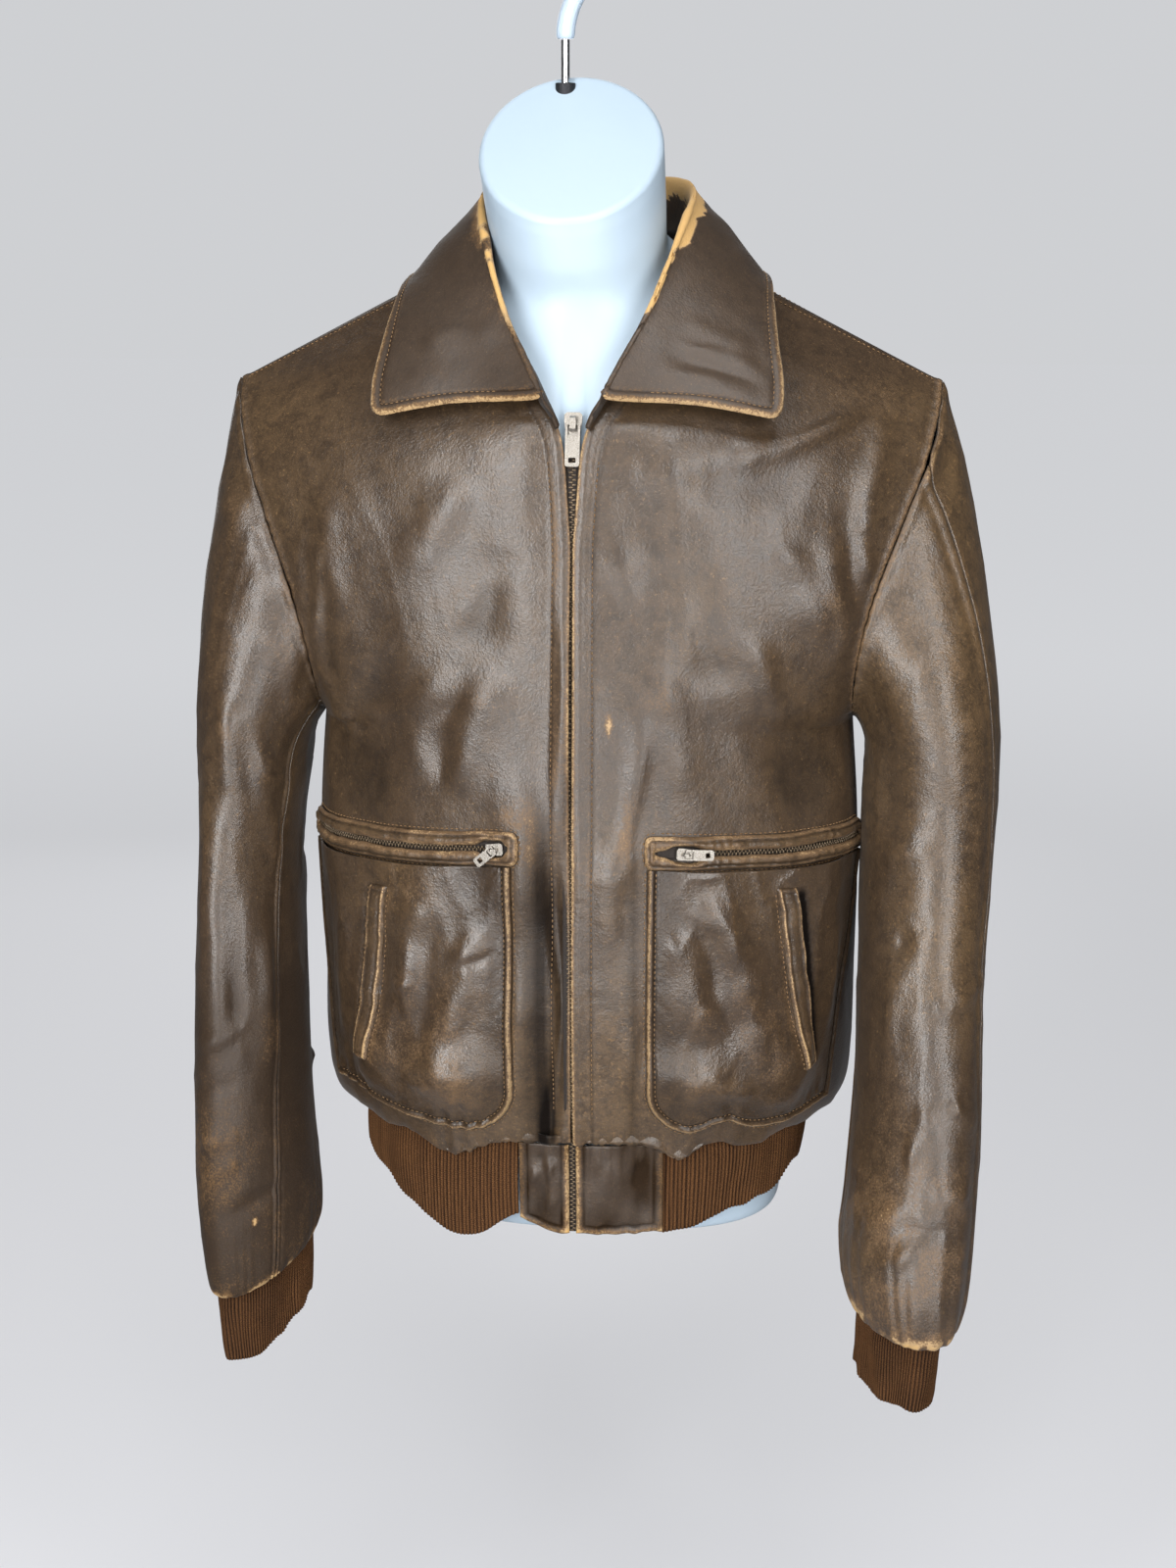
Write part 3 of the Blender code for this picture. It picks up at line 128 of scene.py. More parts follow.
# ---------------------------------------------------------------- material tools
class Graph:
    """Short ways to add nodes to a material and join them."""

    def __init__(self, material):
        self.tree = material.node_tree
        self.shader = self.tree.nodes["Principled BSDF"]
        self.place = self.node("TexCoord").outputs["Object"]

    def node(self, kind, **settings):
        made = self.tree.nodes.new(f"ShaderNode{kind}")
        for key, value in settings.items():
            setattr(made, key, value)
        return made

    def put(self, socket, value):
        if isinstance(value, bpy.types.NodeSocket):
            self.tree.links.new(value, socket)
        elif isinstance(value, tuple) and len(value) == 3 and socket.type == "RGBA":
            socket.default_value = (*value, 1)
        else:
            socket.default_value = value

    def attribute(self, name, output="Fac"):
        return self.node("Attribute", attribute_name=name).outputs[output]

    def math(self, operation, a, b, clamp=False):
        made = self.node("Math", operation=operation, use_clamp=clamp)
        self.put(made.inputs[0], a)
        self.put(made.inputs[1], b)
        return made.outputs[0]

    def times(self, a, b, clamp=False):
        return self.math("MULTIPLY", a, b, clamp)

    def plus(self, first, *terms, clamp=False):
        """The sum of the terms from left to right, held between 0 and 1 at the end with `clamp`."""
        for k, term in enumerate(terms, 1):
            first = self.math("ADD", first, term, clamp and k == len(terms))
        return first

    def noise(self, scale, detail=3.0, rough=0.55, distort=0.0):
        made = self.node("TexNoise")
        self.put(made.inputs["Vector"], self.place)
        for key, value in (("Scale", scale), ("Detail", detail), ("Roughness", rough), ("Distortion", distort)):
            made.inputs[key].default_value = value
        return made.outputs["Fac"]

    def cells(self, scale):
        """Distance to the nearest of scattered points, for pebbled grain."""
        made = self.node("TexVoronoi", feature="F1")
        self.put(made.inputs["Vector"], self.place)
        made.inputs["Scale"].default_value = scale
        return made.outputs["Distance"]

    def between(self, value, low, high):
        """0 below low, 1 above high, smooth between."""
        made = self.node("MapRange", interpolation_type="SMOOTHSTEP")
        for socket, item in zip(made.inputs, (value, low, high, 0.0, 1.0)):
            self.put(socket, item)
        return made.outputs[0]

    def mix(self, factor, a, b):
        made = self.node("Mix", data_type="RGBA", blend_type="MIX")
        for name, item in (("Factor", factor), ("A", a), ("B", b)):
            socket = next(s for s in made.inputs if s.name == name and s.enabled)
            self.put(socket, item)
        return next(s for s in made.outputs if s.enabled)

    def bump(self, height, depth, under=None):
        made = self.node("Bump")
        made.inputs["Strength"].default_value = 1.0
        made.inputs["Distance"].default_value = depth
        self.put(made.inputs["Height"], height)
        if under is not None:
            self.put(made.inputs["Normal"], under)
        return made.outputs["Normal"]

    def finish(self, colour=None, roughness=None, normal=None):
        for name, item in (("Base Color", colour), ("Roughness", roughness), ("Normal", normal)):
            if item is not None:
                self.put(self.shader.inputs[name], item)


def new_material(name, colour=(0.5, 0.5, 0.5), roughness=0.5, metallic=0.0, **extra):
    made = bpy.data.materials.new(name)
    made.use_nodes = True
    shader = made.node_tree.nodes["Principled BSDF"]
    shader.inputs["Base Color"].default_value = (*colour, 1)
    shader.inputs["Roughness"].default_value = roughness
    shader.inputs["Metallic"].default_value = metallic
    for key, value in extra.items():
        shader.inputs[key.replace("_", " ")].default_value = value
    return made, shader


# ---------------------------------------------------------------- materials
DARK = (0.020, 0.0125, 0.0075)
BROWN = (0.047, 0.0275, 0.0140)
OLIVE = (0.096, 0.0585, 0.0265)
AMBER = (0.155, 0.085, 0.034)
TAN = (0.400, 0.262, 0.125)
SUEDE = (0.540, 0.330, 0.120)
FLECK = (0.24, 0.14, 0.058)
SHADED = (0.028, 0.0165, 0.009)
# The near-black brown of the shade painted into valleys, stitch grooves and slots.
PAINTED_SHADOW = (0.008, 0.006, 0.005)


def make_leather(name, matte=0.0):
    """Aniline leather: mottled browns by tone, bare tan where worn, painted shade in its valleys, with grain."""
    material, _ = new_material(name, BROWN, 0.45)
    g = Graph(material)
    wear, tone, painted_shade = (g.attribute(key) for key in ("wear", "tone", "painted_shade"))
    clouds = g.noise(9, 4, 0.6, 0.4)
    mottle = g.noise(95, 5, 0.7, 0.6)
    fine = g.noise(480, 4, 0.75)
    specks = g.noise(1000, 2, 0.6)
    lighter = g.plus(g.times(clouds, 0.7), g.times(mottle, 0.35), g.times(tone, 1.1))
    deep = g.between(g.times(tone, -1.0), 0.0, 0.6)
    colour = g.mix(g.between(lighter, 0.55, 1.55), BROWN, OLIVE)
    dim = g.between(g.plus(mottle, g.times(fine, 0.8)), 0.98, 0.68)
    colour = g.mix(g.times(dim, 0.50), colour, DARK)
    rub = g.plus(g.times(mottle, 0.40), g.times(fine, 0.95), g.times(tone, 0.20))
    colour = g.mix(g.times(g.between(rub, 0.76, 1.0), 0.32), colour, AMBER)
    colour = g.mix(g.times(g.between(specks, 0.62, 0.76), 0.30), colour, TAN)
    flecks = g.between(g.plus(g.noise(330, 3, 0.65), g.times(tone, 0.10)), 0.66, 0.74)
    colour = g.mix(g.times(flecks, 0.40), colour, FLECK)
    colour = g.mix(g.times(deep, 0.75), colour, SHADED)
    # Wear is broken up by three sizes of noise before it rubs to amber and then to bare tan.
    edge = g.times(wear, g.plus(0.45, g.times(g.noise(210, 4, 0.7), 1.1)))
    crumbs = g.times(g.math("SUBTRACT", g.noise(750, 4, 0.75), 0.5), 1.9)
    edge = g.plus(edge, crumbs, g.times(g.math("SUBTRACT", mottle, 0.5), 0.6))
    rubbed = g.between(edge, 0.18, 0.80)
    bare = g.between(edge, 0.72, 1.05)
    colour = g.mix(g.times(rubbed, 0.85), colour, AMBER)
    colour = g.mix(bare, colour, g.mix(g.between(wear, 1.1, 1.5), TAN, SUEDE))
    # Painted shade: the shade mask darkens the colour toward near-black brown in valleys, grooves and slots.
    colour = g.mix(g.times(painted_shade, 0.85, clamp=True), colour, PAINTED_SHADOW)
    rough = g.plus(0.30 + matte, g.times(mottle, 0.16), g.times(deep, 0.22), g.times(rubbed, 0.25), clamp=True)
    normal = g.bump(g.noise(42, 3, 0.5, 0.8), 0.00030)
    normal = g.bump(g.noise(170, 3, 0.6, 1.2), 0.00014, normal)
    normal = g.bump(g.cells(330), 0.00010, normal)
    normal = g.bump(g.cells(760), 0.00011, normal)
    normal = g.bump(g.noise(1500, 2, 0.6), 0.000035, normal)
    g.finish(colour, rough, normal)
    # Highlights are dimmed where shade is painted and where the tone is deep.
    dull = g.plus(g.times(deep, 0.5), g.times(painted_shade, 0.6))
    g.put(g.shader.inputs["Specular IOR Level"], g.math("SUBTRACT", 0.75, dull, True))
    g.shader.inputs["Sheen Weight"].default_value = 0.05
    g.shader.inputs["Sheen Roughness"].default_value = 0.4
    return material


def make_knit():
    """Ribbed knit: rust wool with small loops and fuzz, and painted shade between the ribs."""
    material, _ = new_material("rib_knit_wool", (0.12, 0.042, 0.014), 0.92)
    g = Graph(material)
    painted_shade = g.attribute("painted_shade")
    uv = g.attribute("cloth", "Vector")
    loops = g.node("TexWave", wave_type="BANDS", bands_direction="Y", wave_profile="SIN")
    g.put(loops.inputs["Vector"], uv)
    loops.inputs["Scale"].default_value = 210
    loops.inputs["Distortion"].default_value = 1.5
    loops.inputs["Detail"].default_value = 2
    fuzz = g.noise(1500, 3, 0.7)
    patches = g.noise(45, 4, 0.6)
    colour = g.mix(patches, (0.074, 0.031, 0.011), (0.128, 0.055, 0.019))
    colour = g.mix(g.times(fuzz, 0.35), colour, (0.17, 0.085, 0.036))
    # Painted shade: near-black between the ribs, from the shade mask.
    colour = g.mix(g.times(painted_shade, 0.95, clamp=True), colour, (0.010, 0.004, 0.002))
    normal = g.bump(loops.outputs["Fac"], 0.0003)
    normal = g.bump(fuzz, 0.0004, normal)
    g.finish(colour, None, normal)
    g.shader.inputs["Specular IOR Level"].default_value = 0.15
    g.shader.inputs["Sheen Weight"].default_value = 0.03
    g.shader.inputs["Sheen Roughness"].default_value = 0.6
    g.shader.inputs["Sheen Tint"].default_value = (0.8, 0.5, 0.3, 1)
    return material


def make_metal(name, bright, dark, rough):
    """Plated zip metal, rubbed bright on its faces and dull between."""
    material, _ = new_material(name, bright, rough, 1.0)
    g = Graph(material)
    worn = g.between(g.noise(1600, 4, 0.7), 0.30, 0.55)
    g.finish(g.mix(worn, dark, bright), g.plus(rough, g.times(g.noise(900), 0.22)), None)
    g.put(g.shader.inputs["Normal"], g.bump(g.noise(1800, 2), 0.00006))
    return material


def make_fabric(name, colour):
    """Closely woven tape."""
    material, _ = new_material(name, colour, 0.9)
    g = Graph(material)
    weave = g.cells(1600)
    g.finish(g.mix(weave, colour, tuple(c * 2.2 for c in colour)), None, g.bump(weave, 0.0002))
    return material


def make_plastic(name, colour, rough, **extra):
    """Moulded plastic with a faint mottle and scuffs."""
    material, _ = new_material(name, colour, rough, **extra)
    g = Graph(material)
    clouds = g.noise(14, 3)
    shade = tuple(c * 0.93 for c in colour)
    scuffs = g.between(g.noise(60, 5, 0.75, 1.5), 0.60, 0.75)
    g.finish(g.mix(clouds, shade, colour), g.plus(rough, g.times(scuffs, 0.18)))
    g.put(g.shader.inputs["Normal"], g.bump(g.noise(26, 3), 0.0006))
    return material


def make_thread():
    material, _ = new_material("thread", (0.16, 0.085, 0.036), 0.75)
    g = Graph(material)
    colour = g.mix(g.noise(260, 3), (0.07, 0.036, 0.018), (0.34, 0.20, 0.085))
    g.finish(colour, None, g.bump(g.noise(3000), 0.0001))
    return material


# ---------------------------------------------------------------- numbers
def smooth(values, at, corner=None):
    """Catmull-Rom curve through `values` at row positions `at`, which may bend sharply at row `corner`."""
    values = np.asarray(values, float)
    at = np.asarray(at, float)
    if corner is not None:
        low = smooth(values[: corner + 1], np.minimum(at, corner))
        high = smooth(values[corner:], np.maximum(at, corner) - corner)
        return np.where((at <= corner)[..., None], low, high)
    ends = 2 * values[0] - values[1], 2 * values[-1] - values[-2]
    padded = np.concatenate([ends[0][None], values, ends[1][None]])
    row = np.clip(at.astype(int), 0, len(values) - 2)
    t = (at - row).reshape(at.shape + (1,) * (values.ndim - 1))
    a, b, c, d = (padded[row + k] for k in range(4))
    return b + 0.5 * t * (c - a + t * (2 * a - 5 * b + 4 * c - d + t * (3 * (b - c) + d - a)))


def ease(x):
    """0 below 0, 1 above 1, smooth between."""
    x = np.clip(x, 0.0, 1.0)
    return x * x * (3 - 2 * x)


def near(x, width):
    """1 at x = 0, dying out over `width`."""
    return np.exp(-((x / width) ** 2))


def unit(vectors):
    return vectors / np.maximum(np.linalg.norm(vectors, axis=-1, keepdims=True), 1e-12)


def tangents(points, axis, wrap=False):
    """The mean direction of the two steps at each point of a grid's lines."""
    steps = unit(np.roll(points, -1, axis) - points if wrap else np.diff(points, axis=axis))
    if wrap:
        return steps + np.roll(steps, 1, axis)
    first, last = np.take(steps, [0], axis), np.take(steps, [-1], axis)
    return np.concatenate([first, steps], axis) + np.concatenate([steps, last], axis)


def normals_of(points, wrap=False):
    return unit(np.cross(tangents(points, 1, wrap), tangents(points, 0)))


def raised(points, lift, side):
    """A grid moved out by `lift` along its normals, with its new normals; `side` turns both outwards."""
    points = points + side * normals_of(points) * lift[..., None]
    return points, side * normals_of(points)


def passage(start, leave, end, arrive, t):
    """Cubic curves from `start` to `end`, with those directions at the two ends."""
    return (
        (2 * t**3 - 3 * t**2 + 1) * start
        + (t**3 - 2 * t**2 + t) * leave
        + (3 * t**2 - 2 * t**3) * end
        + (t**3 - t**2) * arrive
    )


def beside_line(start, end, s, h):
    """Share of the way along a line from start to end, metres across it, and its length."""
    start = np.array(start)
    run = np.array(end) - start
    length = np.linalg.norm(run)
    offset = np.stack([s, h], axis=-1) - start
    return offset @ run / length**2, (offset[..., 0] * run[1] - offset[..., 1] * run[0]) / length, length


LATTICE = 64


def noise(x, y, z=0.0, seed=0, octaves=3, rough=0.5):
    """Smooth random field, mostly between -1 and 1, the same for the same seed."""
    table = np.random.default_rng(seed).uniform(-1, 1, (LATTICE,) * 3)
    x, y, z = np.broadcast_arrays(x, y, z)
    total, weight = 0.0, 1.0
    for octave in range(octaves):
        place = [c * 2.0**octave + 17.3 * octave for c in (x, y, z)]
        cell = [np.floor(c).astype(int) for c in place]
        part = [ease(c - k) for c, k in zip(place, cell)]
        level = 0.0
        for corner in range(8):
            bits = [corner >> axis & 1 for axis in range(3)]
            index = tuple((k + bit) % LATTICE for k, bit in zip(cell, bits))
            share = np.prod([p if bit else 1 - p for p, bit in zip(part, bits)], axis=0)
            level = level + table[index] * share
        total = total + level * weight
        weight *= rough
    return total * 1.25


# ---------------------------------------------------------------- meshes
def add_mesh(name, node, points, faces, material, slot, **attributes):
    """A smooth-shaded mesh from arrays in the garment's frame, riding on the jacket, in place of a CAD node."""
    mesh = bpy.data.meshes.new(name)
    mesh.from_pydata((points + HANG).tolist(), [], [list(map(int, face)) for face in faces])
    mesh.validate()
    for key, values in attributes.items():
        values = np.asarray(values, np.float32)
        kind = "FLOAT" if values.ndim == 1 else "FLOAT_VECTOR"
        layer = mesh.attributes.new(key, kind, "POINT")
        layer.data.foreach_set("value" if values.ndim == 1 else "vector", values.ravel())
    mesh.materials.append(material)
    mesh.shade_smooth()
    obj = bpy.data.objects.new(name, mesh)
    bpy.context.scene.collection.objects.link(obj)
    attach(obj, "jacket")
    if node:
        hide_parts(node)
    return obj


def grid_faces(rows, columns, start=0, wrap=False):
    index = start + np.arange(rows * columns).reshape(rows, columns)
    if wrap:
        index = np.concatenate([index, index[:, :1]], axis=1)
    corners = index[:-1, :-1], index[:-1, 1:], index[1:, 1:], index[1:, :-1]
    return np.stack([c.ravel() for c in corners], axis=1)


def cloth(name, node, grids, wall, material, slot, wrap=False):
    """A closed wall of cloth. A grid is a dict of points, outward normals and masks; grids may share edges."""
    points = np.concatenate([g["points"].reshape(-1, 3) for g in grids])
    normals = np.concatenate([g["normals"].reshape(-1, 3) for g in grids])
    faces, start = [], 0
    for g in grids:
        rows, columns = g["points"].shape[:2]
        flip = g.get("flip", False)
        quads = grid_faces(rows, columns, start, wrap)
        faces.append(quads[:, ::-1] if flip else quads)
        start += rows * columns
    faces = np.concatenate(faces)
    masks = {}
    for key in ("wear", "tone", "painted_shade", "cloth"):
        parts = []
        for g in grids:
            shape = g["points"].shape[:2]
            value = g.get(key, np.zeros(shape + (3,)) if key == "cloth" else 0.0)
            value = np.broadcast_to(value, shape + (3,) if key == "cloth" else shape)
            parts.append(value.reshape(-1, 3) if key == "cloth" else value.ravel())
        masks[key] = np.concatenate(parts)
    cells = np.round(points / 2e-6).astype(np.int64)
    _, first, index = np.unique(cells, axis=0, return_index=True, return_inverse=True)
    faces = index.reshape(-1)[faces]
    points, normals = points[first], normals[first]
    masks = {key: value[first] for key, value in masks.items()}
    ends = np.stack([faces, np.roll(faces, -1, axis=1)], axis=-1).reshape(-1, 2)
    _, back, count = np.unique(np.sort(ends, axis=1), axis=0, return_inverse=True, return_counts=True)
    rim = ends[count[back.reshape(-1)] == 1]
    rim = rim[rim[:, 0] != rim[:, 1]]
    n = len(points)
    sides = np.stack([rim[:, 1], rim[:, 0], rim[:, 0] + n, rim[:, 1] + n], axis=1)
    whole = np.concatenate([faces, faces[:, ::-1] + n, sides])
    both = np.concatenate([points, points - normals * wall])
    masks = {key: np.concatenate([value, value]) for key, value in masks.items()}
    add_mesh(name, node, both, whole, material, slot, **masks)


STITCH_PITCH, STITCH_LENGTH = 0.0036, 0.0026
THREAD_RADIUS, THREAD_LIFT = 0.00034, 0.0001


def stitches(name, lines, material):
    """Rows of thread stitches; each line is (points, normals) along a seam."""
    ring = np.array([[0, 1], [1, 0], [0, -1], [-1, 0]], float)
    verts, faces = [], []
    for points, normals in lines:
        run = np.concatenate([[0], np.cumsum(np.linalg.norm(np.diff(points, axis=0), axis=1))])
        for at in np.arange(STITCH_PITCH / 2, run[-1] - STITCH_LENGTH, STITCH_PITCH):
            both = (at, at + STITCH_LENGTH)
            a, b = (np.array([np.interp(t, run, points[:, k]) for k in range(3)]) for t in both)
            out = unit(np.array([np.interp(at, run, normals[:, k]) for k in range(3)]))
            along = unit(b - a)
            side = np.cross(along, out)
            base = len(verts)
            verts.append(a - out * THREAD_RADIUS)
            for share in (0.25, 0.75):
                centre = a + (b - a) * share + out * (THREAD_LIFT + THREAD_RADIUS * 0.5)
                verts.extend(centre + THREAD_RADIUS * (side * x + out * y) for x, y in ring)
            verts.append(b - out * THREAD_RADIUS)
            for k in range(4):
                j = (k + 1) % 4
                faces.append((base, base + 1 + j, base + 1 + k))
                faces.append((base + 1 + k, base + 1 + j, base + 5 + j, base + 5 + k))
                faces.append((base + 9, base + 5 + k, base + 5 + j))
    add_mesh(name, None, np.array(verts), faces, material, "leather")


# ---------------------------------------------------------------- the body's panels
Section = namedtuple("Section", "in_x in_y in_z out_x out_y out_z turn")
ARMPIT_ROW = 5
FRONT_SECTIONS = (
    Section(0.0022, -0.1235, 0.0645, 0.1590, 0.004, 0.072, 90),
    Section(0.0022, -0.1245, 0.0600, 0.1720, 0.004, 0.054, 90),
    Section(0.0022, -0.1290, 0.0780, 0.1840, 0.003, 0.076, 90),
    Section(0.0022, -0.1370, 0.160, 0.1862, 0.002, 0.152, 90),
    Section(0.0022, -0.1330, 0.265, 0.1862, 0.000, 0.250, 90),
    Section(0.0022, -0.1290, 0.345, 0.1810, 0.000, 0.328, 90),
    Section(0.0022, -0.1270, 0.385, 0.1785, -0.037, 0.341, 83),
    Section(0.0022, -0.1240, 0.425, 0.1800, -0.063, 0.372, 74),
    Section(0.0024, -0.1190, 0.470, 0.1900, -0.069, 0.418, 64),
    Section(0.0065, -0.1130, 0.522, 0.2070, -0.058, 0.464, 54),
    Section(0.0200, -0.0985, 0.548, 0.2220, -0.040, 0.501, 42),
    Section(0.0500, -0.0620, 0.590, 0.2310, -0.018, 0.534, 28),
    Section(0.0780, -0.0040, 0.632, 0.2335, 0.000, 0.552, 14),
)
BACK_NECK_ROW = 10
# The centre back is rounded over this share of its width, fading out over BACK_FADE rows up to the neckline.
BACK_EASE = 0.16
BACK_FADE = 0.9
BACK_PLAIN_ROW = BACK_NECK_ROW - 0.1
BACK_SECTIONS = (
    Section(0.0, 0.112, 0.067, 0.1590, 0.004, 0.072, 90),
    Section(0.0, 0.119, 0.052, 0.1720, 0.004, 0.054, 90),
    Section(0.0, 0.125, 0.076, 0.1840, 0.003, 0.076, 90),
    Section(0.0, 0.124, 0.160, 0.1862, 0.002, 0.152, 90),
    Section(0.0, 0.119, 0.262, 0.1862, 0.000, 0.250, 90),
    Section(0.0, 0.121, 0.345, 0.1810, 0.000, 0.328, 90),
    Section(0.0, 0.122, 0.390, 0.1800, 0.040, 0.345, 83),
    Section(0.0, 0.121, 0.440, 0.1830, 0.070, 0.380, 74),
    Section(0.0, 0.115, 0.500, 0.1940, 0.080, 0.425, 64),
    Section(0.0, 0.100, 0.570, 0.2095, 0.072, 0.468, 54),
    Section(0.0, 0.066, 0.646, 0.2230, 0.052, 0.505, 42),
    Section(0.046, 0.045, 0.644, 0.2310, 0.026, 0.535, 28),
    Section(0.078, -0.004, 0.632, 0.2335, 0.000, 0.552, 14),
)
TOP_ROW = len(FRONT_SECTIONS) - 1
LEATHER, RIB, COLLAR, SEAM_GAP = 0.0016, 0.0024, 0.0030, 0.0003

# Creases from (s, h) to (s, h), s round the panel from its centre line and h the height there; `bow` bends
# the line sideways by that share of its length, and `height` is below 0 for a trough. Some of the ends on
# the fronts were looked up with a program and then moved; the rest are given one by one.
Crease = namedtuple("Crease", "panel s0 h0 s1 h1 width height bow")
CREASES = (
    # front edges: ridges and the deep fold between the left pocket and the zip
    Crease("front_left", 0.028, 0.100, 0.026, 0.330, 0.0100, 0.0050, 0.0),
    Crease("front_left", 0.017, 0.030, 0.0125, 0.300, 0.0060, -0.0066, 0.03),
    Crease("front_left", 0.020, 0.205, 0.006, 0.440, 0.0075, 0.0022, 0.04),
    Crease("front_left", 0.030, 0.070, 0.026, 0.180, 0.0060, 0.0025, -0.05),
    Crease("front_right", 0.024, 0.100, 0.020, 0.300, 0.0110, 0.0030, 0.0),
    Crease("front_right", 0.020, 0.225, 0.034, 0.375, 0.0070, 0.0026, -0.08),
    Crease("front_right", 0.031, 0.215, 0.030, 0.090, 0.0055, 0.0024, 0.06),
    Crease("front_right", 0.037, 0.260, 0.040, 0.120, 0.0050, -0.0020, -0.05),
    # the blouson's roll over the waistband
    Crease("front_left", 0.020, 0.102, 0.170, 0.102, 0.0220, 0.0060, 0.0),
    Crease("front_right", 0.020, 0.102, 0.180, 0.102, 0.0220, 0.0060, 0.0),
    # drag lines from the armholes and armpits
    Crease("front_left", 0.205, 0.335, 0.120, 0.300, 0.0180, -0.0040, 0.0),
    Crease("front_right", 0.205, 0.335, 0.130, 0.305, 0.0180, -0.0040, 0.0),
    Crease("front_left", 0.186, 0.520, 0.197, 0.440, 0.0040, 0.0018, 0.05),
    Crease("front_left", 0.178, 0.505, 0.190, 0.430, 0.0045, 0.0024, -0.06),
    Crease("front_left", 0.170, 0.480, 0.176, 0.385, 0.0060, -0.0022, 0.05),
    Crease("front_left", 0.158, 0.540, 0.166, 0.440, 0.0100, 0.0024, 0.05),
    Crease("front_left", 0.190, 0.425, 0.160, 0.325, 0.0080, 0.0028, 0.08),
    Crease("front_left", 0.140, 0.470, 0.118, 0.360, 0.0150, -0.0026, 0.07),
    Crease("front_left", 0.088, 0.410, 0.104, 0.300, 0.0120, 0.0034, 0.06),
    Crease("front_left", 0.052, 0.400, 0.068, 0.295, 0.0110, 0.0032, 0.05),
    Crease("front_left", 0.072, 0.385, 0.084, 0.300, 0.0080, -0.0022, 0.05),
    Crease("front_left", 0.062, 0.520, 0.112, 0.450, 0.0150, 0.0030, 0.06),
    Crease("front_left", 0.040, 0.470, 0.060, 0.400, 0.0130, -0.0022, 0.0),
    Crease("front_right", 0.030, 0.513, 0.092, 0.534, 0.0085, 0.0028, 0.0),
    Crease("front_right", 0.080, 0.530, 0.160, 0.576, 0.0080, 0.0036, -0.06),
    Crease("front_right", 0.155, 0.580, 0.186, 0.505, 0.0065, 0.0026, 0.14),
    Crease("front_right", 0.060, 0.510, 0.150, 0.545, 0.0140, -0.0024, -0.06),
    Crease("front_right", 0.012, 0.505, 0.042, 0.425, 0.0100, 0.0018, 0.03),
    Crease("front_right", 0.195, 0.535, 0.192, 0.475, 0.0050, 0.0024, 0.0),
    Crease("front_right", 0.178, 0.545, 0.188, 0.455, 0.0060, -0.0020, 0.0),
    Crease("front_right", 0.166, 0.520, 0.180, 0.420, 0.0080, 0.0024, 0.04),
    Crease("front_right", 0.132, 0.500, 0.168, 0.430, 0.0110, 0.0026, 0.08),
    Crease("front_right", 0.116, 0.440, 0.136, 0.340, 0.0130, 0.0034, 0.05),
    Crease("front_right", 0.064, 0.470, 0.092, 0.380, 0.0140, -0.0024, 0.06),
    Crease("front_right", 0.058, 0.400, 0.070, 0.300, 0.0110, 0.0024, -0.05),
    # the back, like the fronts: drag from the armholes, long soft falls and the blouson
    Crease("back_left", 0.110, 0.110, 0.080, 0.330, 0.0260, -0.0050, 0.0),
    Crease("back_right", 0.120, 0.110, 0.090, 0.310, 0.0260, -0.0050, 0.0),
    Crease("back_left", 0.200, 0.500, 0.130, 0.400, 0.0120, 0.0034, 0.10),
    Crease("back_left", 0.205, 0.440, 0.140, 0.330, 0.0110, 0.0036, 0.08),
    Crease("back_left", 0.185, 0.460, 0.120, 0.350, 0.0090, -0.0026, 0.08),
    Crease("back_left", 0.060, 0.300, 0.090, 0.110, 0.0130, 0.0034, -0.05),
    Crease("back_left", 0.150, 0.270, 0.170, 0.120, 0.0120, 0.0032, 0.04),
    Crease("back_left", 0.020, 0.560, 0.110, 0.520, 0.0150, 0.0026, -0.08),
    Crease("back_right", 0.198, 0.510, 0.120, 0.420, 0.0130, 0.0036, 0.08),
    Crease("back_right", 0.205, 0.430, 0.130, 0.350, 0.0100, 0.0034, 0.10),
    Crease("back_right", 0.180, 0.480, 0.110, 0.385, 0.0080, -0.0024, 0.07),
    Crease("back_right", 0.045, 0.280, 0.070, 0.120, 0.0120, 0.0032, -0.06),
    Crease("back_right", 0.140, 0.290, 0.165, 0.110, 0.0130, 0.0034, 0.05),
    Crease("back_right", 0.030, 0.540, 0.120, 0.490, 0.0140, 0.0024, -0.06),
)
CREASE_GAIN = 1.25
CREASE_SPREAD = 1.2
# How the crumpling leans, in radians, outwards on each front.
FRONT_LEAN, BACK_LEAN = 0.15, 0.10
# Rubbed or bare patches: middle, half sizes, and how worn they are.
Patch = namedtuple("Patch", "piece s h half_s half_h amount")
WORN_PATCHES = (
    Patch("front_left", 0.0225, 0.262, 0.0045, 0.032, 0.40),
    Patch("front_left", 0.034, 0.288, 0.014, 0.008, 0.26),
    Patch("front_right", 0.033, 0.280, 0.005, 0.024, 0.34),
    Patch("front_right", 0.0215, 0.3475, 0.0022, 0.0080, 1.30),
    Patch("front_right", 0.0160, 0.372, 0.0012, 0.0016, 1.20),
    Patch("front_left", 0.0085, 0.470, 0.0030, 0.0400, 0.30),
    Patch("front_right", 0.060, 0.400, 0.030, 0.050, 0.16),
    Patch("front_left", 0.060, 0.440, 0.030, 0.040, 0.16),
    Patch("front_right", 0.150, 0.590, 0.030, 0.020, 0.20),
    Patch("front_left", 0.160, 0.570, 0.030, 0.020, 0.12),
)


def crease_height(crease, s, h, seed):
    """A soft ridge or trough along a bowed line, uneven along its length and dying out at both ends."""
    along, across, length = beside_line((crease.s0, crease.h0), (crease.s1, crease.h1), s, h)
    across = across + crease.bow * length * 4 * along * (1 - along)
    across = across + 0.35 * crease.width * noise(along * 2.5, seed * 1.7, 0, 11, 2)
    width = CREASE_SPREAD * crease.width * (1 + 0.35 * noise(along * 2.2, seed * 3.1, 5, 12, 2))
    uneven = 1 + 0.45 * noise(along * 3.0, seed * 2.3, 9, 13, 2)
    ends = ease(along / 0.3) * ease((1 - along) / 0.3)
    return crease.height * uneven * near(across, width) * ends


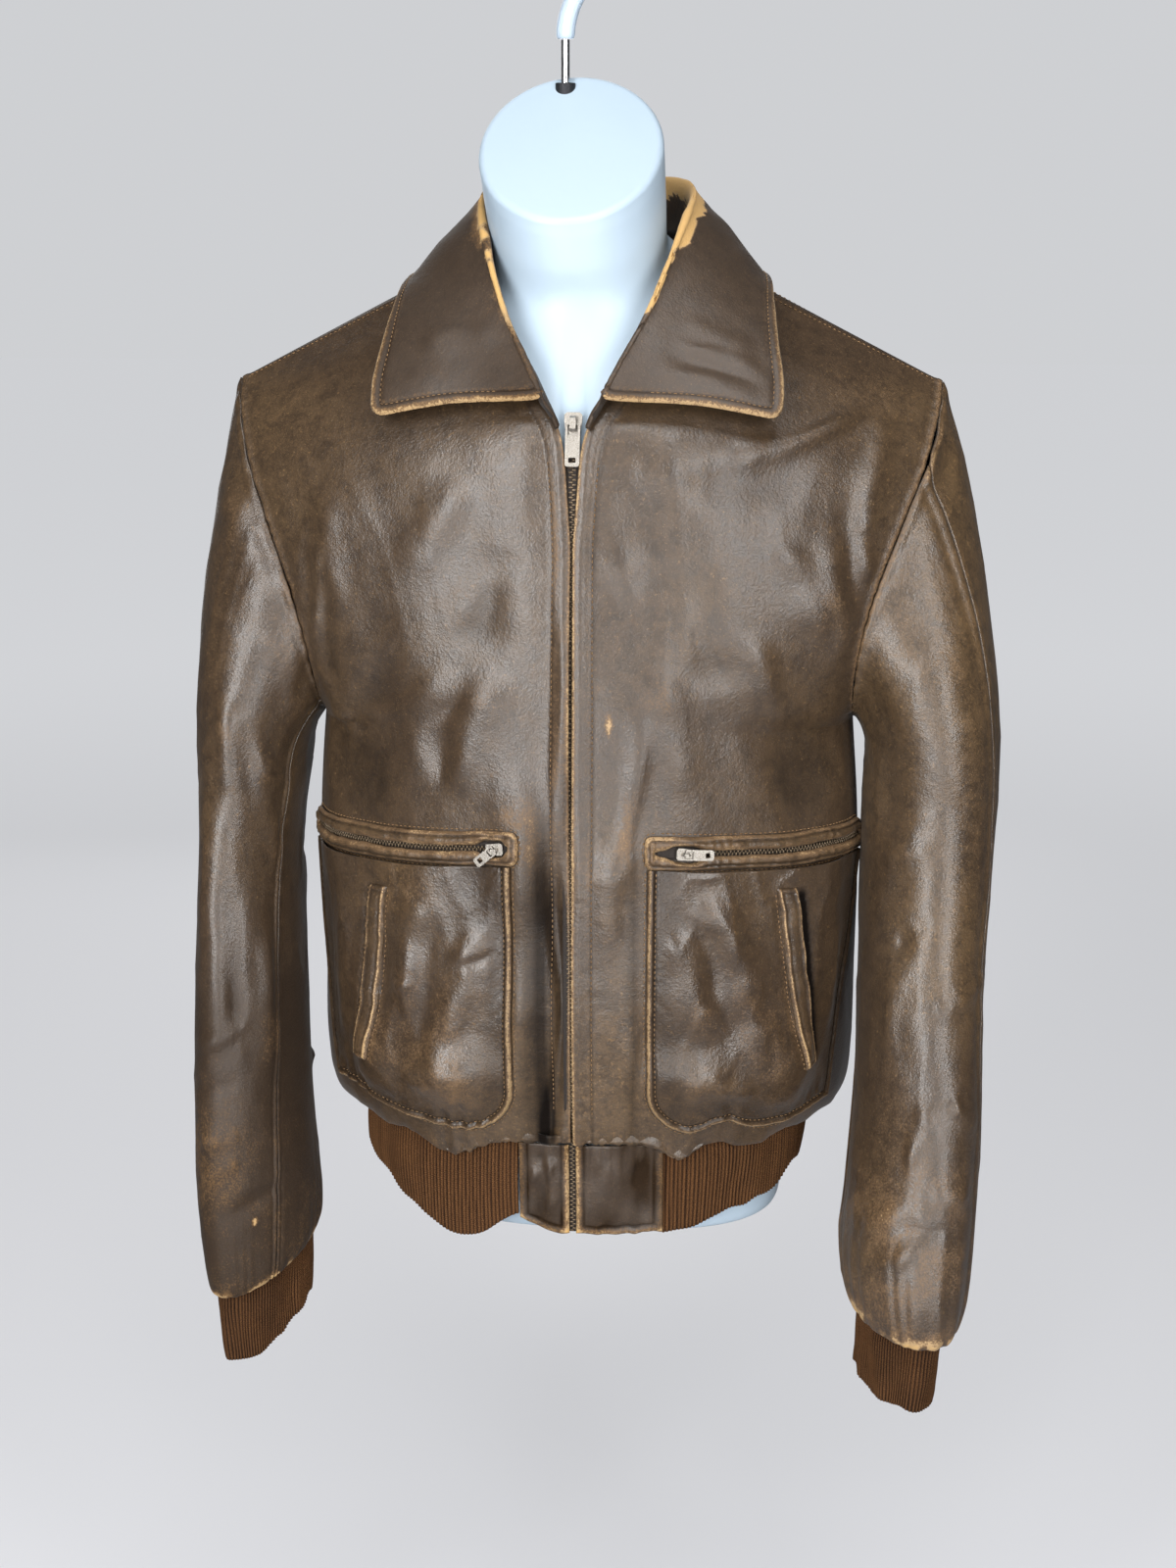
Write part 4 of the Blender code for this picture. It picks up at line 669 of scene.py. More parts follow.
def back_crease(crease):
    """The same crease with s measured across both halves of the back, to the right."""
    side = SIDES[crease.panel.split("_")[1]]
    return crease._replace(s0=side * crease.s0, s1=side * crease.s1, bow=side * crease.bow)


def crumple(s, h, seed, turn):
    """Broad soft buckles and finer wrinkles in leather; `turn` leans their long direction."""
    c, d = math.cos(turn), math.sin(turn)
    a, b = s * c + h * d, h * c - s * d
    broad = noise(a / 0.050, b / 0.110, 0, seed, 2)
    sharp = 1 - np.abs(noise(a / 0.032 + 0.4 * broad, b / 0.095, 3, seed + 1, 2))
    fine = noise(a / 0.0105, b / 0.020, 7, seed + 2, 2)
    return 0.0013 * broad + 0.0005 * (sharp**3 - 0.3) + 0.00012 * fine


def pucker(along, off, wave, depth, reach, seed):
    """Small gathers square to a seam: `along` it and `off` it in metres."""
    phase = along / wave + 0.7 * noise(along / (wave * 2.5), 0, 0, seed, 2)
    strength = 0.55 + 0.45 * noise(along / (wave * 1.8), 4, 0, seed + 1, 1)
    return depth * np.cos(2 * math.pi * phase) * strength * near(off, reach)


PLACKET = {"left": 0.0108, "right": 0.0120}
PLACKET_FOOT, PLACKET_HEAD = 0.080, 0.515
ZIP_CLOSING = 0.0013
# Scallops of the hem over the waistband: place round the panel, reach and depth.
HEM_SAGS = {
    "front_left": ((0.084, 0.026, 0.0140), (0.140, 0.016, 0.0040)),
    "front_right": ((0.070, 0.015, 0.0120), (0.122, 0.020, 0.0080), (0.170, 0.014, 0.0030)),
    "back_left": ((0.050, 0.030, 0.0060), (0.120, 0.022, 0.0070)),
    "back_right": ((0.030, 0.024, 0.0050), (0.090, 0.026, 0.0080), (0.150, 0.016, 0.0040)),
}


def steps(*counts, start=0.0):
    """Positions from `start` in runs of (end, number of equal steps)."""
    places = [np.array([start])]
    for end, count in counts:
        places.append(np.linspace(places[-1][-1], end, count + 1)[1:])
    return np.concatenate(places)


# Rows and shares of the drawn panels, closer together where the sections and the edges are.
ROW_STEPS = (6, 16, 24, 30, 24, 12, 12, 15, 17, 20, 18, 20)
ROWS = steps(*((row + 1, count) for row, count in enumerate(ROW_STEPS)))
SHARES = steps((0.06, 13), (0.96, 58), (1.0, 7))


class Panel:
    """A front or half back, draped: its outside surface at (share round the section, row)."""

    def __init__(self, part, side_name, draped=True):
        self.part, self.side_name = part, side_name
        self.side, self.facing = SIDES[side_name], -1 if part == "front" else 1
        sections = FRONT_SECTIONS if part == "front" else BACK_SECTIONS
        table = np.array(sections, float)
        self.rows = ROWS
        inner = smooth(table[:, 0:3], self.rows, BACK_NECK_ROW if part == "back" else None)
        outer = smooth(table[:, 3:6], self.rows, ARMPIT_ROW)
        turn = np.radians(smooth(table[:, 6:7], self.rows))
        self.heights = inner[:, 2]
        angle = turn * np.linspace(0, 1, 257)
        across = np.sin(angle) / np.sin(turn)
        round_back = (1 - np.cos(angle)) / (1 - np.cos(turn))
        fall = across
        if part == "back":  # rounded over the centre back, plain again at the neckline and shoulder seam
            soft = (np.hypot(across, BACK_EASE) - BACK_EASE) / (math.hypot(1, BACK_EASE) - BACK_EASE)
            fall = across + (soft - across) * ease((BACK_PLAIN_ROW - self.rows)[:, None] / BACK_FADE)
        mix = np.stack([across, round_back, fall], axis=-1)
        curves = inner[:, None] + (outer - inner)[:, None] * mix
        runs = np.cumsum(np.linalg.norm(np.diff(curves, axis=1, prepend=curves[:, :1]), axis=2), axis=1)
        self.lengths = runs[:, -1]
        self.points = np.stack(
            [
                np.stack([np.interp(SHARES * run[-1], run, curve[:, k]) for k in range(3)], axis=1)
                for run, curve in zip(runs, curves)
            ]
        )
        self.points[..., 0] *= self.side
        self.s = SHARES[None] * self.lengths[:, None]
        self.h = np.repeat(self.heights[:, None], len(SHARES), axis=1)
        self.off_edge = self.lengths[:, None] - self.s
        if draped:
            self.points[..., 2] -= self.hem_sag()
        if draped and part == "front":
            self.points[..., 0] -= self.side * ZIP_CLOSING * near(self.s, 0.012) * ease((0.50 - self.h) / 0.05)
        outwards = self.facing * -self.side
        self.normals = outwards * normals_of(self.points)
        self.lift = self.drape() if draped else np.zeros_like(self.s)
        if draped:
            self.points, self.normals = raised(self.points, self.lift, outwards)

    def hem_sag(self):
        """How far the blouson hangs lower over the waistband than its sections, in uneven scallops."""
        names = [f"front_{self.side_name}"] if self.part == "front" else ["back_left", "back_right"]
        sag = 0.0
        for name in names:
            turn = 1 if self.part == "front" else self.side * SIDES[name.split("_")[1]]
            sag = sag + sum(depth * near(self.s - turn * s, reach) for s, reach, depth in HEM_SAGS[name])
        return sag * ease((1.62 - self.rows)[:, None] / 0.62)

    def drape(self):
        """How far the leather stands off its plain shape."""
        s, h, off = self.s, self.h, self.off_edge
        name = f"{self.part}_{self.side_name}"
        seed = {"front_left": 20, "front_right": 30, "back_left": 40, "back_right": 40}[name]
        if self.part == "back":
            s = s * self.side  # one field across both halves
        lift = crumple(s, h, seed, FRONT_LEAN * self.side if self.part == "front" else BACK_LEAN)
        own = [crease for crease in CREASES if crease.panel == name]
        if self.part == "back":
            own = [back_crease(crease) for crease in CREASES if crease.panel.startswith("back")]
        creases = CREASE_GAIN * sum(crease_height(crease, s, h, k) for k, crease in enumerate(own))
        rows_from_top = (TOP_ROW - self.rows)[:, None]
        hem = self.rows[:, None] * np.ones_like(s)
        # The gathers over the waistband, and the seams, which hold the leather flat.
        gathers = pucker(s, 0 * s, 0.0135, 0.0017, 1.0, seed + 5) * near(hem - 0.9, 0.9)
        held = ease(off / 0.022) * ease(rows_from_top / 0.35) * ease((hem + 0.3) / 1.5)
        if self.part == "front":
            held = held * (0.25 + 0.75 * ease((self.s - 0.010) / 0.018))
            neck = ease((TOP_ROW - 2.6 - self.rows)[:, None] / 0.8 + ease((self.s - 0.004) / 0.02))
            held = held * neck
        lift = lift * held + creases * ease(off / 0.012) * ease(rows_from_top / 0.3) + gathers
        arm = near(off, 0.012) * ease((self.rows[:, None] - ARMPIT_ROW) / 0.5)
        lift = lift + arm * pucker(h, 0 * h, 0.011, 0.0005, 1.0, seed + 7)
        lift = lift + 0.0011 * near(off - 0.002, 0.0030) * ease((self.rows[:, None] - ARMPIT_ROW) / 0.5)
        if self.part == "front":
            line = PLACKET[self.side_name]
            lift = lift + 0.0009 * near(self.s - 0.0045, 0.0030) - 0.0006 * near(self.s - line, 0.0013)
            lift = lift + 0.0008 * (1 - ease((self.s - line) / 0.0015))
            lift = lift + pucker(h, self.s - line - 0.003, 0.0085, 0.0004, 0.007, seed + 9)
            lift = lift + pucker(h, self.s - 0.0062, 0.0058, 0.0005, 0.0035, seed + 11) * ease((0.27 - h) / 0.04)
        return lift

    def masks(self):
        """Wear, tone and painted shade of the leather."""
        name = f"{self.part}_{self.side_name}"
        s, h, off = self.s, self.h, self.off_edge
        wear = 0.30 * ease(self.lift / 0.004 - 0.2) * ease(noise(s / 0.03, h / 0.03, 0, 3, 2) + 0.6)
        upper = ease((self.rows[:, None] - ARMPIT_ROW) / 0.4)
        seam = 0.62 if name == "front_right" else 0.34
        wear = wear + seam * near(off - 0.0022, 0.0022) * upper
        flaking = ease(noise(s / 0.012, h / 0.012, 2, 8, 2) + 0.5)
        wear = wear + 0.30 * near(self.rows[:, None] - 1.0, 0.45) * flaking
        tone = 0.22 + 0.16 * noise(s / 0.09, h / 0.11, 1, 4, 2)
        if self.part == "front":
            edge = 1.0 if self.side == 1 else 0.75
            wear = wear + edge * near(s - 0.0004, 0.0016)
            wear = wear + 0.25 * near(s - PLACKET[self.side_name] + 0.0015, 0.0020)
            tone = tone + 0.25 * near(s - 0.03, 0.04) * ease((0.34 - h) / 0.1) + 0.12 * ease((0.16 - h) / 0.06)
        for patch in WORN_PATCHES:
            if patch.piece == name:
                reach = ((s - patch.s) / patch.half_s) ** 2 + ((h - patch.h) / patch.half_h) ** 2
                wear = wear + patch.amount * np.exp(-(reach**1.5))
        # Painted shade in the drape's valleys, along the placket's stitch line and in a trough on the right
        # front; on the left front, a painted shadow of the deep fold beside the placket.
        painted_shade = ease(-self.lift / 0.0045 - 0.15) * 0.5
        if self.part == "front":
            painted_shade = painted_shade + 0.5 * near(s - PLACKET[self.side_name], 0.0010)
        if name == "front_right":
            painted_shade = painted_shade + 0.5 * near(s - 0.0385, 0.0035) * ease((0.29 - h) / 0.05)
        if name == "front_left":
            placket_fold_shadow = 0.9 * near(s - 0.0165, 0.0045) + 0.55 * near(s - 0.024, 0.007)
            painted_shade = painted_shade + placket_fold_shadow * ease((0.32 - h) / 0.08)
        return {"wear": wear, "tone": tone, "painted_shade": painted_shade}

    def sample(self, grid, share, row):
        x = np.interp(share, SHARES, np.arange(len(SHARES)))
        y = np.interp(row, ROWS, np.arange(len(ROWS)))
        i = np.minimum(x.astype(int), len(SHARES) - 2)
        j = np.minimum(y.astype(int), len(ROWS) - 2)
        u, v = x - i, y - j
        if grid.ndim == 3:
            u, v = u[..., None], v[..., None]
        low = grid[j, i] * (1 - u) + grid[j, i + 1] * u
        high = grid[j + 1, i] * (1 - u) + grid[j + 1, i + 1] * u
        return low * (1 - v) + high * v

    def at(self, share, row, lift=0.0):
        """Points `lift` outside the panel at (share, row), with their outward normals."""
        share, row, lift = np.broadcast_arrays(*(np.asarray(v, float) for v in (share, row, lift)))
        normal = unit(self.sample(self.normals, share, row))
        return self.sample(self.points, share, row) + normal * lift[..., None], normal

    def on(self, around, height, lift=0.0):
        """The same, at `around` metres from the centre line and the height measured there."""
        around, height = np.broadcast_arrays(np.asarray(around, float), np.asarray(height, float))
        low = int(np.argmin(self.heights[: len(ROWS) // 2]))
        row = np.interp(height, self.heights[low:], ROWS[low:])
        return self.at(around / np.interp(row, ROWS, self.lengths), row, lift)


def make_panels(draped=True):
    """The four panel surfaces, with one shared normal along each seam between them."""
    panels = {}
    for side_name in SIDES:
        front = Panel("front", side_name, draped)
        back = Panel("back", side_name, draped)
        armpit = sum(ROW_STEPS[:ARMPIT_ROW]) + 1
        side_seam = unit(front.normals[:armpit, -1] + back.normals[:armpit, -1])
        front.normals[:armpit, -1] = back.normals[:armpit, -1] = side_seam
        shoulder = unit(front.normals[-1] + back.normals[-1])
        front.normals[-1] = back.normals[-1] = shoulder
        panels["front", side_name], panels["back", side_name] = front, back
    left, right = panels["back", "left"], panels["back", "right"]
    neck = sum(ROW_STEPS[:BACK_NECK_ROW]) + 1
    middle = (left.points[:neck, 0] + right.points[:neck, 0]) / 2
    middle[:, 0] = 0.0
    normal = unit(left.normals[:neck, 0] + right.normals[:neck, 0])
    for panel in (left, right):
        panel.points[:neck, 0] = middle
        panel.normals[:neck, 0] = normal
    return panels


def inset(points, at, toward, gap=SEAM_GAP):
    """Moves an edge of the grid half a seam gap along the surface, towards its neighbours."""
    points[at] += unit(points[toward] - points[at]) * gap / 2


def make_body(panels, leather):
    """The two fronts and the one-piece back."""
    for part, names in (("front", ["left"]), ("front", ["right"]), ("back", ["left", "right"])):
        grids = []
        for side_name in names:
            panel = panels[part, side_name]
            points = panel.points.copy()
            inset(points, (EVERY, -1), (EVERY, -2))
            inset(points, (-1, EVERY), (-2, EVERY))
            cloth_place = np.stack([panel.s * panel.side, panel.h, 0 * panel.s], axis=-1)
            flip = (panel.side * panel.facing) < 0
            half = dict(points=points, normals=panel.normals, flip=not flip, cloth=cloth_place)
            grids.append(dict(half, **panel.masks()))
        name = f"{part}_{names[0]}" if part == "front" else "back"
        cloth(f"{name}_leather", name, grids, LEATHER, leather, "leather")


# ---------------------------------------------------------------- sleeves and cuffs
# Rings of the sleeves below the armhole: centre, half thickness, half depth, turn and rise of the back end.
# In the first six of each side, x and thin came from a program that fitted them to the sleeve's outline;
# some were moved after that.
Ring = namedtuple("Ring", "x y z thin deep turn rise")
SLEEVE_RINGS = {
    "left": (
        Ring(0.2285, -0.020, 0.285, 0.0340, 0.070, 6, 0.000),
        Ring(0.2305, -0.030, 0.235, 0.0310, 0.068, 8, 0.000),
        Ring(0.2290, -0.052, 0.145, 0.0320, 0.065, 11, 0.000),
        Ring(0.2270, -0.068, 0.075, 0.0325, 0.062, 14, 0.003),
        Ring(0.2232, -0.082, 0.025, 0.0325, 0.060, 18, 0.008),
        Ring(0.2190, -0.092, -0.006, 0.0310, 0.057, 22, 0.013),
        Ring(0.2165, -0.098, -0.027, 0.0290, 0.053, 25, 0.016),
        Ring(0.2155, -0.101, -0.037, 0.0255, 0.048, 27, 0.016),
        Ring(0.2150, -0.101, -0.031, 0.0225, 0.043, 28, 0.016),
    ),
    "right": (
        Ring(0.2335, -0.022, 0.285, 0.0450, 0.070, 6, 0.000),
        Ring(0.2320, -0.032, 0.240, 0.0435, 0.069, 8, 0.000),
        Ring(0.2292, -0.060, 0.163, 0.0400, 0.066, 10, 0.000),
        Ring(0.2292, -0.085, 0.095, 0.0390, 0.063, 14, 0.000),
        Ring(0.2257, -0.104, 0.039, 0.0395, 0.061, 18, 0.002),
        Ring(0.2222, -0.120, -0.003, 0.0405, 0.058, 20, 0.004),
        Ring(0.2215, -0.129, -0.030, 0.0370, 0.054, 22, 0.006),
        Ring(0.2205, -0.134, -0.047, 0.0300, 0.048, 24, 0.006),
        Ring(0.2195, -0.134, -0.041, 0.0245, 0.042, 25, 0.006),
    ),
}
CUFF_RINGS = {
    "left": (
        Ring(0.2150, -0.101, -0.022, 0.0218, 0.0423, 28, 0.016),
        Ring(0.2150, -0.101, -0.036, 0.0218, 0.0423, 28, 0.016),
        Ring(0.2142, -0.105, -0.062, 0.0212, 0.0400, 30, 0.016),
        Ring(0.2130, -0.108, -0.084, 0.0200, 0.0372, 31, 0.016),
    ),
    "right": (
        Ring(0.2195, -0.134, -0.032, 0.0238, 0.0413, 25, 0.006),
        Ring(0.2195, -0.134, -0.047, 0.0238, 0.0413, 25, 0.006),
        Ring(0.2178, -0.136, -0.072, 0.0225, 0.0380, 27, 0.006),
        Ring(0.2160, -0.138, -0.096, 0.0210, 0.0350, 28, 0.006),
    ),
}
# Sleeve columns run 0 to 20 from the shoulder seam down the front, under the arm and up the back.
FRONT_COLUMN_ROWS = (12, 11, 10, 9, 8.25, 7.5, 7, 6.5, 6, 5.5, 5)
COLUMNS = 20
COLUMN_WIDTH = 0.017
HEAD_STEPS = (0.0, 0.10, 0.25, 0.45, 0.70, 1.0)
SLEEVE_SEAMS = {"left": (18, 8), "right": (2, 12)}
SLEEVE_LEVELS = steps(
    (0.4, 6), (2, 16), (3, 12), (4, 14), (5, 16), (6, 16), (7, 30), (8, 24), (9, 20), (10, 14), (13, 18)
)

# Creases on the sleeves, in columns and heights. Where they lie on the side that faces the camera was
# partly taken from a program's output; their widths, heights and bows, and the other rows, are given one by one.
SLEEVE_CREASES = {
    "left": (
        (1.0, 0.500, 4.2, 0.392, 0.0080, 0.0028, 0.06),
        (1.6, 0.500, 4.6, 0.415, 0.0060, -0.0022, 0.05),
        (3.8, 0.405, 7.4, 0.305, 0.0080, 0.0030, 0.08),
        (2.9, 0.450, 6.2, 0.350, 0.0060, 0.0026, 0.05),
        (4.6, 0.400, 7.0, 0.335, 0.0050, -0.0024, 0.04),
        (4.6, 0.330, 8.3, 0.212, 0.0090, 0.0034, 0.06),
        (3.4, 0.365, 5.2, 0.250, 0.0100, 0.0028, -0.05),
        (5.6, 0.300, 8.6, 0.235, 0.0060, -0.0024, 0.05),
        (2.2, 0.330, 3.2, 0.170, 0.0110, 0.0024, 0.04),
        (4.4, 0.240, 5.6, 0.110, 0.0120, -0.0026, -0.04),
        (6.6, 0.210, 6.9, 0.080, 0.0090, 0.0026, 0.04),
        (2.4, 0.114, 6.2, 0.132, 0.0050, 0.0020, 0.03),
        (2.0, 0.088, 5.4, 0.094, 0.0045, -0.0018, -0.03),
        (2.9, 0.049, 5.4, 0.057, 0.0045, 0.0020, 0.02),
        (3.2, 0.027, 5.4, 0.041, 0.0040, 0.0018, 0.03),
        (4.0, 0.004, 8.8, 0.018, 0.0040, -0.0020, 0.02),
        (12.0, 0.360, 15.0, 0.250, 0.0090, 0.0030, 0.06),
        (13.2, 0.440, 16.4, 0.350, 0.0080, 0.0028, 0.06),
        (11.6, 0.240, 14.2, 0.190, 0.0070, -0.0026, 0.05),
        (14.0, 0.180, 17.0, 0.165, 0.0070, 0.0024, 0.06),
        (13.0, 0.080, 16.6, 0.060, 0.0060, 0.0022, 0.05),
    ),
    "right": (
        (1.1, 0.530, 2.6, 0.482, 0.0055, 0.0022, 0.04),
        (0.9, 0.518, 2.2, 0.470, 0.0050, -0.0018, 0.04),
        (3.6, 0.440, 5.1, 0.315, 0.0090, 0.0032, 0.05),
        (2.9, 0.400, 3.6, 0.290, 0.0110, 0.0022, 0.04),
        (5.4, 0.380, 6.6, 0.250, 0.0120, -0.0022, 0.04),
        (4.0, 0.262, 7.4, 0.242, 0.0060, 0.0024, 0.05),
        (4.2, 0.215, 6.4, 0.190, 0.0060, -0.0020, 0.05),
        (1.8, 0.173, 4.2, 0.154, 0.0060, 0.0022, 0.05),
        (6.0, 0.200, 6.4, 0.090, 0.0120, 0.0022, 0.04),
        (4.5, 0.104, 5.6, 0.053, 0.0060, 0.0024, 0.03),
        (3.8, 0.110, 2.4, 0.081, 0.0050, 0.0022, 0.03),
        (4.7, 0.050, 2.6, 0.042, 0.0050, 0.0022, 0.03),
        (8.8, 0.016, 5.2, 0.038, 0.0050, 0.0022, 0.03),
        (7.6, -0.006, 4.6, 0.016, 0.0045, 0.0020, 0.03),
        (6.4, 0.028, 3.0, 0.022, 0.0045, -0.0018, 0.03),
        (12.0, 0.350, 15.0, 0.240, 0.0090, 0.0030, 0.06),
        (13.0, 0.430, 16.2, 0.340, 0.0080, 0.0028, 0.06),
        (12.0, 0.230, 14.8, 0.205, 0.0070, -0.0024, 0.05),
        (13.6, 0.150, 16.8, 0.170, 0.0070, 0.0024, 0.06),
        (13.0, 0.060, 16.4, 0.046, 0.0060, 0.0022, 0.05),
    ),
}
# How much darker the leather is toward each cuff, its tone above, and its rub low down and at the armhole.
SLEEVE_DARK = {"left": 0.85, "right": 0.35}
SLEEVE_TONE = {"left": 0.30, "right": 0.55}
LOW_RUB = {"left": 0.20, "right": 0.34}
ARMHOLE_RUB = {"left": 0.16, "right": 0.45}
SLEEVE_END_LEVEL = 11.8
SLEEVE_PATCHES = (
    Patch("left", 3.5, 0.055, 2.6, 0.050, 0.26),
    Patch("left", 6.35, -0.0010, 0.17, 0.0022, 1.50),
    Patch("right", 6.0, 0.060, 2.4, 0.070, 0.26),
    Patch("right", 4.0, 0.420, 2.0, 0.060, 0.18),
    Patch("left", 4.0, 0.400, 2.0, 0.060, 0.16),
    Patch("right", 3.0, 0.250, 1.6, 0.120, 0.16),
    Patch("left", 2.6, 0.240, 1.6, 0.120, 0.12),
)


def armhole_line(panels, side_name, u):
    """The armhole's points at sleeve columns u."""
    u = np.asarray(u, float)
    front = np.interp(u, np.arange(11), FRONT_COLUMN_ROWS)
    back = np.interp(u, np.arange(10, 21), FRONT_COLUMN_ROWS[::-1])
    before, _ = panels["front", side_name].at(1.0, front)
    behind, _ = panels["back", side_name].at(1.0, back)
    return np.where((u <= 10)[:, None], before, behind)


def armhole_away(panel, rows):
    """Out of the panel across its armhole edge: square to the edge, in the surface."""
    edge, normal = panel.at(1.0, rows)
    after, _ = panel.at(1.0, np.minimum(rows + 0.05, TOP_ROW))
    before, _ = panel.at(1.0, np.maximum(rows - 0.05, ARMPIT_ROW))
    inside, _ = panel.at(0.9, rows)
    out = unit(np.cross(after - before, normal))
    side = np.sign(((edge - inside) * out).sum(axis=1, keepdims=True) + 1e-9)
    return out * np.where(rows[:, None] < ARMPIT_ROW + 0.8, np.sign(out[:, 2:3]), side)


def ring_points(ring, angles, side):
    """A tilted ellipse; angle 0 is outermost and a quarter turn on is the front."""
    x, y, z, thin, deep, turn, rise = (ring[..., k, None] for k in range(7))
    turn = np.radians(turn)
    thin, deep = thin * np.cos(angles), deep * np.sin(angles)
    across = x + thin * np.cos(turn) + deep * np.sin(turn)
    along = y - deep * np.cos(turn) + thin * np.sin(turn)
    return np.stack([side * across, along, z - rise * np.sin(angles)], axis=-1)


def column_angles(plain, side_name, u):
    """Angle of sleeve column u round the tube, by its share of the armhole's length."""
    corners = armhole_line(plain, side_name, np.arange(COLUMNS))
    lengths = np.linalg.norm(np.roll(corners, -1, axis=0) - corners, axis=1)
    half = COLUMNS // 2
    turns = [math.pi * np.cumsum(part) / part.sum() for part in (lengths[:half], lengths[half:])]
    angles = np.concatenate([[0], turns[0], math.pi + turns[1]])
    return np.interp(u, np.arange(COLUMNS + 1), angles)


def sleeve_surface(panels, plain, side_name, u, levels):
    """Points at levels (0 at the armhole, 5 at the first ring, 13 at the tucked edge) and columns u, 0 to 20."""
    side = SIDES[side_name]
    angles = column_angles(plain, side_name, u)
    front_rows = np.interp(u, np.arange(11), FRONT_COLUMN_ROWS)
    rows = front_rows, np.interp(u, np.arange(10, 21), FRONT_COLUMN_ROWS[::-1])
    away = np.where(
        (u < 10)[:, None],
        armhole_away(plain["front", side_name], rows[0]),
        armhole_away(plain["back", side_name], rows[1]),
    )
    start = armhole_line(panels, side_name, u) + away * SEAM_GAP
    rings = np.array(SLEEVE_RINGS[side_name], float)
    upper = ring_points(rings[0], angles, side)
    reach = np.linalg.norm(upper - start, axis=1)[:, None]
    outward = 0.30 + 0.45 * np.sin(angles / 2) ** 2
    leave = np.stack([side * outward, -0.20 * np.sin(angles), np.full_like(outward, -0.85)], axis=1)
    leave = unit(leave) * reach
    arrive = np.array([0.0, 0.0, -1.0]) * reach
    t = np.interp(levels[levels < 5], np.arange(6), HEAD_STEPS)[:, None, None]
    head = passage(start, leave, upper, arrive, t)
    return np.concatenate([head, ring_points(smooth(rings, levels[levels >= 5] - 5), angles, side)])


def wrapped(a, middle, round_all):
    """a moved by whole turns to lie within half a turn of `middle`."""
    return (a - middle + round_all / 2) % round_all - round_all / 2 + middle


def sleeve_lift(side_name, points, u, levels, off_seam):
    """How far the sleeve's leather stands off its plain tube."""
    seed = {"left": 60, "right": 70}[side_name]
    x, y, z = (points[..., k] for k in range(3))
    around = u[None] * COLUMN_WIDTH + 0 * z
    level = levels[:, None] + 0 * z
    broad = noise(x / 0.050, y / 0.050, z / 0.120, seed, 2)
    ridged = 1 - np.abs(noise(x / 0.034, y / 0.034, z / 0.060, seed + 1, 2))
    fine = noise(x / 0.0105, y / 0.0105, z / 0.014, seed + 2, 2)
    lift = 0.0013 * broad + 0.0006 * (ridged**3 - 0.3) + 0.00012 * fine
    lift = lift * ease(level / 1.2) * ease((12.6 - level) / 1.5)
    for k, (u0, z0, u1, z1, width, height, bow) in enumerate(SLEEVE_CREASES[side_name]):
        middle = (u0 + u1) / 2 * COLUMN_WIDTH
        crease = Crease("", u0 * COLUMN_WIDTH, z0, u1 * COLUMN_WIDTH, z1, width, height, bow)
        own = wrapped(around, middle, COLUMNS * COLUMN_WIDTH)
        lift = lift + crease_height(crease, own, z, seed + k)
    # Gathers above the cuff, wrinkles at the elbow's inside and a full seam at the armhole.
    low = near(level - 11.2, 1.5) * ease((12.9 - level) / 0.6)
    lift = lift + low * pucker(around, 0 * around, 0.0150, 0.0009, 1.0, seed + 5)
    lift = lift + 0.0010 * near(level - 0.22, 0.22) + 0.0005 * near(level, 0.4) * np.cos(around / 0.0017)
    lift = lift + 0.0007 * near(off_seam - 0.0022, 0.0020) - 0.0005 * near(off_seam - 0.0050, 0.0012)
    return lift


def sleeve_masks(side_name, points, z, u, lift, off_seam):
    """Wear, tone and painted shade of the leather, from the raised points and their heights before that."""
    x, y = points[..., 0], points[..., 1]
    level = SLEEVE_LEVELS[:, None] + 0 * z
    wear = 0.30 * ease(lift / 0.0035 - 0.2) * ease(noise(x / 0.03, y / 0.03, z / 0.03, 3, 2) + 0.6)
    wear = wear + 0.14 * near(off_seam - 0.002, 0.0022)
    patchy = noise(x / 0.009, y / 0.009, z / 0.009, 5, 2)
    wear = wear + 1.15 * near(level - SLEEVE_END_LEVEL, 0.40) * ease(patchy + 0.80)
    blotches = ease(noise(x / 0.035, y / 0.035, z / 0.025, 9, 3) + 0.65)
    wear = wear + LOW_RUB[side_name] * ease((0.11 - z) / 0.10) * blotches
    wear = wear + ARMHOLE_RUB[side_name] * near(level - 0.12, 0.14)
    for patch in SLEEVE_PATCHES:
        if patch.piece == side_name:
            across = wrapped(u[None], patch.s, COLUMNS) - patch.s
            reach = (across / patch.half_s) ** 2 + ((z - patch.h) / patch.half_h) ** 2
            wear = wear + patch.amount * np.exp(-(reach**1.5))
    tone = SLEEVE_TONE[side_name] + 0.22 * noise(x / 0.07, y / 0.07, z / 0.10, 6, 2)
    tone = tone - SLEEVE_DARK[side_name] * ease((0.24 - z) / 0.14)
    # Painted shade in the sleeve's valleys and along its armhole seam.
    painted_shade = ease(-lift / 0.004 - 0.15) * 0.45 + 0.45 * near(level, 0.10)
    return {"wear": wear, "tone": tone, "painted_shade": painted_shade}


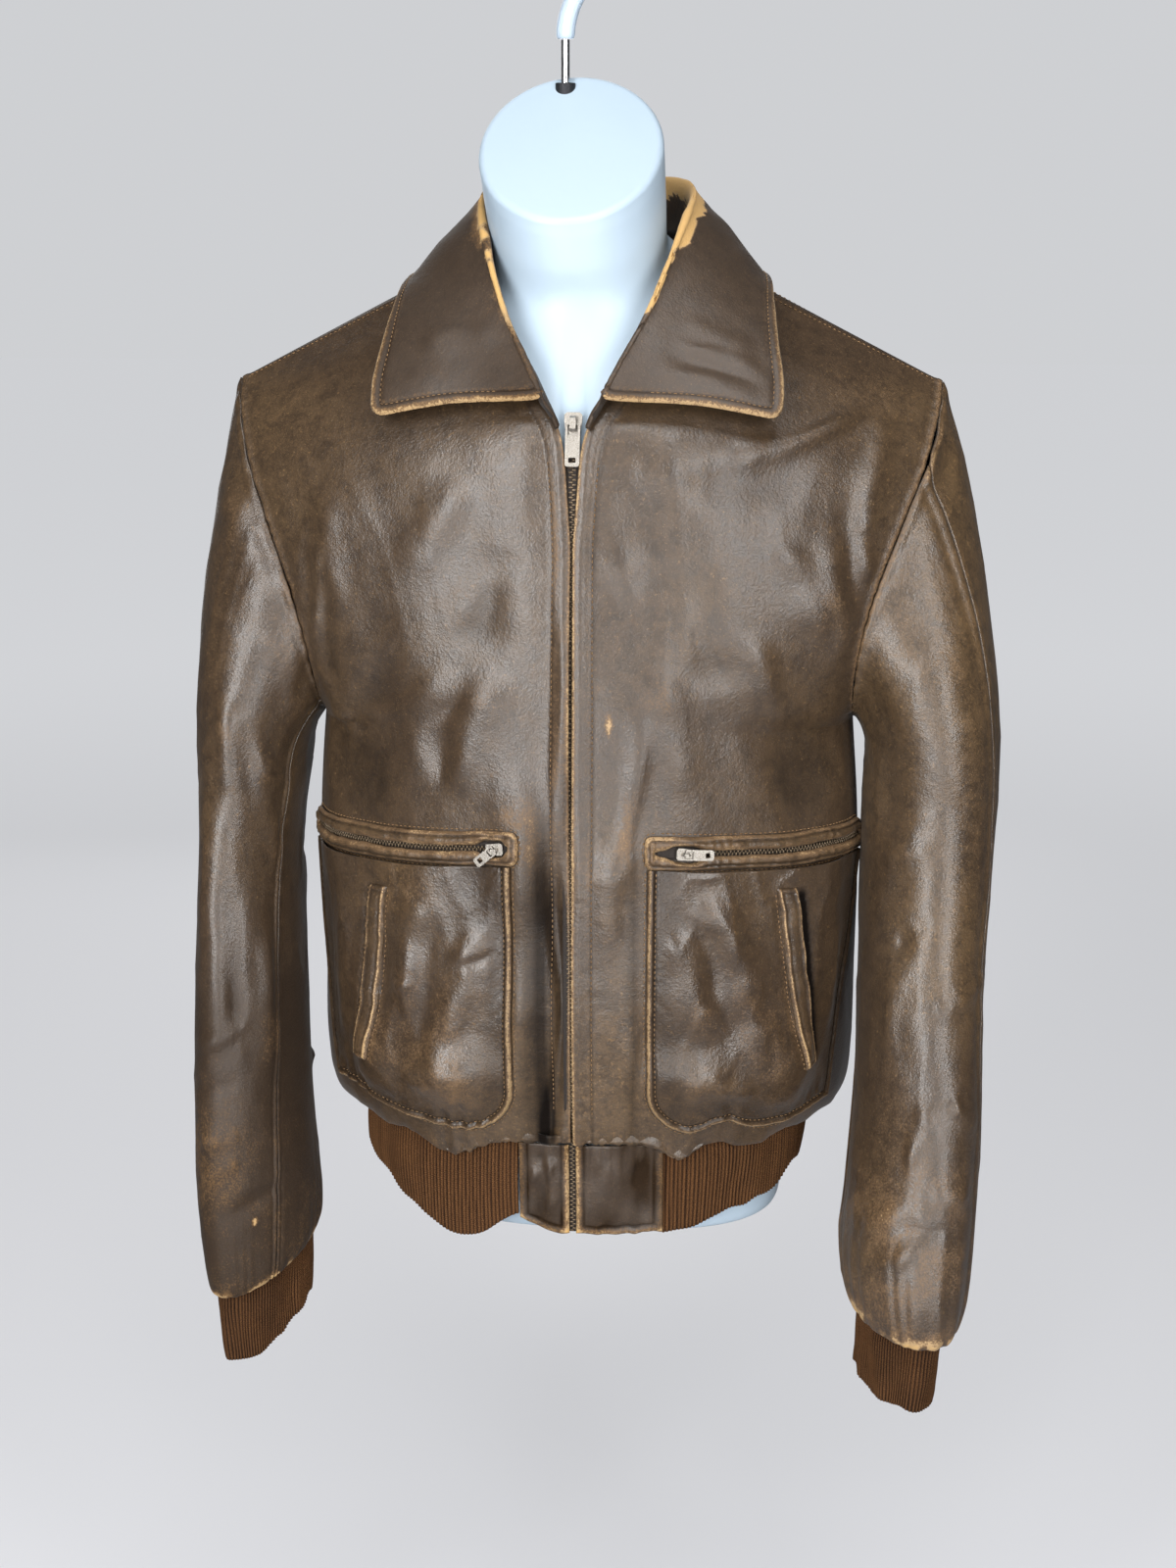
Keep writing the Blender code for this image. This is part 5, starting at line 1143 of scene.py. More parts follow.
def make_sleeves(panels, plain, leather, knit):
    for side_name, (first, second) in SLEEVE_SEAMS.items():
        side = SIDES[side_name]
        for part, start in (("front", first), ("back", second)):
            run = steps((0.35, 5), (9.65, 72), (10.0, 5))
            u = (start + run) % COLUMNS
            u[np.isclose(u, 0)] = 0.0
            points = sleeve_surface(panels, plain, side_name, u, SLEEVE_LEVELS)
            z = points[..., 2]
            off_seam = np.minimum(run, 10 - run)[None] * COLUMN_WIDTH
            lift = sleeve_lift(side_name, points, u, SLEEVE_LEVELS, off_seam)
            points, normals = raised(points, lift, side)
            inset(points, (EVERY, 0), (EVERY, 1), 2 * SEAM_GAP)
            inset(points, (EVERY, -1), (EVERY, -2), 2 * SEAM_GAP)
            masks = sleeve_masks(side_name, points, z, u, lift, off_seam)
            name = f"sleeve_{side_name}_{part}"
            grid = dict(points=points, normals=normals, flip=side < 0, **masks)
            cloth(f"{name}_leather", name, [grid], LEATHER, leather, "leather")
        make_cuff(side_name, plain, knit)


RIB_PITCH = 0.0028
CUFF_RIBS = 76


def rib_profile(around, drift):
    """Height of the knit's ribs and how deep in the grooves, by distance round; the depth is used for painted
    shade.
    """
    wave = np.cos(2 * math.pi * around / RIB_PITCH + drift)
    return 0.00060 * wave, ease((-wave + 0.30) / 1.1)


def make_cuff(side_name, plain, knit):
    side = SIDES[side_name]
    count = 4 * CUFF_RIBS
    u = np.arange(count) / count * COLUMNS
    level = steps((1, 6), (3, 18))
    angles = column_angles(plain, side_name, u)
    rings = smooth(np.array(CUFF_RINGS[side_name], float), level)
    points = ring_points(rings, angles, side)
    normals = side * normals_of(points, wrap=True)
    phase = np.arange(count)[None] / 4 * RIB_PITCH
    z = points[..., 2]
    ribs, groove = rib_profile(phase + 0 * z, 0.5 * noise(u[None] / 2, z / 0.02, 0, 81, 2))
    drawn = ease((level[:, None] - 0.9) / 0.5)
    sag = 0.0012 * noise(u[None] * 0.9, z / 0.03, 2, 82 + side, 2) * drawn
    points = points + normals * (ribs + sag)[..., None]
    points[..., 2] += 0.0022 * noise(u[None] * 0.7, 0, 4, 84 + side, 2) * ease(level[:, None] - 2)
    normals = side * normals_of(points, wrap=True)
    # Painted shade in the grooves between the ribs, and the whole cuff a little darker.
    grid = dict(points=points, normals=normals, painted_shade=groove * 0.85 + 0.22, flip=side < 0)
    grid["cloth"] = np.stack([phase + 0 * z, z, 0 * z], axis=-1)
    cloth(f"cuff_{side_name}_knit", f"cuff_{side_name}", [grid], RIB, knit, "rib_knit", wrap=True)


# ---------------------------------------------------------------- collar
Station = namedtuple("Station", "neck_x neck_y neck_z fold_x fold_y fold_z edge_x edge_y edge_z")
COLLAR_STATIONS = (
    Station(0.0085, -0.1155, 0.5307, 0.0205, -0.1175, 0.5530, 0.1290, -0.0975, 0.5350),
    Station(0.0200, -0.1000, 0.5497, 0.0300, -0.1080, 0.5720, 0.1295, -0.0850, 0.5560),
    Station(0.0350, -0.0820, 0.5697, 0.0440, -0.0900, 0.5980, 0.1255, -0.0660, 0.5810),
    Station(0.0500, -0.0635, 0.5912, 0.0560, -0.0680, 0.6280, 0.1220, -0.0330, 0.6050),
    Station(0.0690, -0.0310, 0.6200, 0.0660, -0.0330, 0.6570, 0.1195, 0.0020, 0.6160),
    Station(0.0780, -0.0040, 0.6329, 0.0690, 0.0020, 0.6720, 0.1110, 0.0400, 0.6170),
    Station(0.0680, 0.0260, 0.6440, 0.0610, 0.0360, 0.6790, 0.0850, 0.0780, 0.6150),
    Station(0.0420, 0.0500, 0.6467, 0.0380, 0.0590, 0.6820, 0.0450, 0.1010, 0.6130),
    Station(0.0000, 0.0650, 0.6477, 0.0000, 0.0700, 0.6820, 0.0000, 0.1090, 0.6120),
)
COLLAR_TIP = 0.010
COLLAR_STITCH = 0.0060
# Metres per step of the stations and of the sections at the tip, where its corner is rounded.
TIP_STATION, TIP_SECTION = 0.0245, 0.0560
COLLAR_CREASES = {
    "left": (
        Crease("", 0.020, 0.012, 0.024, 0.070, 0.0060, 0.0010, 0.05),
        Crease("", 0.034, 0.030, 0.060, 0.082, 0.0110, 0.0024, 0.05),
        Crease("", 0.060, 0.020, 0.110, 0.070, 0.0140, -0.0014, 0.06),
    ),
    "right": (
        Crease("", 0.014, 0.008, 0.022, 0.085, 0.0040, 0.0020, 0.03),
        Crease("", 0.021, 0.010, 0.036, 0.080, 0.0035, -0.0016, 0.04),
        Crease("", 0.030, 0.009, 0.044, 0.072, 0.0045, 0.0020, 0.05),
        Crease("", 0.040, 0.010, 0.060, 0.066, 0.0050, 0.0016, 0.05),
        Crease("", 0.060, 0.016, 0.120, 0.060, 0.0150, 0.0016, 0.06),
    ),
}


def collar_section(station):
    """Middle line of the collar from the neckline up the stand, over the fold and down the fall."""
    neck, fold, edge = station[0:3], station[3:6], station[6:9]
    over = edge - fold
    over[2] = 0.0
    over = unit(over)
    up = np.array([0.0, 0.0, 1.0])
    inside = fold - 0.0032 * over - 0.0070 * up
    outside = fold + 0.0042 * over - 0.0045 * up
    middle = (outside + edge) / 2 + 0.0030 * up + 0.0015 * over
    return np.array([neck, (neck + inside) / 2 - 0.001 * over, inside, fold, outside, middle, edge])


def runs_along(points, axis):
    """Distance from the first line of a grid along its other lines."""
    lengths = np.linalg.norm(np.diff(points, axis=axis), axis=-1)
    zero = np.zeros_like(np.take(lengths, [0], axis))
    return np.cumsum(np.concatenate([zero, lengths], axis), axis)


def round_corner(a, b, radius):
    """Distances (a, b) from two edges that meet in a square corner, moved so that the corner is round."""
    p, q = np.maximum(radius - a, 0), np.maximum(radius - b, 0)
    scale = np.maximum(p, q) / np.maximum(np.hypot(p, q), 1e-9)
    scale = np.where((p > 0) & (q > 0), scale, 1.0)
    return np.where(p > 0, radius - p * scale, a), np.where(q > 0, radius - q * scale, b)


def collar_half(side_name):
    side = SIDES[side_name]
    along = steps((0.10, 6), (1.0, 18), (4.0, 42), (8.0, 48))
    across = steps((2.4, 12), (3.6, 16), (5.86, 30), (6.0, 6))
    stations = smooth(np.array(COLLAR_STATIONS, float), steps((8, 40)))
    sections = np.stack([collar_section(station) for station in stations])
    t, w = np.meshgrid(along, across, indexing="ij")
    # Round the tip in distances from the front edge and the outer edge.
    a, b = round_corner(t * TIP_STATION, (6 - w) * TIP_SECTION, COLLAR_TIP)
    t, w = a / TIP_STATION, 6 - b / TIP_SECTION
    rows = smooth(sections, t.ravel() * 5)
    points = np.stack([smooth(row, [w_at])[0] for row, w_at in zip(rows, w.ravel())])
    points = points.reshape(*t.shape, 3) * np.array([side, 1, 1])
    off_front = runs_along(points, 0)
    off_edge = runs_along(points[:, ::-1], 1)[:, ::-1]
    fall = ease((across[None] - 3.1) / 0.5)
    fold = near(across[None] - 3.0, 0.45)
    off = np.minimum(off_front, off_edge)
    seed = 90 + side
    lift = 0.0010 * noise(off_front / 0.045, off_edge / 0.035, 0, seed, 2) * ease(off / 0.012)
    lift = lift + 0.00016 * noise(off_front / 0.008, off_edge / 0.008, 5, seed + 3, 2)
    for k, crease in enumerate(COLLAR_CREASES[side_name]):
        lift = lift + crease_height(crease, off_front, off_edge, seed + k) * fall
    lift = lift + (0.0008 * near(off - 0.0026, 0.0022) - 0.0007 * near(off - 0.0060, 0.0012)) * fall
    lift = lift - 0.0011 * near(off, 0.0011)
    lift = lift + pucker(off_front + off_edge, off - 0.0085, 0.0078, 0.00030, 0.004, seed + 7) * fall
    points, normals = raised(points, lift, side)
    normals[-1, :, 0] = 0.0
    normals = unit(normals)
    points[-1, :, 0] = 0.0
    patchy = noise(off_front / 0.018, off_edge / 0.012, 3, 7, 4, 0.6)
    wear = (1.05 * near(off - 0.0010, 0.0018) + 0.34 * near(off - 0.0078, 0.0016)) * fall + 0.30 * fold
    if side_name == "right":
        flaked = ease((t - 1.4) / 1.6) * ease((8.3 - t) / 2) * near(w - 2.4, 1.0)
        flaked = flaked + 1.2 * near(t - 5.0, 1.7) * near(w - 3.4, 0.70)
        wear = wear + 1.6 * ease((flaked * (1 + 0.85 * patchy) - 0.38) / 0.16)
    else:
        flaked = ease((t - 1.0) / 1.5) * ease((7.5 - t) / 2.5) * near(w - 3.0, 0.6)
        flaked = flaked + 1.0 * near(t - 4.6, 2.0) * near(w - 3.4, 0.7)
        wear = wear + 1.05 * flaked * ease(patchy + 0.70)
    tone = (-0.10 if side_name == "right" else -0.30) + 0.12 * noise(off_front / 0.06, off_edge / 0.05, 1, 4, 2)
    # Painted shade along the stitch groove of the collar's fall.
    painted_shade = 0.65 * near(off - 0.0060, 0.0011) * fall
    outside = dict(points=points + normals * COLLAR / 2, normals=normals, flip=side < 0)
    return dict(outside, wear=wear, tone=tone, painted_shade=painted_shade, off_front=off_front, off_edge=off_edge)


def make_collar(leather):
    """The collar, both halves in one piece; returns the lines of its topstitching."""
    grids = [collar_half(side_name) for side_name in SIDES]
    # Bring the halves together at the centre back, gradually.
    mirror = np.array([-1, 1, 1])
    left, right = (grid["points"] for grid in grids)
    apart = (right[-1] * mirror - left[-1]) / 2
    fade = ease(1 - runs_along(left[::-1], 0)[::-1] / 0.035)[..., None]
    left += fade * apart
    right -= fade * apart * mirror
    together = unit(grids[0]["normals"][-1] + grids[1]["normals"][-1] * mirror)
    grids[0]["normals"][-1], grids[1]["normals"][-1] = together, together * mirror
    cloth("collar_leather", "collar", grids, COLLAR, leather, "leather")
    lines = []
    for grid in grids:
        inner = np.argmin(np.abs(grid["off_front"][:, -20] - COLLAR_STITCH))
        place = np.abs(grid["off_edge"][inner:] - COLLAR_STITCH).argmin(axis=1)
        rows = np.arange(inner, inner + len(place))
        down = np.arange(39, place[0])
        i = np.concatenate([np.full_like(down, inner), rows])
        j = np.concatenate([down, place])
        lines.append((grid["points"][i, j], grid["normals"][i, j]))
    return lines


# ---------------------------------------------------------------- waistband
RIB_TOP = 0.070
RIB_BOTTOM = -0.006
RIB_FRONT_Y = -0.1190
RIB_BACK_Y = 0.1095
RIB_HALF_WIDTH = 0.1545
RIB_SIDE_RISE = 0.030
TAB_BOTTOM = -0.008
TAB_TOP = 0.0575
TAB_Y = -0.1205
TAB_WIDTH = {"left": 0.036, "right": 0.060}
TAB_INNER = 0.0022
TAB_CREASES = {
    "left": (
        Crease("", 0.024, 0.000, 0.021, 0.056, 0.0040, -0.0016, 0.05),
        Crease("", 0.014, 0.004, 0.012, 0.050, 0.0035, 0.0010, -0.05),
        Crease("", 0.008, 0.048, 0.030, 0.024, 0.0035, 0.0010, 0.08),
    ),
    "right": (
        Crease("", 0.022, 0.002, 0.026, 0.050, 0.0045, 0.0010, 0.06),
        Crease("", 0.050, 0.004, 0.046, 0.052, 0.0050, -0.0010, 0.06),
    ),
}


def waist_y(x):
    """The waistband's front at distance x from the zip."""
    half_depth = (RIB_BACK_Y - RIB_FRONT_Y) / 2
    return RIB_FRONT_Y + half_depth * (1 - np.sqrt(1 - (x / RIB_HALF_WIDTH) ** 2))


def rib_surface():
    """The waist rib as (distance round, points), before its ribs are drawn."""
    start = math.asin((TAB_WIDTH["right"] + SEAM_GAP) / RIB_HALF_WIDTH)
    end = 2 * math.pi - math.asin((TAB_WIDTH["left"] + SEAM_GAP) / RIB_HALF_WIDTH)
    angles = np.linspace(start, end, 1045)
    level = steps((0.12, 4), (1.0, 18))[:, None]
    half_depth = (RIB_BACK_Y - RIB_FRONT_Y) / 2
    side_rise = RIB_SIDE_RISE * ease((1 - np.cos(angles)) / 1.1)
    swell = 1 + 0.012 * np.sin(math.pi * level)
    x = RIB_HALF_WIDTH * swell * np.sin(angles)
    y = (RIB_FRONT_Y + RIB_BACK_Y) / 2 - half_depth * swell * np.cos(angles)
    dip = (0.010 * near(x + 0.080, 0.030) - 0.012 * near(x + 0.036, 0.020)) * (1 - level) * (y < 0)
    z = RIB_BOTTOM + (RIB_TOP - RIB_BOTTOM) * level + side_rise * (1 - level) - dip
    around = runs_along(np.stack([x[-1], y[-1], 0 * x[-1]], axis=-1)[None], 1)[0]
    return around, level, np.stack([x, y, z], axis=-1)


def make_waist_rib(knit):
    around, level, points = rib_surface()
    normals = normals_of(points)
    z = points[..., 2]
    ribs, groove = rib_profile(around[None] + 0 * z, 0.6 * noise(around[None] / 0.03, level * 2, 0, 85, 2))
    buckle = 0.0018 * noise(around[None] / 0.030, level * 1.2, 3, 86, 2) * ease((1 - level) / 0.5)
    edge = 0.0028 * noise(around / 0.022, 0, 5, 87, 2) - 0.0012
    points = points + normals * (ribs + buckle)[..., None]
    points[..., 2] += edge * ease(1 - level * 1.6)
    normals = normals_of(points)
    # Painted shade in the grooves between the ribs.
    grid = dict(points=points, normals=normals, painted_shade=groove * 0.95)
    grid["cloth"] = np.stack([around[None] + 0 * z, z, 0 * z], axis=-1)
    cloth("waist_rib_knit", "waist_rib", [grid], RIB, knit, "rib_knit")


def make_hem_tabs(leather):
    for side_name, side in SIDES.items():
        width = TAB_WIDTH[side_name]
        x = steps((0.16, 10), (0.9, 24), (1.0, 5)) * (width - TAB_INNER) + TAB_INNER
        level = steps((0.12, 8), (0.9, 28), (1.0, 4))
        across, rise = np.meshgrid(x, level)
        height = TAB_BOTTOM + (TAB_TOP - TAB_BOTTOM) * rise
        if side_name == "left":
            height = height + 0.009 * ease((across - 0.004) / 0.036) * (1 - rise)
        height = height + 0.0007 * noise(across / 0.006, 0, 0, 99 + side, 2) * (1 - rise)
        depth = waist_y(across) + TAB_Y - RIB_FRONT_Y - 0.004 * rise**2
        points = np.stack([side * across, depth, height], axis=-1)
        off_zip, off_bottom, off_rib = across - TAB_INNER, height - height[0], width - across
        off = np.minimum(np.minimum(off_zip, off_bottom), off_rib)
        lift = 0.0010 * noise(across / 0.013, height / 0.024, 0, 95 + side, 2) * ease(off / 0.006)
        for k, crease in enumerate(TAB_CREASES[side_name]):
            lift = lift + 2.0 * crease_height(crease, across, height, 96 + k) * ease(off / 0.004)
        lift = lift + 0.0007 * near(off - 0.0026, 0.0020) - 0.0006 * near(off - 0.0054, 0.0011)
        lift = lift - 0.0009 * near(np.minimum(off_zip, off_bottom), 0.0010)
        lift = lift + pucker(across, 0 * across, 0.0085, 0.0007, 1.0, 98 + side) * ease((rise - 0.45) / 0.4)
        points, normals = raised(points, lift, side)
        wear = 0.85 * near(off_zip - 0.001, 0.0026) + 0.75 * near(off_bottom - 0.001, 0.0026)
        wear = wear + 0.45 * near(off_rib - 0.001, 0.0024) + 0.10
        tone = -0.24 + 0.30 * noise(across / 0.02, height / 0.03, 1, 4, 2)
        # Painted shade along the stitch groove and in the tab's valleys.
        painted_shade = 0.5 * near(off - 0.0054, 0.0010) + 0.4 * ease(-lift / 0.0012)
        grid = dict(points=points, normals=normals, wear=wear, tone=tone, painted_shade=painted_shade, flip=side < 0)
        cloth(f"hem_tab_{side_name}_leather", f"hem_tab_{side_name}", [grid], LEATHER, leather, "leather")


# ---------------------------------------------------------------- pockets and welts
POCKET_INNER = {"left": 0.035, "right": 0.047}
POCKET_OUTER_TOP = 0.226
POCKET_OUTER_BOTTOM = 0.190
POCKET_TOP = 0.2550
POCKET_BOTTOM = 0.066
POCKET_CORNER = 0.036
POCKET_SCALLOPS = {"left": ((0.175, 0.050, 0.0130),), "right": ((0.100, 0.015, 0.0085), (0.190, 0.026, 0.0060))}
POCKET_LIFT = 0.0028
WELT_INNER = {"left": 0.030, "right": 0.045}
WELT_OUTER = 0.229
WELT_HEIGHT = 0.267
WELT_HALF = 0.0115
SLOT_HALF = 0.0018
SLIDER_SLOT_HALF = 0.0056
WELT_LIFTS = (0.0026, 0.0042, 0.0036)
HAND_WELT = {"left": ((0.131, 0.238), (0.146, 0.108)), "right": ((0.142, 0.242), (0.162, 0.106))}
HAND_WELT_WIDTH = 0.015
POCKET_SLIDER_PLACE = {"left": 0.0455, "right": 0.0710}
POCKET_BAND = 0.0056
POCKET_CREASE_GAIN = 1.3
# Some of these places were looked up with a program and then moved; the rest are given one by one.
POCKET_CREASES = {
    "left": (
        Crease("", 0.098, 0.236, 0.103, 0.140, 0.0075, 0.0026, 0.04),
        Crease("", 0.085, 0.226, 0.092, 0.120, 0.0060, -0.0018, 0.04),
        Crease("", 0.052, 0.222, 0.074, 0.126, 0.0070, 0.0022, 0.05),
        Crease("", 0.044, 0.236, 0.052, 0.160, 0.0050, 0.0012, 0.03),
        Crease("", 0.118, 0.172, 0.100, 0.171, 0.0022, 0.0010, 0.05),
        Crease("", 0.076, 0.184, 0.042, 0.200, 0.0022, -0.0009, 0.04),
        Crease("", 0.128, 0.225, 0.124, 0.130, 0.0060, -0.0016, 0.0),
        Crease("", 0.160, 0.230, 0.172, 0.110, 0.0090, 0.0022, 0.05),
        Crease("", 0.060, 0.112, 0.110, 0.098, 0.0080, 0.0018, 0.06),
    ),
    "right": (
        Crease("", 0.054, 0.218, 0.086, 0.130, 0.0070, 0.0022, 0.05),
        Crease("", 0.080, 0.244, 0.120, 0.150, 0.0100, 0.0024, 0.05),
        Crease("", 0.066, 0.244, 0.100, 0.150, 0.0070, -0.0016, 0.04),
        Crease("", 0.100, 0.190, 0.130, 0.112, 0.0090, 0.0020, 0.05),
        Crease("", 0.190, 0.220, 0.180, 0.120, 0.0090, 0.0022, 0.05),
        Crease("", 0.064, 0.110, 0.120, 0.095, 0.0080, 0.0018, 0.06),
    ),
}


def pocket_outer(h):
    rise = (h - POCKET_BOTTOM) / (POCKET_TOP - POCKET_BOTTOM)
    return POCKET_OUTER_BOTTOM + (POCKET_OUTER_TOP - POCKET_OUTER_BOTTOM) * rise


def pocket_bottom(side_name, s):
    """Height of the pocket's lower edge, which the hem's gathers pull up in places."""
    scallops = POCKET_SCALLOPS[side_name]
    return POCKET_BOTTOM + sum(rise * near(s - place, reach) for place, reach, rise in scallops)


def pocket_edge(side_name, s, h):
    """Distance in from the pocket's open outline: its inner edge, rounded corner, bottom and outer edge."""
    inner = POCKET_INNER[side_name]
    above = h - pocket_bottom(side_name, s)
    p, q = POCKET_CORNER - (s - inner), POCKET_CORNER - above
    corner = np.where((p > 0) & (q > 0), POCKET_CORNER - np.hypot(p, q), 1.0)
    plain = np.minimum(np.minimum(s - inner, above), (pocket_outer(h) - s) * 0.98)
    return np.where(corner < 1.0, np.minimum(corner, (pocket_outer(h) - s) * 0.98), plain)


def hand_welt_place(side_name, s, h):
    """Share along the hand welt's line from its foot, metres across it outwards, and 1 beside the welt."""
    top, bottom = HAND_WELT[side_name]
    along, across, _ = beside_line(bottom, top, s, h)
    return along, across, ease(along / 0.04 + 0.5) * ease((1 - along) / 0.04 + 0.5)


def pocket_lift(side_name, s, h):
    """How far the pocket's face stands off the draped front."""
    off = pocket_edge(side_name, s, h)
    seed = 110 if side_name == "left" else 120
    inside = ease((off - POCKET_BAND) / 0.016)
    lift = POCKET_LIFT + 0.0052 * ease((off - POCKET_BAND) / 0.050)
    lift = lift + 0.0016 * inside * noise(s / 0.034, h / 0.110, 0, seed, 2)
    lift = lift + 0.0009 * inside * ((1 - np.abs(noise(s / 0.022, h / 0.045, 3, seed + 1, 2))) ** 3 - 0.3)
    lift = lift + 0.00012 * noise(s / 0.009, h / 0.013, 7, seed + 2, 2)
    for k, crease in enumerate(POCKET_CREASES[side_name]):
        lift = lift + POCKET_CREASE_GAIN * CREASE_GAIN * crease_height(crease, s, h, seed + k) * inside
    lift = lift + 0.0010 * near(off - 0.0030, 0.0020) - 0.0010 * near(off - POCKET_BAND, 0.0012)
    lift = lift - 0.0014 * near(off, 0.0011)
    turned = s + h
    lift = lift + pucker(turned, off - 0.0085, 0.0072, 0.00034, 0.0042, seed + 3)
    lower = near(h - pocket_bottom(side_name, s) - 0.006, 0.012)
    lift = lift + lower * pucker(s, 0 * s, 0.015, 0.0009, 1.0, seed + 4)
    _, across, beside = hand_welt_place(side_name, s, h)
    outer_off = np.abs(across) - HAND_WELT_WIDTH / 2
    lift = lift - 0.0009 * near(outer_off - 0.0016, 0.0014) * beside
    lift = lift + pucker(h, outer_off - 0.0050, 0.0066, 0.00034, 0.0032, seed + 6) * beside
    return lift


def hand_opening(side_name, along, across):
    """1 in the slot beside the hand welt, which gapes on its outer edge."""
    wide = 0.0030 if side_name == "right" else 0.0014
    outside = across - HAND_WELT_WIDTH / 2 - wide
    return near(outside, wide) * ease(along / 0.06) * ease((1 - along) / 0.06)


def make_pocket(panel, side_name, leather):
    side = SIDES[side_name]
    across = steps((0.09, 18), (0.93, 66), (1.0, 14))
    up = steps((0.09, 16), (0.95, 62), (1.0, 10))
    inner = POCKET_INNER[side_name]
    v, u = np.meshgrid(up, across, indexing="ij")
    level = POCKET_BOTTOM + (POCKET_TOP - POCKET_BOTTOM) * v
    s = inner + (pocket_outer(level) - inner) * u
    into_corner = np.clip(POCKET_CORNER - (s - inner), 0, POCKET_CORNER)
    bottom = pocket_bottom(side_name, s) + POCKET_CORNER - np.sqrt(POCKET_CORNER**2 - into_corner**2)
    h = bottom + (POCKET_TOP - bottom) * v
    s = inner + (pocket_outer(h) - inner) * u
    off = pocket_edge(side_name, s, h)
    lift = pocket_lift(side_name, s, h)
    along, offset, beside = hand_welt_place(side_name, s, h)
    slot = hand_opening(side_name, along, offset)
    lift = lift - 0.0014 * slot
    points, _ = panel.on(s, h, lift)
    normals = side * normals_of(points)
    rough = lift - POCKET_LIFT - 0.0034
    wear = 1.0 * near(off - 0.0016, 0.0014)
    wear = wear + 0.26 * ease(rough / 0.0030) * ease(noise(s / 0.03, h / 0.03, 0, 3, 2) + 0.5)
    wear = wear + 0.22 * near(h - POCKET_BOTTOM - 0.016, 0.026)
    wear = wear + 0.10 * near(s - 0.07, 0.05) * near(h - 0.12, 0.05)
    tone = 0.24 + 0.2 * noise(s / 0.06, h / 0.08, 1, 4, 2) + 0.15 * ease((0.16 - h) / 0.08)
    # Painted shade along the stitch groove inside the band, in the pocket's valleys and, darkest, in the slot
    # beside the hand welt.
    painted_shade = 0.55 * near(off - POCKET_BAND, 0.0010) + 0.35 * ease(-rough / 0.003)
    painted_shade = painted_shade + (1.6 if side_name == "right" else 0.7) * slot
    wear = wear + 0.28 * near(np.abs(offset) - HAND_WELT_WIDTH / 2 - 0.0030, 0.0016) * beside
    cloth_place = np.stack([s, h, 0 * s], axis=-1)
    outside = dict(points=points, normals=normals, flip=side < 0)
    grid = dict(outside, wear=wear, tone=tone, painted_shade=painted_shade, cloth=cloth_place)
    cloth(f"pocket_{side_name}_leather", f"pocket_{side_name}", [grid], LEATHER, leather, "leather")


def make_hand_welt(panel, side_name, leather):
    side = SIDES[side_name]
    top, bottom = HAND_WELT[side_name]
    lengthways, crossways = steps((0.04, 6), (0.96, 60), (1.0, 6)), steps((0.18, 6), (0.82, 10), (1.0, 6))
    line, across = np.meshgrid(lengthways, crossways, indexing="ij")
    length = math.hypot(top[0] - bottom[0], top[1] - bottom[1])
    ripple = 0.0005 * noise(line * 9, 0, 0, 131 + side, 2)
    s = bottom[0] + (top[0] - bottom[0]) * line + HAND_WELT_WIDTH * (across - 0.5) + ripple
    h = bottom[1] + (top[1] - bottom[1]) * line
    off_side = np.minimum(across, 1 - across) * HAND_WELT_WIDTH
    off = np.minimum(off_side, np.minimum(line, 1 - line) * length)
    lift = 0.0012 + 0.0012 * np.sin(math.pi * across) - 0.0013 * near(off, 0.0010)
    lift = lift + 0.0004 * near(off - 0.0022, 0.0014) - 0.0005 * near(off - 0.0040, 0.0009)
    lift = lift + pucker(line * length, off - 0.006, 0.0075, 0.0003, 0.005, 132 + side)
    lift = lift + 0.0004 * noise(line * 6, across * 2, 2, 134 + side, 2)
    outer_lip = ease((across - 0.55) / 0.4) * np.sin(math.pi * np.clip(line, 0, 1)) ** 0.5
    lift = lift + (0.0012 if side_name == "right" else 0.0006) * outer_lip
    points, _ = panel.on(s, h, pocket_lift(side_name, s, h) + lift)
    normals = side * normals_of(points)
    wear = 0.70 * near(off_side - 0.0019, 0.0008) + 0.20 * near(off - 0.0018, 0.0010)
    wear = wear + 0.06 + 0.35 * near(line, 0.22)
    tone = 0.4 + 0.2 * noise(line * 5, across, 1, 4, 2)
    # Painted shade along the stitch groove and along the welt's outer edge, where the slot is.
    painted_shade = 0.5 * near(off - 0.0040, 0.0008) + (1.0 if side_name == "right" else 0.4) * near(1 - across, 0.07)
    grid = dict(points=points, normals=normals, wear=wear, tone=tone, painted_shade=painted_shade, flip=side < 0)
    cloth(f"hand_welt_{side_name}_leather", f"hand_welt_{side_name}", [grid], LEATHER * 0.9, leather, "leather")


def slot_half(around, side_name):
    """Half the height of a chest welt's slot, wider where the slider parts the lips."""
    parted = np.exp(-(((around - POCKET_SLIDER_PLACE[side_name]) / 0.011) ** 4))
    return SLOT_HALF + (SLIDER_SLOT_HALF - SLOT_HALF) * parted


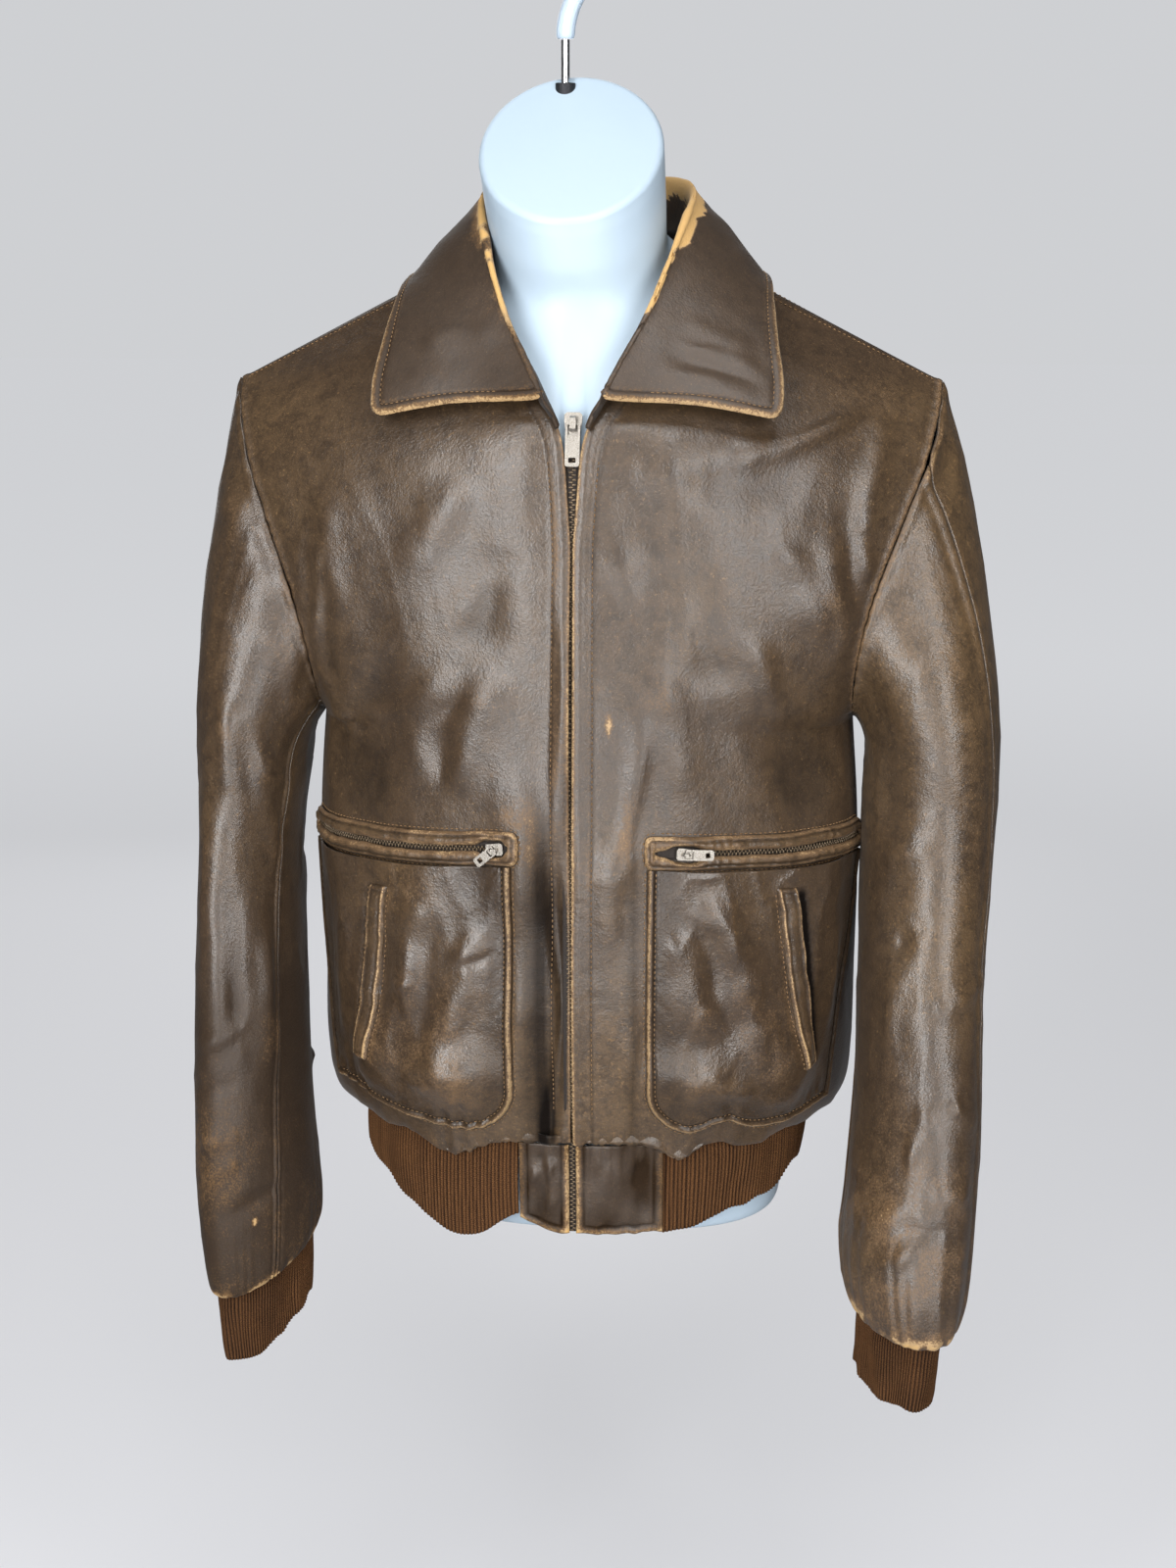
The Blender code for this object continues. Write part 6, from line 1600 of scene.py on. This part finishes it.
def chest_welt_loop(side_name):
    """(s, h) of the slot's outline and of the welt's, point for point, anticlockwise from the inner end."""
    inner, outer = WELT_INNER[side_name], WELT_OUTER
    slot_in, slot_out = inner + 0.0070, outer - 0.0060
    along = steps((1.0, 120)) * (slot_out - slot_in) + slot_in
    half = slot_half(along, side_name)
    taper = np.minimum(ease((along - slot_in) / 0.003), ease((slot_out - along) / 0.003))
    half = half * (0.35 + 0.65 * taper)
    reach = WELT_HALF * 0.8
    straight = inner + reach + (outer - inner - 2 * reach) * (along - slot_in) / (slot_out - slot_in)
    turn = np.linspace(90, -90, 23)[1:-1]
    cosine, sine = np.cos(np.radians(turn)), np.sin(np.radians(turn))
    squared = np.stack([np.abs(cosine) ** 0.55 * reach, np.sign(sine) * np.abs(sine) ** 0.55 * WELT_HALF])
    slot = [np.stack([along, half], axis=1)]
    edge = [np.stack([straight, np.full_like(along, WELT_HALF)], axis=1)]
    slot.append(np.stack([slot_out + 0.0004 * cosine, half[-1] * sine], axis=1))
    edge.append(np.stack([outer - reach + squared[0], squared[1]], axis=1))
    slot.append(np.stack([along, -half], axis=1)[::-1])
    edge.append(np.stack([straight, np.full_like(along, -WELT_HALF)], axis=1)[::-1])
    slot.append(np.stack([slot_in - 0.0004 * cosine, -half[0] * sine], axis=1))
    edge.append(np.stack([inner + reach - squared[0], -squared[1]], axis=1))
    return np.concatenate(slot), np.concatenate(edge)


def make_chest_welt(panel, side_name, leather):
    slot, edge = chest_welt_loop(side_name)
    spread = steps((0.12, 4), (0.86, 12), (1.0, 5))[::-1, None, None]
    loops = slot + (edge - slot) * spread
    s, h = loops[..., 0], loops[..., 1] + WELT_HEIGHT
    seed = 140 if side_name == "left" else 150
    share = spread[..., 0] + 0 * s
    length = np.linalg.norm(edge - slot, axis=1)[None]
    off_edge, off_slot = (1 - share) * length, share * length
    lift = np.interp(share, (0.0, 0.55, 1.0), WELT_LIFTS[::-1])
    lift = lift + 0.0009 * np.sin(math.pi * np.clip((share - 0.05) / 0.6, 0, 1))
    lift = lift - 0.0014 * near(off_slot, 0.0011) - 0.0015 * near(off_edge, 0.0011)
    lift = lift - 0.0008 * near(off_edge - 0.0032, 0.0009) + 0.0004 * near(off_edge - 0.0016, 0.0010)
    lift = lift + pucker(s, off_edge - 0.0055, 0.0085, 0.0005, 0.0035, seed)
    lift = lift + 0.0006 * noise(s / 0.012, h / 0.010, 0, seed + 1, 2)
    nicks = 0.0004 * noise(s / 0.009, h / 0.02, 4, seed + 4, 2) * (share < 0.5)
    h = h + 0.0006 * noise(s / 0.025, 0, 0, seed + 2, 2) + nicks
    points, _ = panel.on(s, h, lift)
    _, outward = panel.on(s, h)
    normals = normals_of(points, wrap=True)
    facing = np.sign((normals * outward).sum(axis=-1).mean())
    normals = normals * facing
    wear = 0.42 * near(off_edge - 0.0010, 0.0014) + 0.45 * near(off_slot - 0.0012, 0.0022) + 0.16
    wear = wear + 0.30 * near(s - WELT_INNER[side_name], 0.016) + 0.20 * ease(noise(s / 0.02, h / 0.01, 0, 8, 2))
    tone = 0.5 + 0.2 * noise(s / 0.03, h / 0.02, 1, 4, 2)
    # Painted shade along the stitch groove and at the edge of the slot.
    painted_shade = 0.6 * near(off_edge - 0.0032, 0.0008) + 0.5 * near(off_slot, 0.0006)
    grid = dict(points=points, normals=normals, wear=wear, tone=tone, painted_shade=painted_shade, flip=facing < 0)
    name = f"chest_welt_{side_name}"
    cloth(f"{name}_leather", name, [grid], LEATHER, leather, "leather", wrap=True)


# ---------------------------------------------------------------- zips
CHAIN_HALF = 0.0048
POCKET_CHAIN_HALF = 0.0046
ZIP_LIFT = 0.0007
CHAIN_TOP = 0.538
ZIP_SLIDER_HEIGHT = 0.5315


def make_teeth(name, node, line, shown, lift, pitch, tooth, metal):
    """Interlocked teeth along the shown part of a line: alternate ones reach in from each side of it."""
    places, normals, alongs = (part[shown] for part in line)
    places = places + normals * lift
    width, depth, height = tooth
    verts, faces = [], []
    run = runs_along(places[None], 1)[0]
    for k, at in enumerate(np.arange(pitch / 2, run[-1], pitch)):
        centre, out, along = (
            np.array([np.interp(at, run, grid[:, axis]) for axis in range(3)])
            for grid in (places, normals, alongs)
        )
        along = unit(along)
        out = unit(out - along * (out @ along))
        across = np.cross(along, out)
        offset = width * (0.32 if k % 2 else -0.32)
        base = len(verts)
        for level, scale in ((-0.5, 1.0), (0.15, 1.0), (0.5, 0.72)):
            for x, y in ((-0.5, -0.5), (0.5, -0.5), (0.5, 0.5), (-0.5, 0.5)):
                verts.append(
                    centre
                    + across * (offset + x * width * scale)
                    + along * y * height * scale
                    + out * level * depth
                )
        for ring in (0, 4):
            for j in range(4):
                a, b = base + ring + j, base + ring + (j + 1) % 4
                faces.append((a, b, b + 4, a + 4))
        faces.append(tuple(base + 8 + j for j in range(4)))
        faces.append(tuple(base + 3 - j for j in range(4)))
    add_mesh(name, node, np.array(verts), faces, metal, "zip_metal")


def tape(places, normals, alongs, half):
    """A strip of woven tape as one grid, two points thick at its edges."""
    across = unit(np.cross(alongs, normals))
    spread = np.array([-1.0, -0.35, 0.35, 1.0])[None, :, None] * half
    points = places[:, None] + across[:, None] * spread
    return dict(points=points, normals=np.repeat(normals[:, None], 4, axis=1))


def make_main_zip(panels, fabric, metal):
    panel = panels["front", "right"]
    start = sum(ROW_STEPS[:2])
    behind = LEATHER + 4 * SEAM_GAP
    heights = np.concatenate([[TAB_BOTTOM + 0.001, 0.030, 0.060], np.linspace(0.085, CHAIN_TOP, 60)])
    y = np.interp(heights, panel.heights[start:], panel.points[start:, 0, 1])
    y[:3] = (TAB_Y, TAB_Y - 0.001, TAB_Y - 0.004)
    places = np.stack([0 * heights, y + behind, heights], axis=1)
    alongs = unit(np.gradient(places, axis=0))
    normals = unit(np.stack([0 * heights, -alongs[:, 2], alongs[:, 1]], axis=1))
    line = places, normals, alongs
    cloth("zip_tape", "zip_chain", [tape(*line, CHAIN_HALF)], 0.0005, fabric, "zip_metal")
    closed = heights <= ZIP_SLIDER_HEIGHT - 0.004
    make_teeth("zip_teeth", "zip_chain", line, closed, 0.0001, 0.00155, (0.0030, 0.0012, 0.0012), metal)


def make_pocket_zip(panel, side_name, fabric, metal):
    slot_in, slot_out = WELT_INNER[side_name] + 0.0076, WELT_OUTER - 0.0066
    along = np.linspace(slot_in, slot_out, 90)
    places, normals = panel.on(along, WELT_HEIGHT, ZIP_LIFT)
    alongs = unit(np.gradient(places, axis=0))
    line, node = (places, normals, alongs), f"pocket_zip_{side_name}"
    cloth(f"pocket_zip_tape_{side_name}", node, [tape(*line, POCKET_CHAIN_HALF)], 0.0003, fabric, "zip_metal")
    shown, tooth = along > POCKET_SLIDER_PLACE[side_name] + 0.004, (0.0025, 0.0014, 0.0010)
    make_teeth(f"pocket_zip_teeth_{side_name}", node, line, shown, 0.0009, 0.00135, tooth, metal)


# ---------------------------------------------------------------- torso form
FORM_SEAT_GAP = 0.0005
FORM_ROWS = np.linspace(ARMPIT_ROW, TOP_ROW, 57)
FORM_EASE = 0.0160
FormRing = namedtuple("FormRing", "z x half_width front_y back_y square")
FORM_RINGS = (
    FormRing(-0.0210, 0.0125, 0.109, -0.078, 0.072, 0.72),
    FormRing(-0.0180, 0.0125, 0.120, -0.088, 0.081, 0.72),
    FormRing(-0.0100, 0.0120, 0.126, -0.094, 0.087, 0.74),
    FormRing(0.0300, 0.0105, 0.129, -0.097, 0.089, 0.82),
    FormRing(0.0800, 0.0090, 0.133, -0.100, 0.092, 0.90),
    FormRing(0.1700, 0.0070, 0.144, -0.107, 0.099, 0.95),
    FormRing(0.2600, 0.0030, 0.157, -0.112, 0.103, 1.00),
)
NECK_HALF_WIDTH = 0.0595
NECK_HALF_DEPTH = 0.0580
NECK_FOOT = (0.0565, 0.0510, 0.062)
NECK_TOP = (-0.0085, -0.0275, 0.6990)
NECK_SWAY = 0.0055
NECK_SLANT = 39
CAP_FILLET = 0.0050
FORM_ARM_BULGE = 0.010
HOOK_X = -0.0165
HOOK_Y = 0.0170
CROOK_BOTTOM = 0.7695
CROOK_RADIUS = 0.0062
CROOK_BEND = 0.0295
NECK_BEND = 0.0550
CROOK_END = 200


class Skin:
    """Points and quads of one closed surface, welded where grids meet."""

    def __init__(self):
        self.points, self.faces, self.count = [], [], 0

    def grid(self, points, wrap=False):
        rows, columns = points.shape[:2]
        self.points.append(points.reshape(-1, 3))
        self.faces.append(grid_faces(rows, columns, self.count, wrap))
        self.count += rows * columns

    def toward(self, loop, centre, parts, bulge):
        """Rings shrinking from a loop to one point, raised by `bulge` at the middle."""
        rings = [loop + (centre - loop) * part + bulge * (1 - (1 - part) ** 2) for part in parts]
        self.grid(np.stack(rings), wrap=True)

    def make(self, name, node, material, slot):
        points, faces = np.concatenate(self.points), np.concatenate(self.faces)
        places = np.round(points / 2e-5).astype(int)
        _, first, index = np.unique(places, axis=0, return_index=True, return_inverse=True)
        points, faces = points[first], index.reshape(-1)[faces]
        kept = [tuple(dict.fromkeys(face)) for face in faces.tolist()]
        obj = add_mesh(name, node, points, [face for face in kept if len(face) > 2], material, slot)
        made = bmesh.new()
        made.from_mesh(obj.data)
        bmesh.ops.recalc_face_normals(made, faces=made.faces)
        made.to_mesh(obj.data)
        made.free()


def form_side(plain, part, side_name):
    """One quarter of the torso, as rows from the bottom ring to the shoulder seam."""
    side = SIDES[side_name]
    shares = np.linspace(0, 1, 41)
    ease_in = LEATHER + FORM_SEAT_GAP + FORM_EASE * ease((10.6 - FORM_ROWS) / 4.0)
    upper, _ = plain[part, side_name].at(shares[None, :], FORM_ROWS[:, None], -ease_in[:, None])
    centre = FORM_ROWS <= (BACK_NECK_ROW if part == "back" else BACK_NECK_ROW - 1)
    upper[centre, 0, 0] = 0.0
    angle = math.pi / 2 * shares
    levels = steps((1, 4), (2, 5), (3, 8), (4, 7), (5, 8), (6, 9))
    rings = smooth(np.array(FORM_RINGS, float), levels)
    lower = []
    for z, x, half_width, front_y, back_y, square in rings:
        depth = front_y if part == "front" else back_y
        y = depth * np.clip(np.cos(angle), 0, 1) ** square
        y[-1] = 0.0
        lower.append(np.stack([x + side * half_width * np.sin(angle) ** square, y, np.full_like(y, z)], axis=1))
    lower = np.stack(lower)
    # A smooth passage from the last ring to the armpit row.
    below, above = lower[-1], upper[0]
    climb = np.array([0, 0, 1.0]) * np.linalg.norm(above - below, axis=1, keepdims=True)
    return lower, passage(below, climb, above, climb, np.linspace(0, 1, 9)[1:-1, None, None]), upper


def make_form(plain, plastic):
    skin = Skin()
    neck_halves, bottom = [], {}
    for side_name, side in SIDES.items():
        edges = {}
        for part in ("front", "back"):
            lower, between, upper = form_side(plain, part, side_name)
            skin.grid(np.concatenate([lower, between, upper]))
            edges[part] = upper
            bottom[part, side] = lower[0]
        arm_loop = np.concatenate([edges["front"][:, -1], edges["back"][::-1, -1][1:-1]])
        outward = np.array([side * FORM_ARM_BULGE, 0, 0])
        skin.toward(arm_loop, arm_loop.mean(axis=0), np.linspace(0, 1, 12) ** 1.4, outward)
        front_neck = edges["front"][FORM_ROWS >= BACK_NECK_ROW - 1, 0]
        back_neck = edges["back"][FORM_ROWS >= BACK_NECK_ROW, 0]
        neck_halves.append(np.concatenate([front_neck, back_neck[::-1][1:]]))
    left, right = neck_halves
    make_form_neck(skin, np.concatenate([right, left[::-1][1:-1]]))
    loop = [bottom["front", 1], bottom["back", 1][::-1][1:]]
    loop += [bottom["back", -1][1:], bottom["front", -1][::-1][1:-1]]
    ring = FORM_RINGS[0]
    skin.toward(np.concatenate(loop), np.array([ring.x, 0, ring.z]), np.linspace(0, 1, 6), np.zeros(3))
    skin.make("torso_form_smooth", "torso_form", plastic, "form_plastic")


def make_form_neck(skin, loop):
    """Rings that draw in from the neckline to the neck and tilt to its slanted cap."""
    top = np.array(NECK_TOP)
    slope = math.tan(math.radians(NECK_SLANT))
    base = loop.mean(axis=0)
    angle = np.arctan2(-(loop[:, 1] - base[1]), loop[:, 0] - base[0])
    rim_x = NECK_HALF_WIDTH * np.cos(angle)
    rim_y = -NECK_HALF_DEPTH * np.sin(angle)
    rim = top + np.stack([rim_x, rim_y, rim_y * slope], axis=1)
    foot_width, foot_depth, drop = NECK_FOOT
    foot_y = -foot_depth * np.sin(angle)
    foot_x = foot_width * np.cos(angle) + NECK_SWAY
    foot = top + np.stack([foot_x, foot_y + 0.004, foot_y * slope * 0.9 - drop], axis=1)
    first = loop + (foot - loop) * 0.5 - [0, 0, 0.004]
    control = np.stack([loop, first, foot, foot + (rim - foot) * 0.5, rim])
    rings = smooth(control, np.linspace(0, 4, 41))
    axis = np.array([0, -math.sin(math.radians(NECK_SLANT)), math.cos(math.radians(NECK_SLANT))])
    # A rounded edge into the cap, which is a shallow oval dome.
    turned = []
    for k in range(1, 9):
        a = math.pi / 2 * k / 8
        inward = CAP_FILLET * (1 - math.cos(a)) / NECK_HALF_WIDTH
        turned.append(rim + (top - rim) * inward + axis * (CAP_FILLET * (math.sin(a) - 1)) + axis * 0.0030)
    rings = rings[:-2]
    skin.grid(np.concatenate([rings, np.stack(turned)]), wrap=True)
    inner = turned[-1]
    skin.toward(inner, inner.mean(axis=0), np.linspace(0, 1, 14), axis * 0.0022)


def make_crook(plastic):
    """The hook's crook: a smooth tube with a small collar where the stem enters."""
    lean = math.acos(NECK_BEND / (NECK_BEND + CROOK_BEND))
    line = [(NECK_BEND * (1 - math.cos(a)), NECK_BEND * math.sin(a)) for a in np.linspace(0, lean, 24)]
    centre = NECK_BEND * math.sin(lean) + CROOK_BEND * math.sin(lean)
    sweep = np.linspace(-lean, math.radians(CROOK_END), 90)[1:]
    line += [(CROOK_BEND * math.cos(a), centre + CROOK_BEND * math.sin(a)) for a in sweep]
    line = np.array(line)
    radius = np.full(len(line), CROOK_RADIUS)
    run = runs_along(line[None], 1)[0]
    radius = radius * (1 - 0.55 * near(run[-1] - run, 0.0030)) * (1 - 0.16 * near(run, 0.0016))
    tangent = unit(np.gradient(line, axis=0))
    tangent[0] = (0, 1)
    angles = np.linspace(0, 2 * math.pi, 28, endpoint=False)
    across = np.stack([tangent[:, 1], 0 * run, -tangent[:, 0]], axis=1)
    centres = np.stack([HOOK_X + line[:, 0], HOOK_Y + 0 * run, CROOK_BOTTOM + line[:, 1]], axis=1)
    backwards = np.array([0, 1.0, 0]) * np.sin(angles)[None, :, None]
    spokes = across[:, None] * np.cos(angles)[None, :, None] + backwards
    rings = centres[:, None] + spokes * radius[:, None, None]
    skin = Skin()
    skin.grid(rings, wrap=True)
    for end in (0, -1):
        skin.toward(rings[end], centres[end], np.array([0.0, 0.5, 1.0]), np.zeros(3))
    skin.make("hook_crook", "hook", plastic, "hook_plastic")


# ---------------------------------------------------------------- hard parts
def dress(node, material, bevel=0.0):
    """A better material, and rounded edges, for a CAD node that stays."""
    obj = bpy.data.objects[node]
    for spot in obj.material_slots:
        spot.material = material
    if bevel:
        rounded = obj.modifiers.new("edges", "BEVEL")
        rounded.width = bevel
        rounded.segments = 3
        rounded.limit_method = "ANGLE"
        rounded.angle_limit = math.radians(35)
        rounded.harden_normals = False


def make_hard_parts(metal, chrome, dark):
    for node in ("zip_slider", "pocket_slider_left", "pocket_slider_right"):
        dress(node, metal, 0.00035)
    for node in ("zip_pull", "pocket_pull_left", "pocket_pull_right"):
        dress(node, metal, 0.00022)
    dress("hook_stem", chrome)
    dress("hook_socket", dark, 0.0004)


# ---------------------------------------------------------------- assembly
def make_seams(panels, collar_lines, thread):
    """Topstitching beside the zip, round the pockets, welts and collar, and along the seams of the body."""
    lines = list(collar_lines)
    for side_name in SIDES:
        panel = panels["front", side_name]
        h = np.linspace(PLACKET_FOOT, PLACKET_HEAD, 170)
        lines.append(panel.on(np.full_like(h, PLACKET[side_name]), h, 0.0001))
        inner = POCKET_INNER[side_name]
        for off in (POCKET_BAND, -0.0012):
            radius = POCKET_CORNER - off
            down = np.linspace(POCKET_TOP, POCKET_BOTTOM + POCKET_CORNER, 60)
            turn = np.radians(np.linspace(180, 270, 30))[1:-1]
            out = np.linspace(inner + POCKET_CORNER, POCKET_OUTER_BOTTOM - off, 80)
            bend = inner + POCKET_CORNER + radius * np.cos(turn)
            s = np.concatenate([np.full_like(down, inner + off), bend, out])
            level = POCKET_BOTTOM + off
            bend = POCKET_BOTTOM + POCKET_CORNER + radius * np.sin(turn)
            h = np.concatenate([down, bend, np.full_like(out, level)])
            h = h + (pocket_bottom(side_name, s) - POCKET_BOTTOM) * ease((POCKET_TOP - h) / 0.16)
            rise = pocket_lift(side_name, s, h) if off > 0 else np.zeros_like(s)
            lines.append(panel.on(s, h, rise + 0.0001))
        edge = chest_welt_loop(side_name)[1]
        middle = np.array([(WELT_INNER[side_name] + WELT_OUTER) / 2, 0])
        grown = edge + unit((edge - middle) * [0.02, 1.0]) * 0.0012
        grown = np.concatenate([grown, grown[:1]])
        lines.append(panel.on(grown[:, 0], grown[:, 1] + WELT_HEIGHT, 0.0002))
        top, bottom = (np.array(end) for end in HAND_WELT[side_name])
        run = unit(top - bottom)
        across = np.array([run[1], -run[0]])
        for offset in (-HAND_WELT_WIDTH / 2 - 0.0014, HAND_WELT_WIDTH / 2 + 0.0014):
            if offset > 0 and side_name == "right":
                continue
            line = bottom + (top - bottom) * np.linspace(0, 1, 70)[:, None] + across * offset
            lift = pocket_lift(side_name, line[:, 0], line[:, 1]) + 0.0002
            lines.append(panel.on(line[:, 0], line[:, 1], lift))
        for part in ("front", "back"):
            share = np.linspace(0.02, 0.98, 80)
            lines.append(panels[part, side_name].at(share, np.full_like(share, TOP_ROW - 0.09), 0.0001))
    stitches("front_stitching", lines, thread)


# The flat cut of each cloth piece: width, length, how it is held, and its area where it is no rectangle.
Cut = namedtuple("Cut", "width length held area")


def main():
    make_camera()
    make_stage()
    leather = make_leather("worn_leather")
    knit = make_knit()
    metal = make_metal("nickel", (0.40, 0.37, 0.33), (0.13, 0.115, 0.095), 0.30)
    bronze = make_metal("zip_bronze", (0.20, 0.15, 0.10), (0.03, 0.024, 0.018), 0.42)
    fabric = make_fabric("zip_tape_cloth", (0.016, 0.012, 0.010))
    chrome = make_metal("chrome", (0.82, 0.82, 0.83), (0.70, 0.70, 0.72), 0.10)
    dark = make_metal("dark_fitting", (0.06, 0.06, 0.065), (0.02, 0.02, 0.022), 0.5)
    shell = make_plastic("form_shell", (0.455, 0.565, 0.665), 0.42)
    clear = make_plastic("hook_shell", (0.66, 0.78, 0.90), 0.16, Transmission_Weight=0.35)
    glossy = make_leather("pocket_leather", matte=-0.06)
    panels, plain = make_panels(), make_panels(draped=False)
    make_body(panels, leather)
    make_sleeves(panels, plain, leather, knit)
    collar_lines = make_collar(make_leather("collar_leather", matte=0.15))
    make_waist_rib(knit)
    make_hem_tabs(leather)
    for side_name in SIDES:
        panel = panels["front", side_name]
        make_pocket(panel, side_name, glossy)
        make_hand_welt(panel, side_name, glossy)
        make_chest_welt(panel, side_name, leather)
        make_pocket_zip(panel, side_name, fabric, bronze)
    make_main_zip(panels, fabric, bronze)
    make_form(plain, shell)
    make_crook(clear)
    make_hard_parts(metal, chrome, dark)
    make_seams(panels, collar_lines, make_thread())


main()
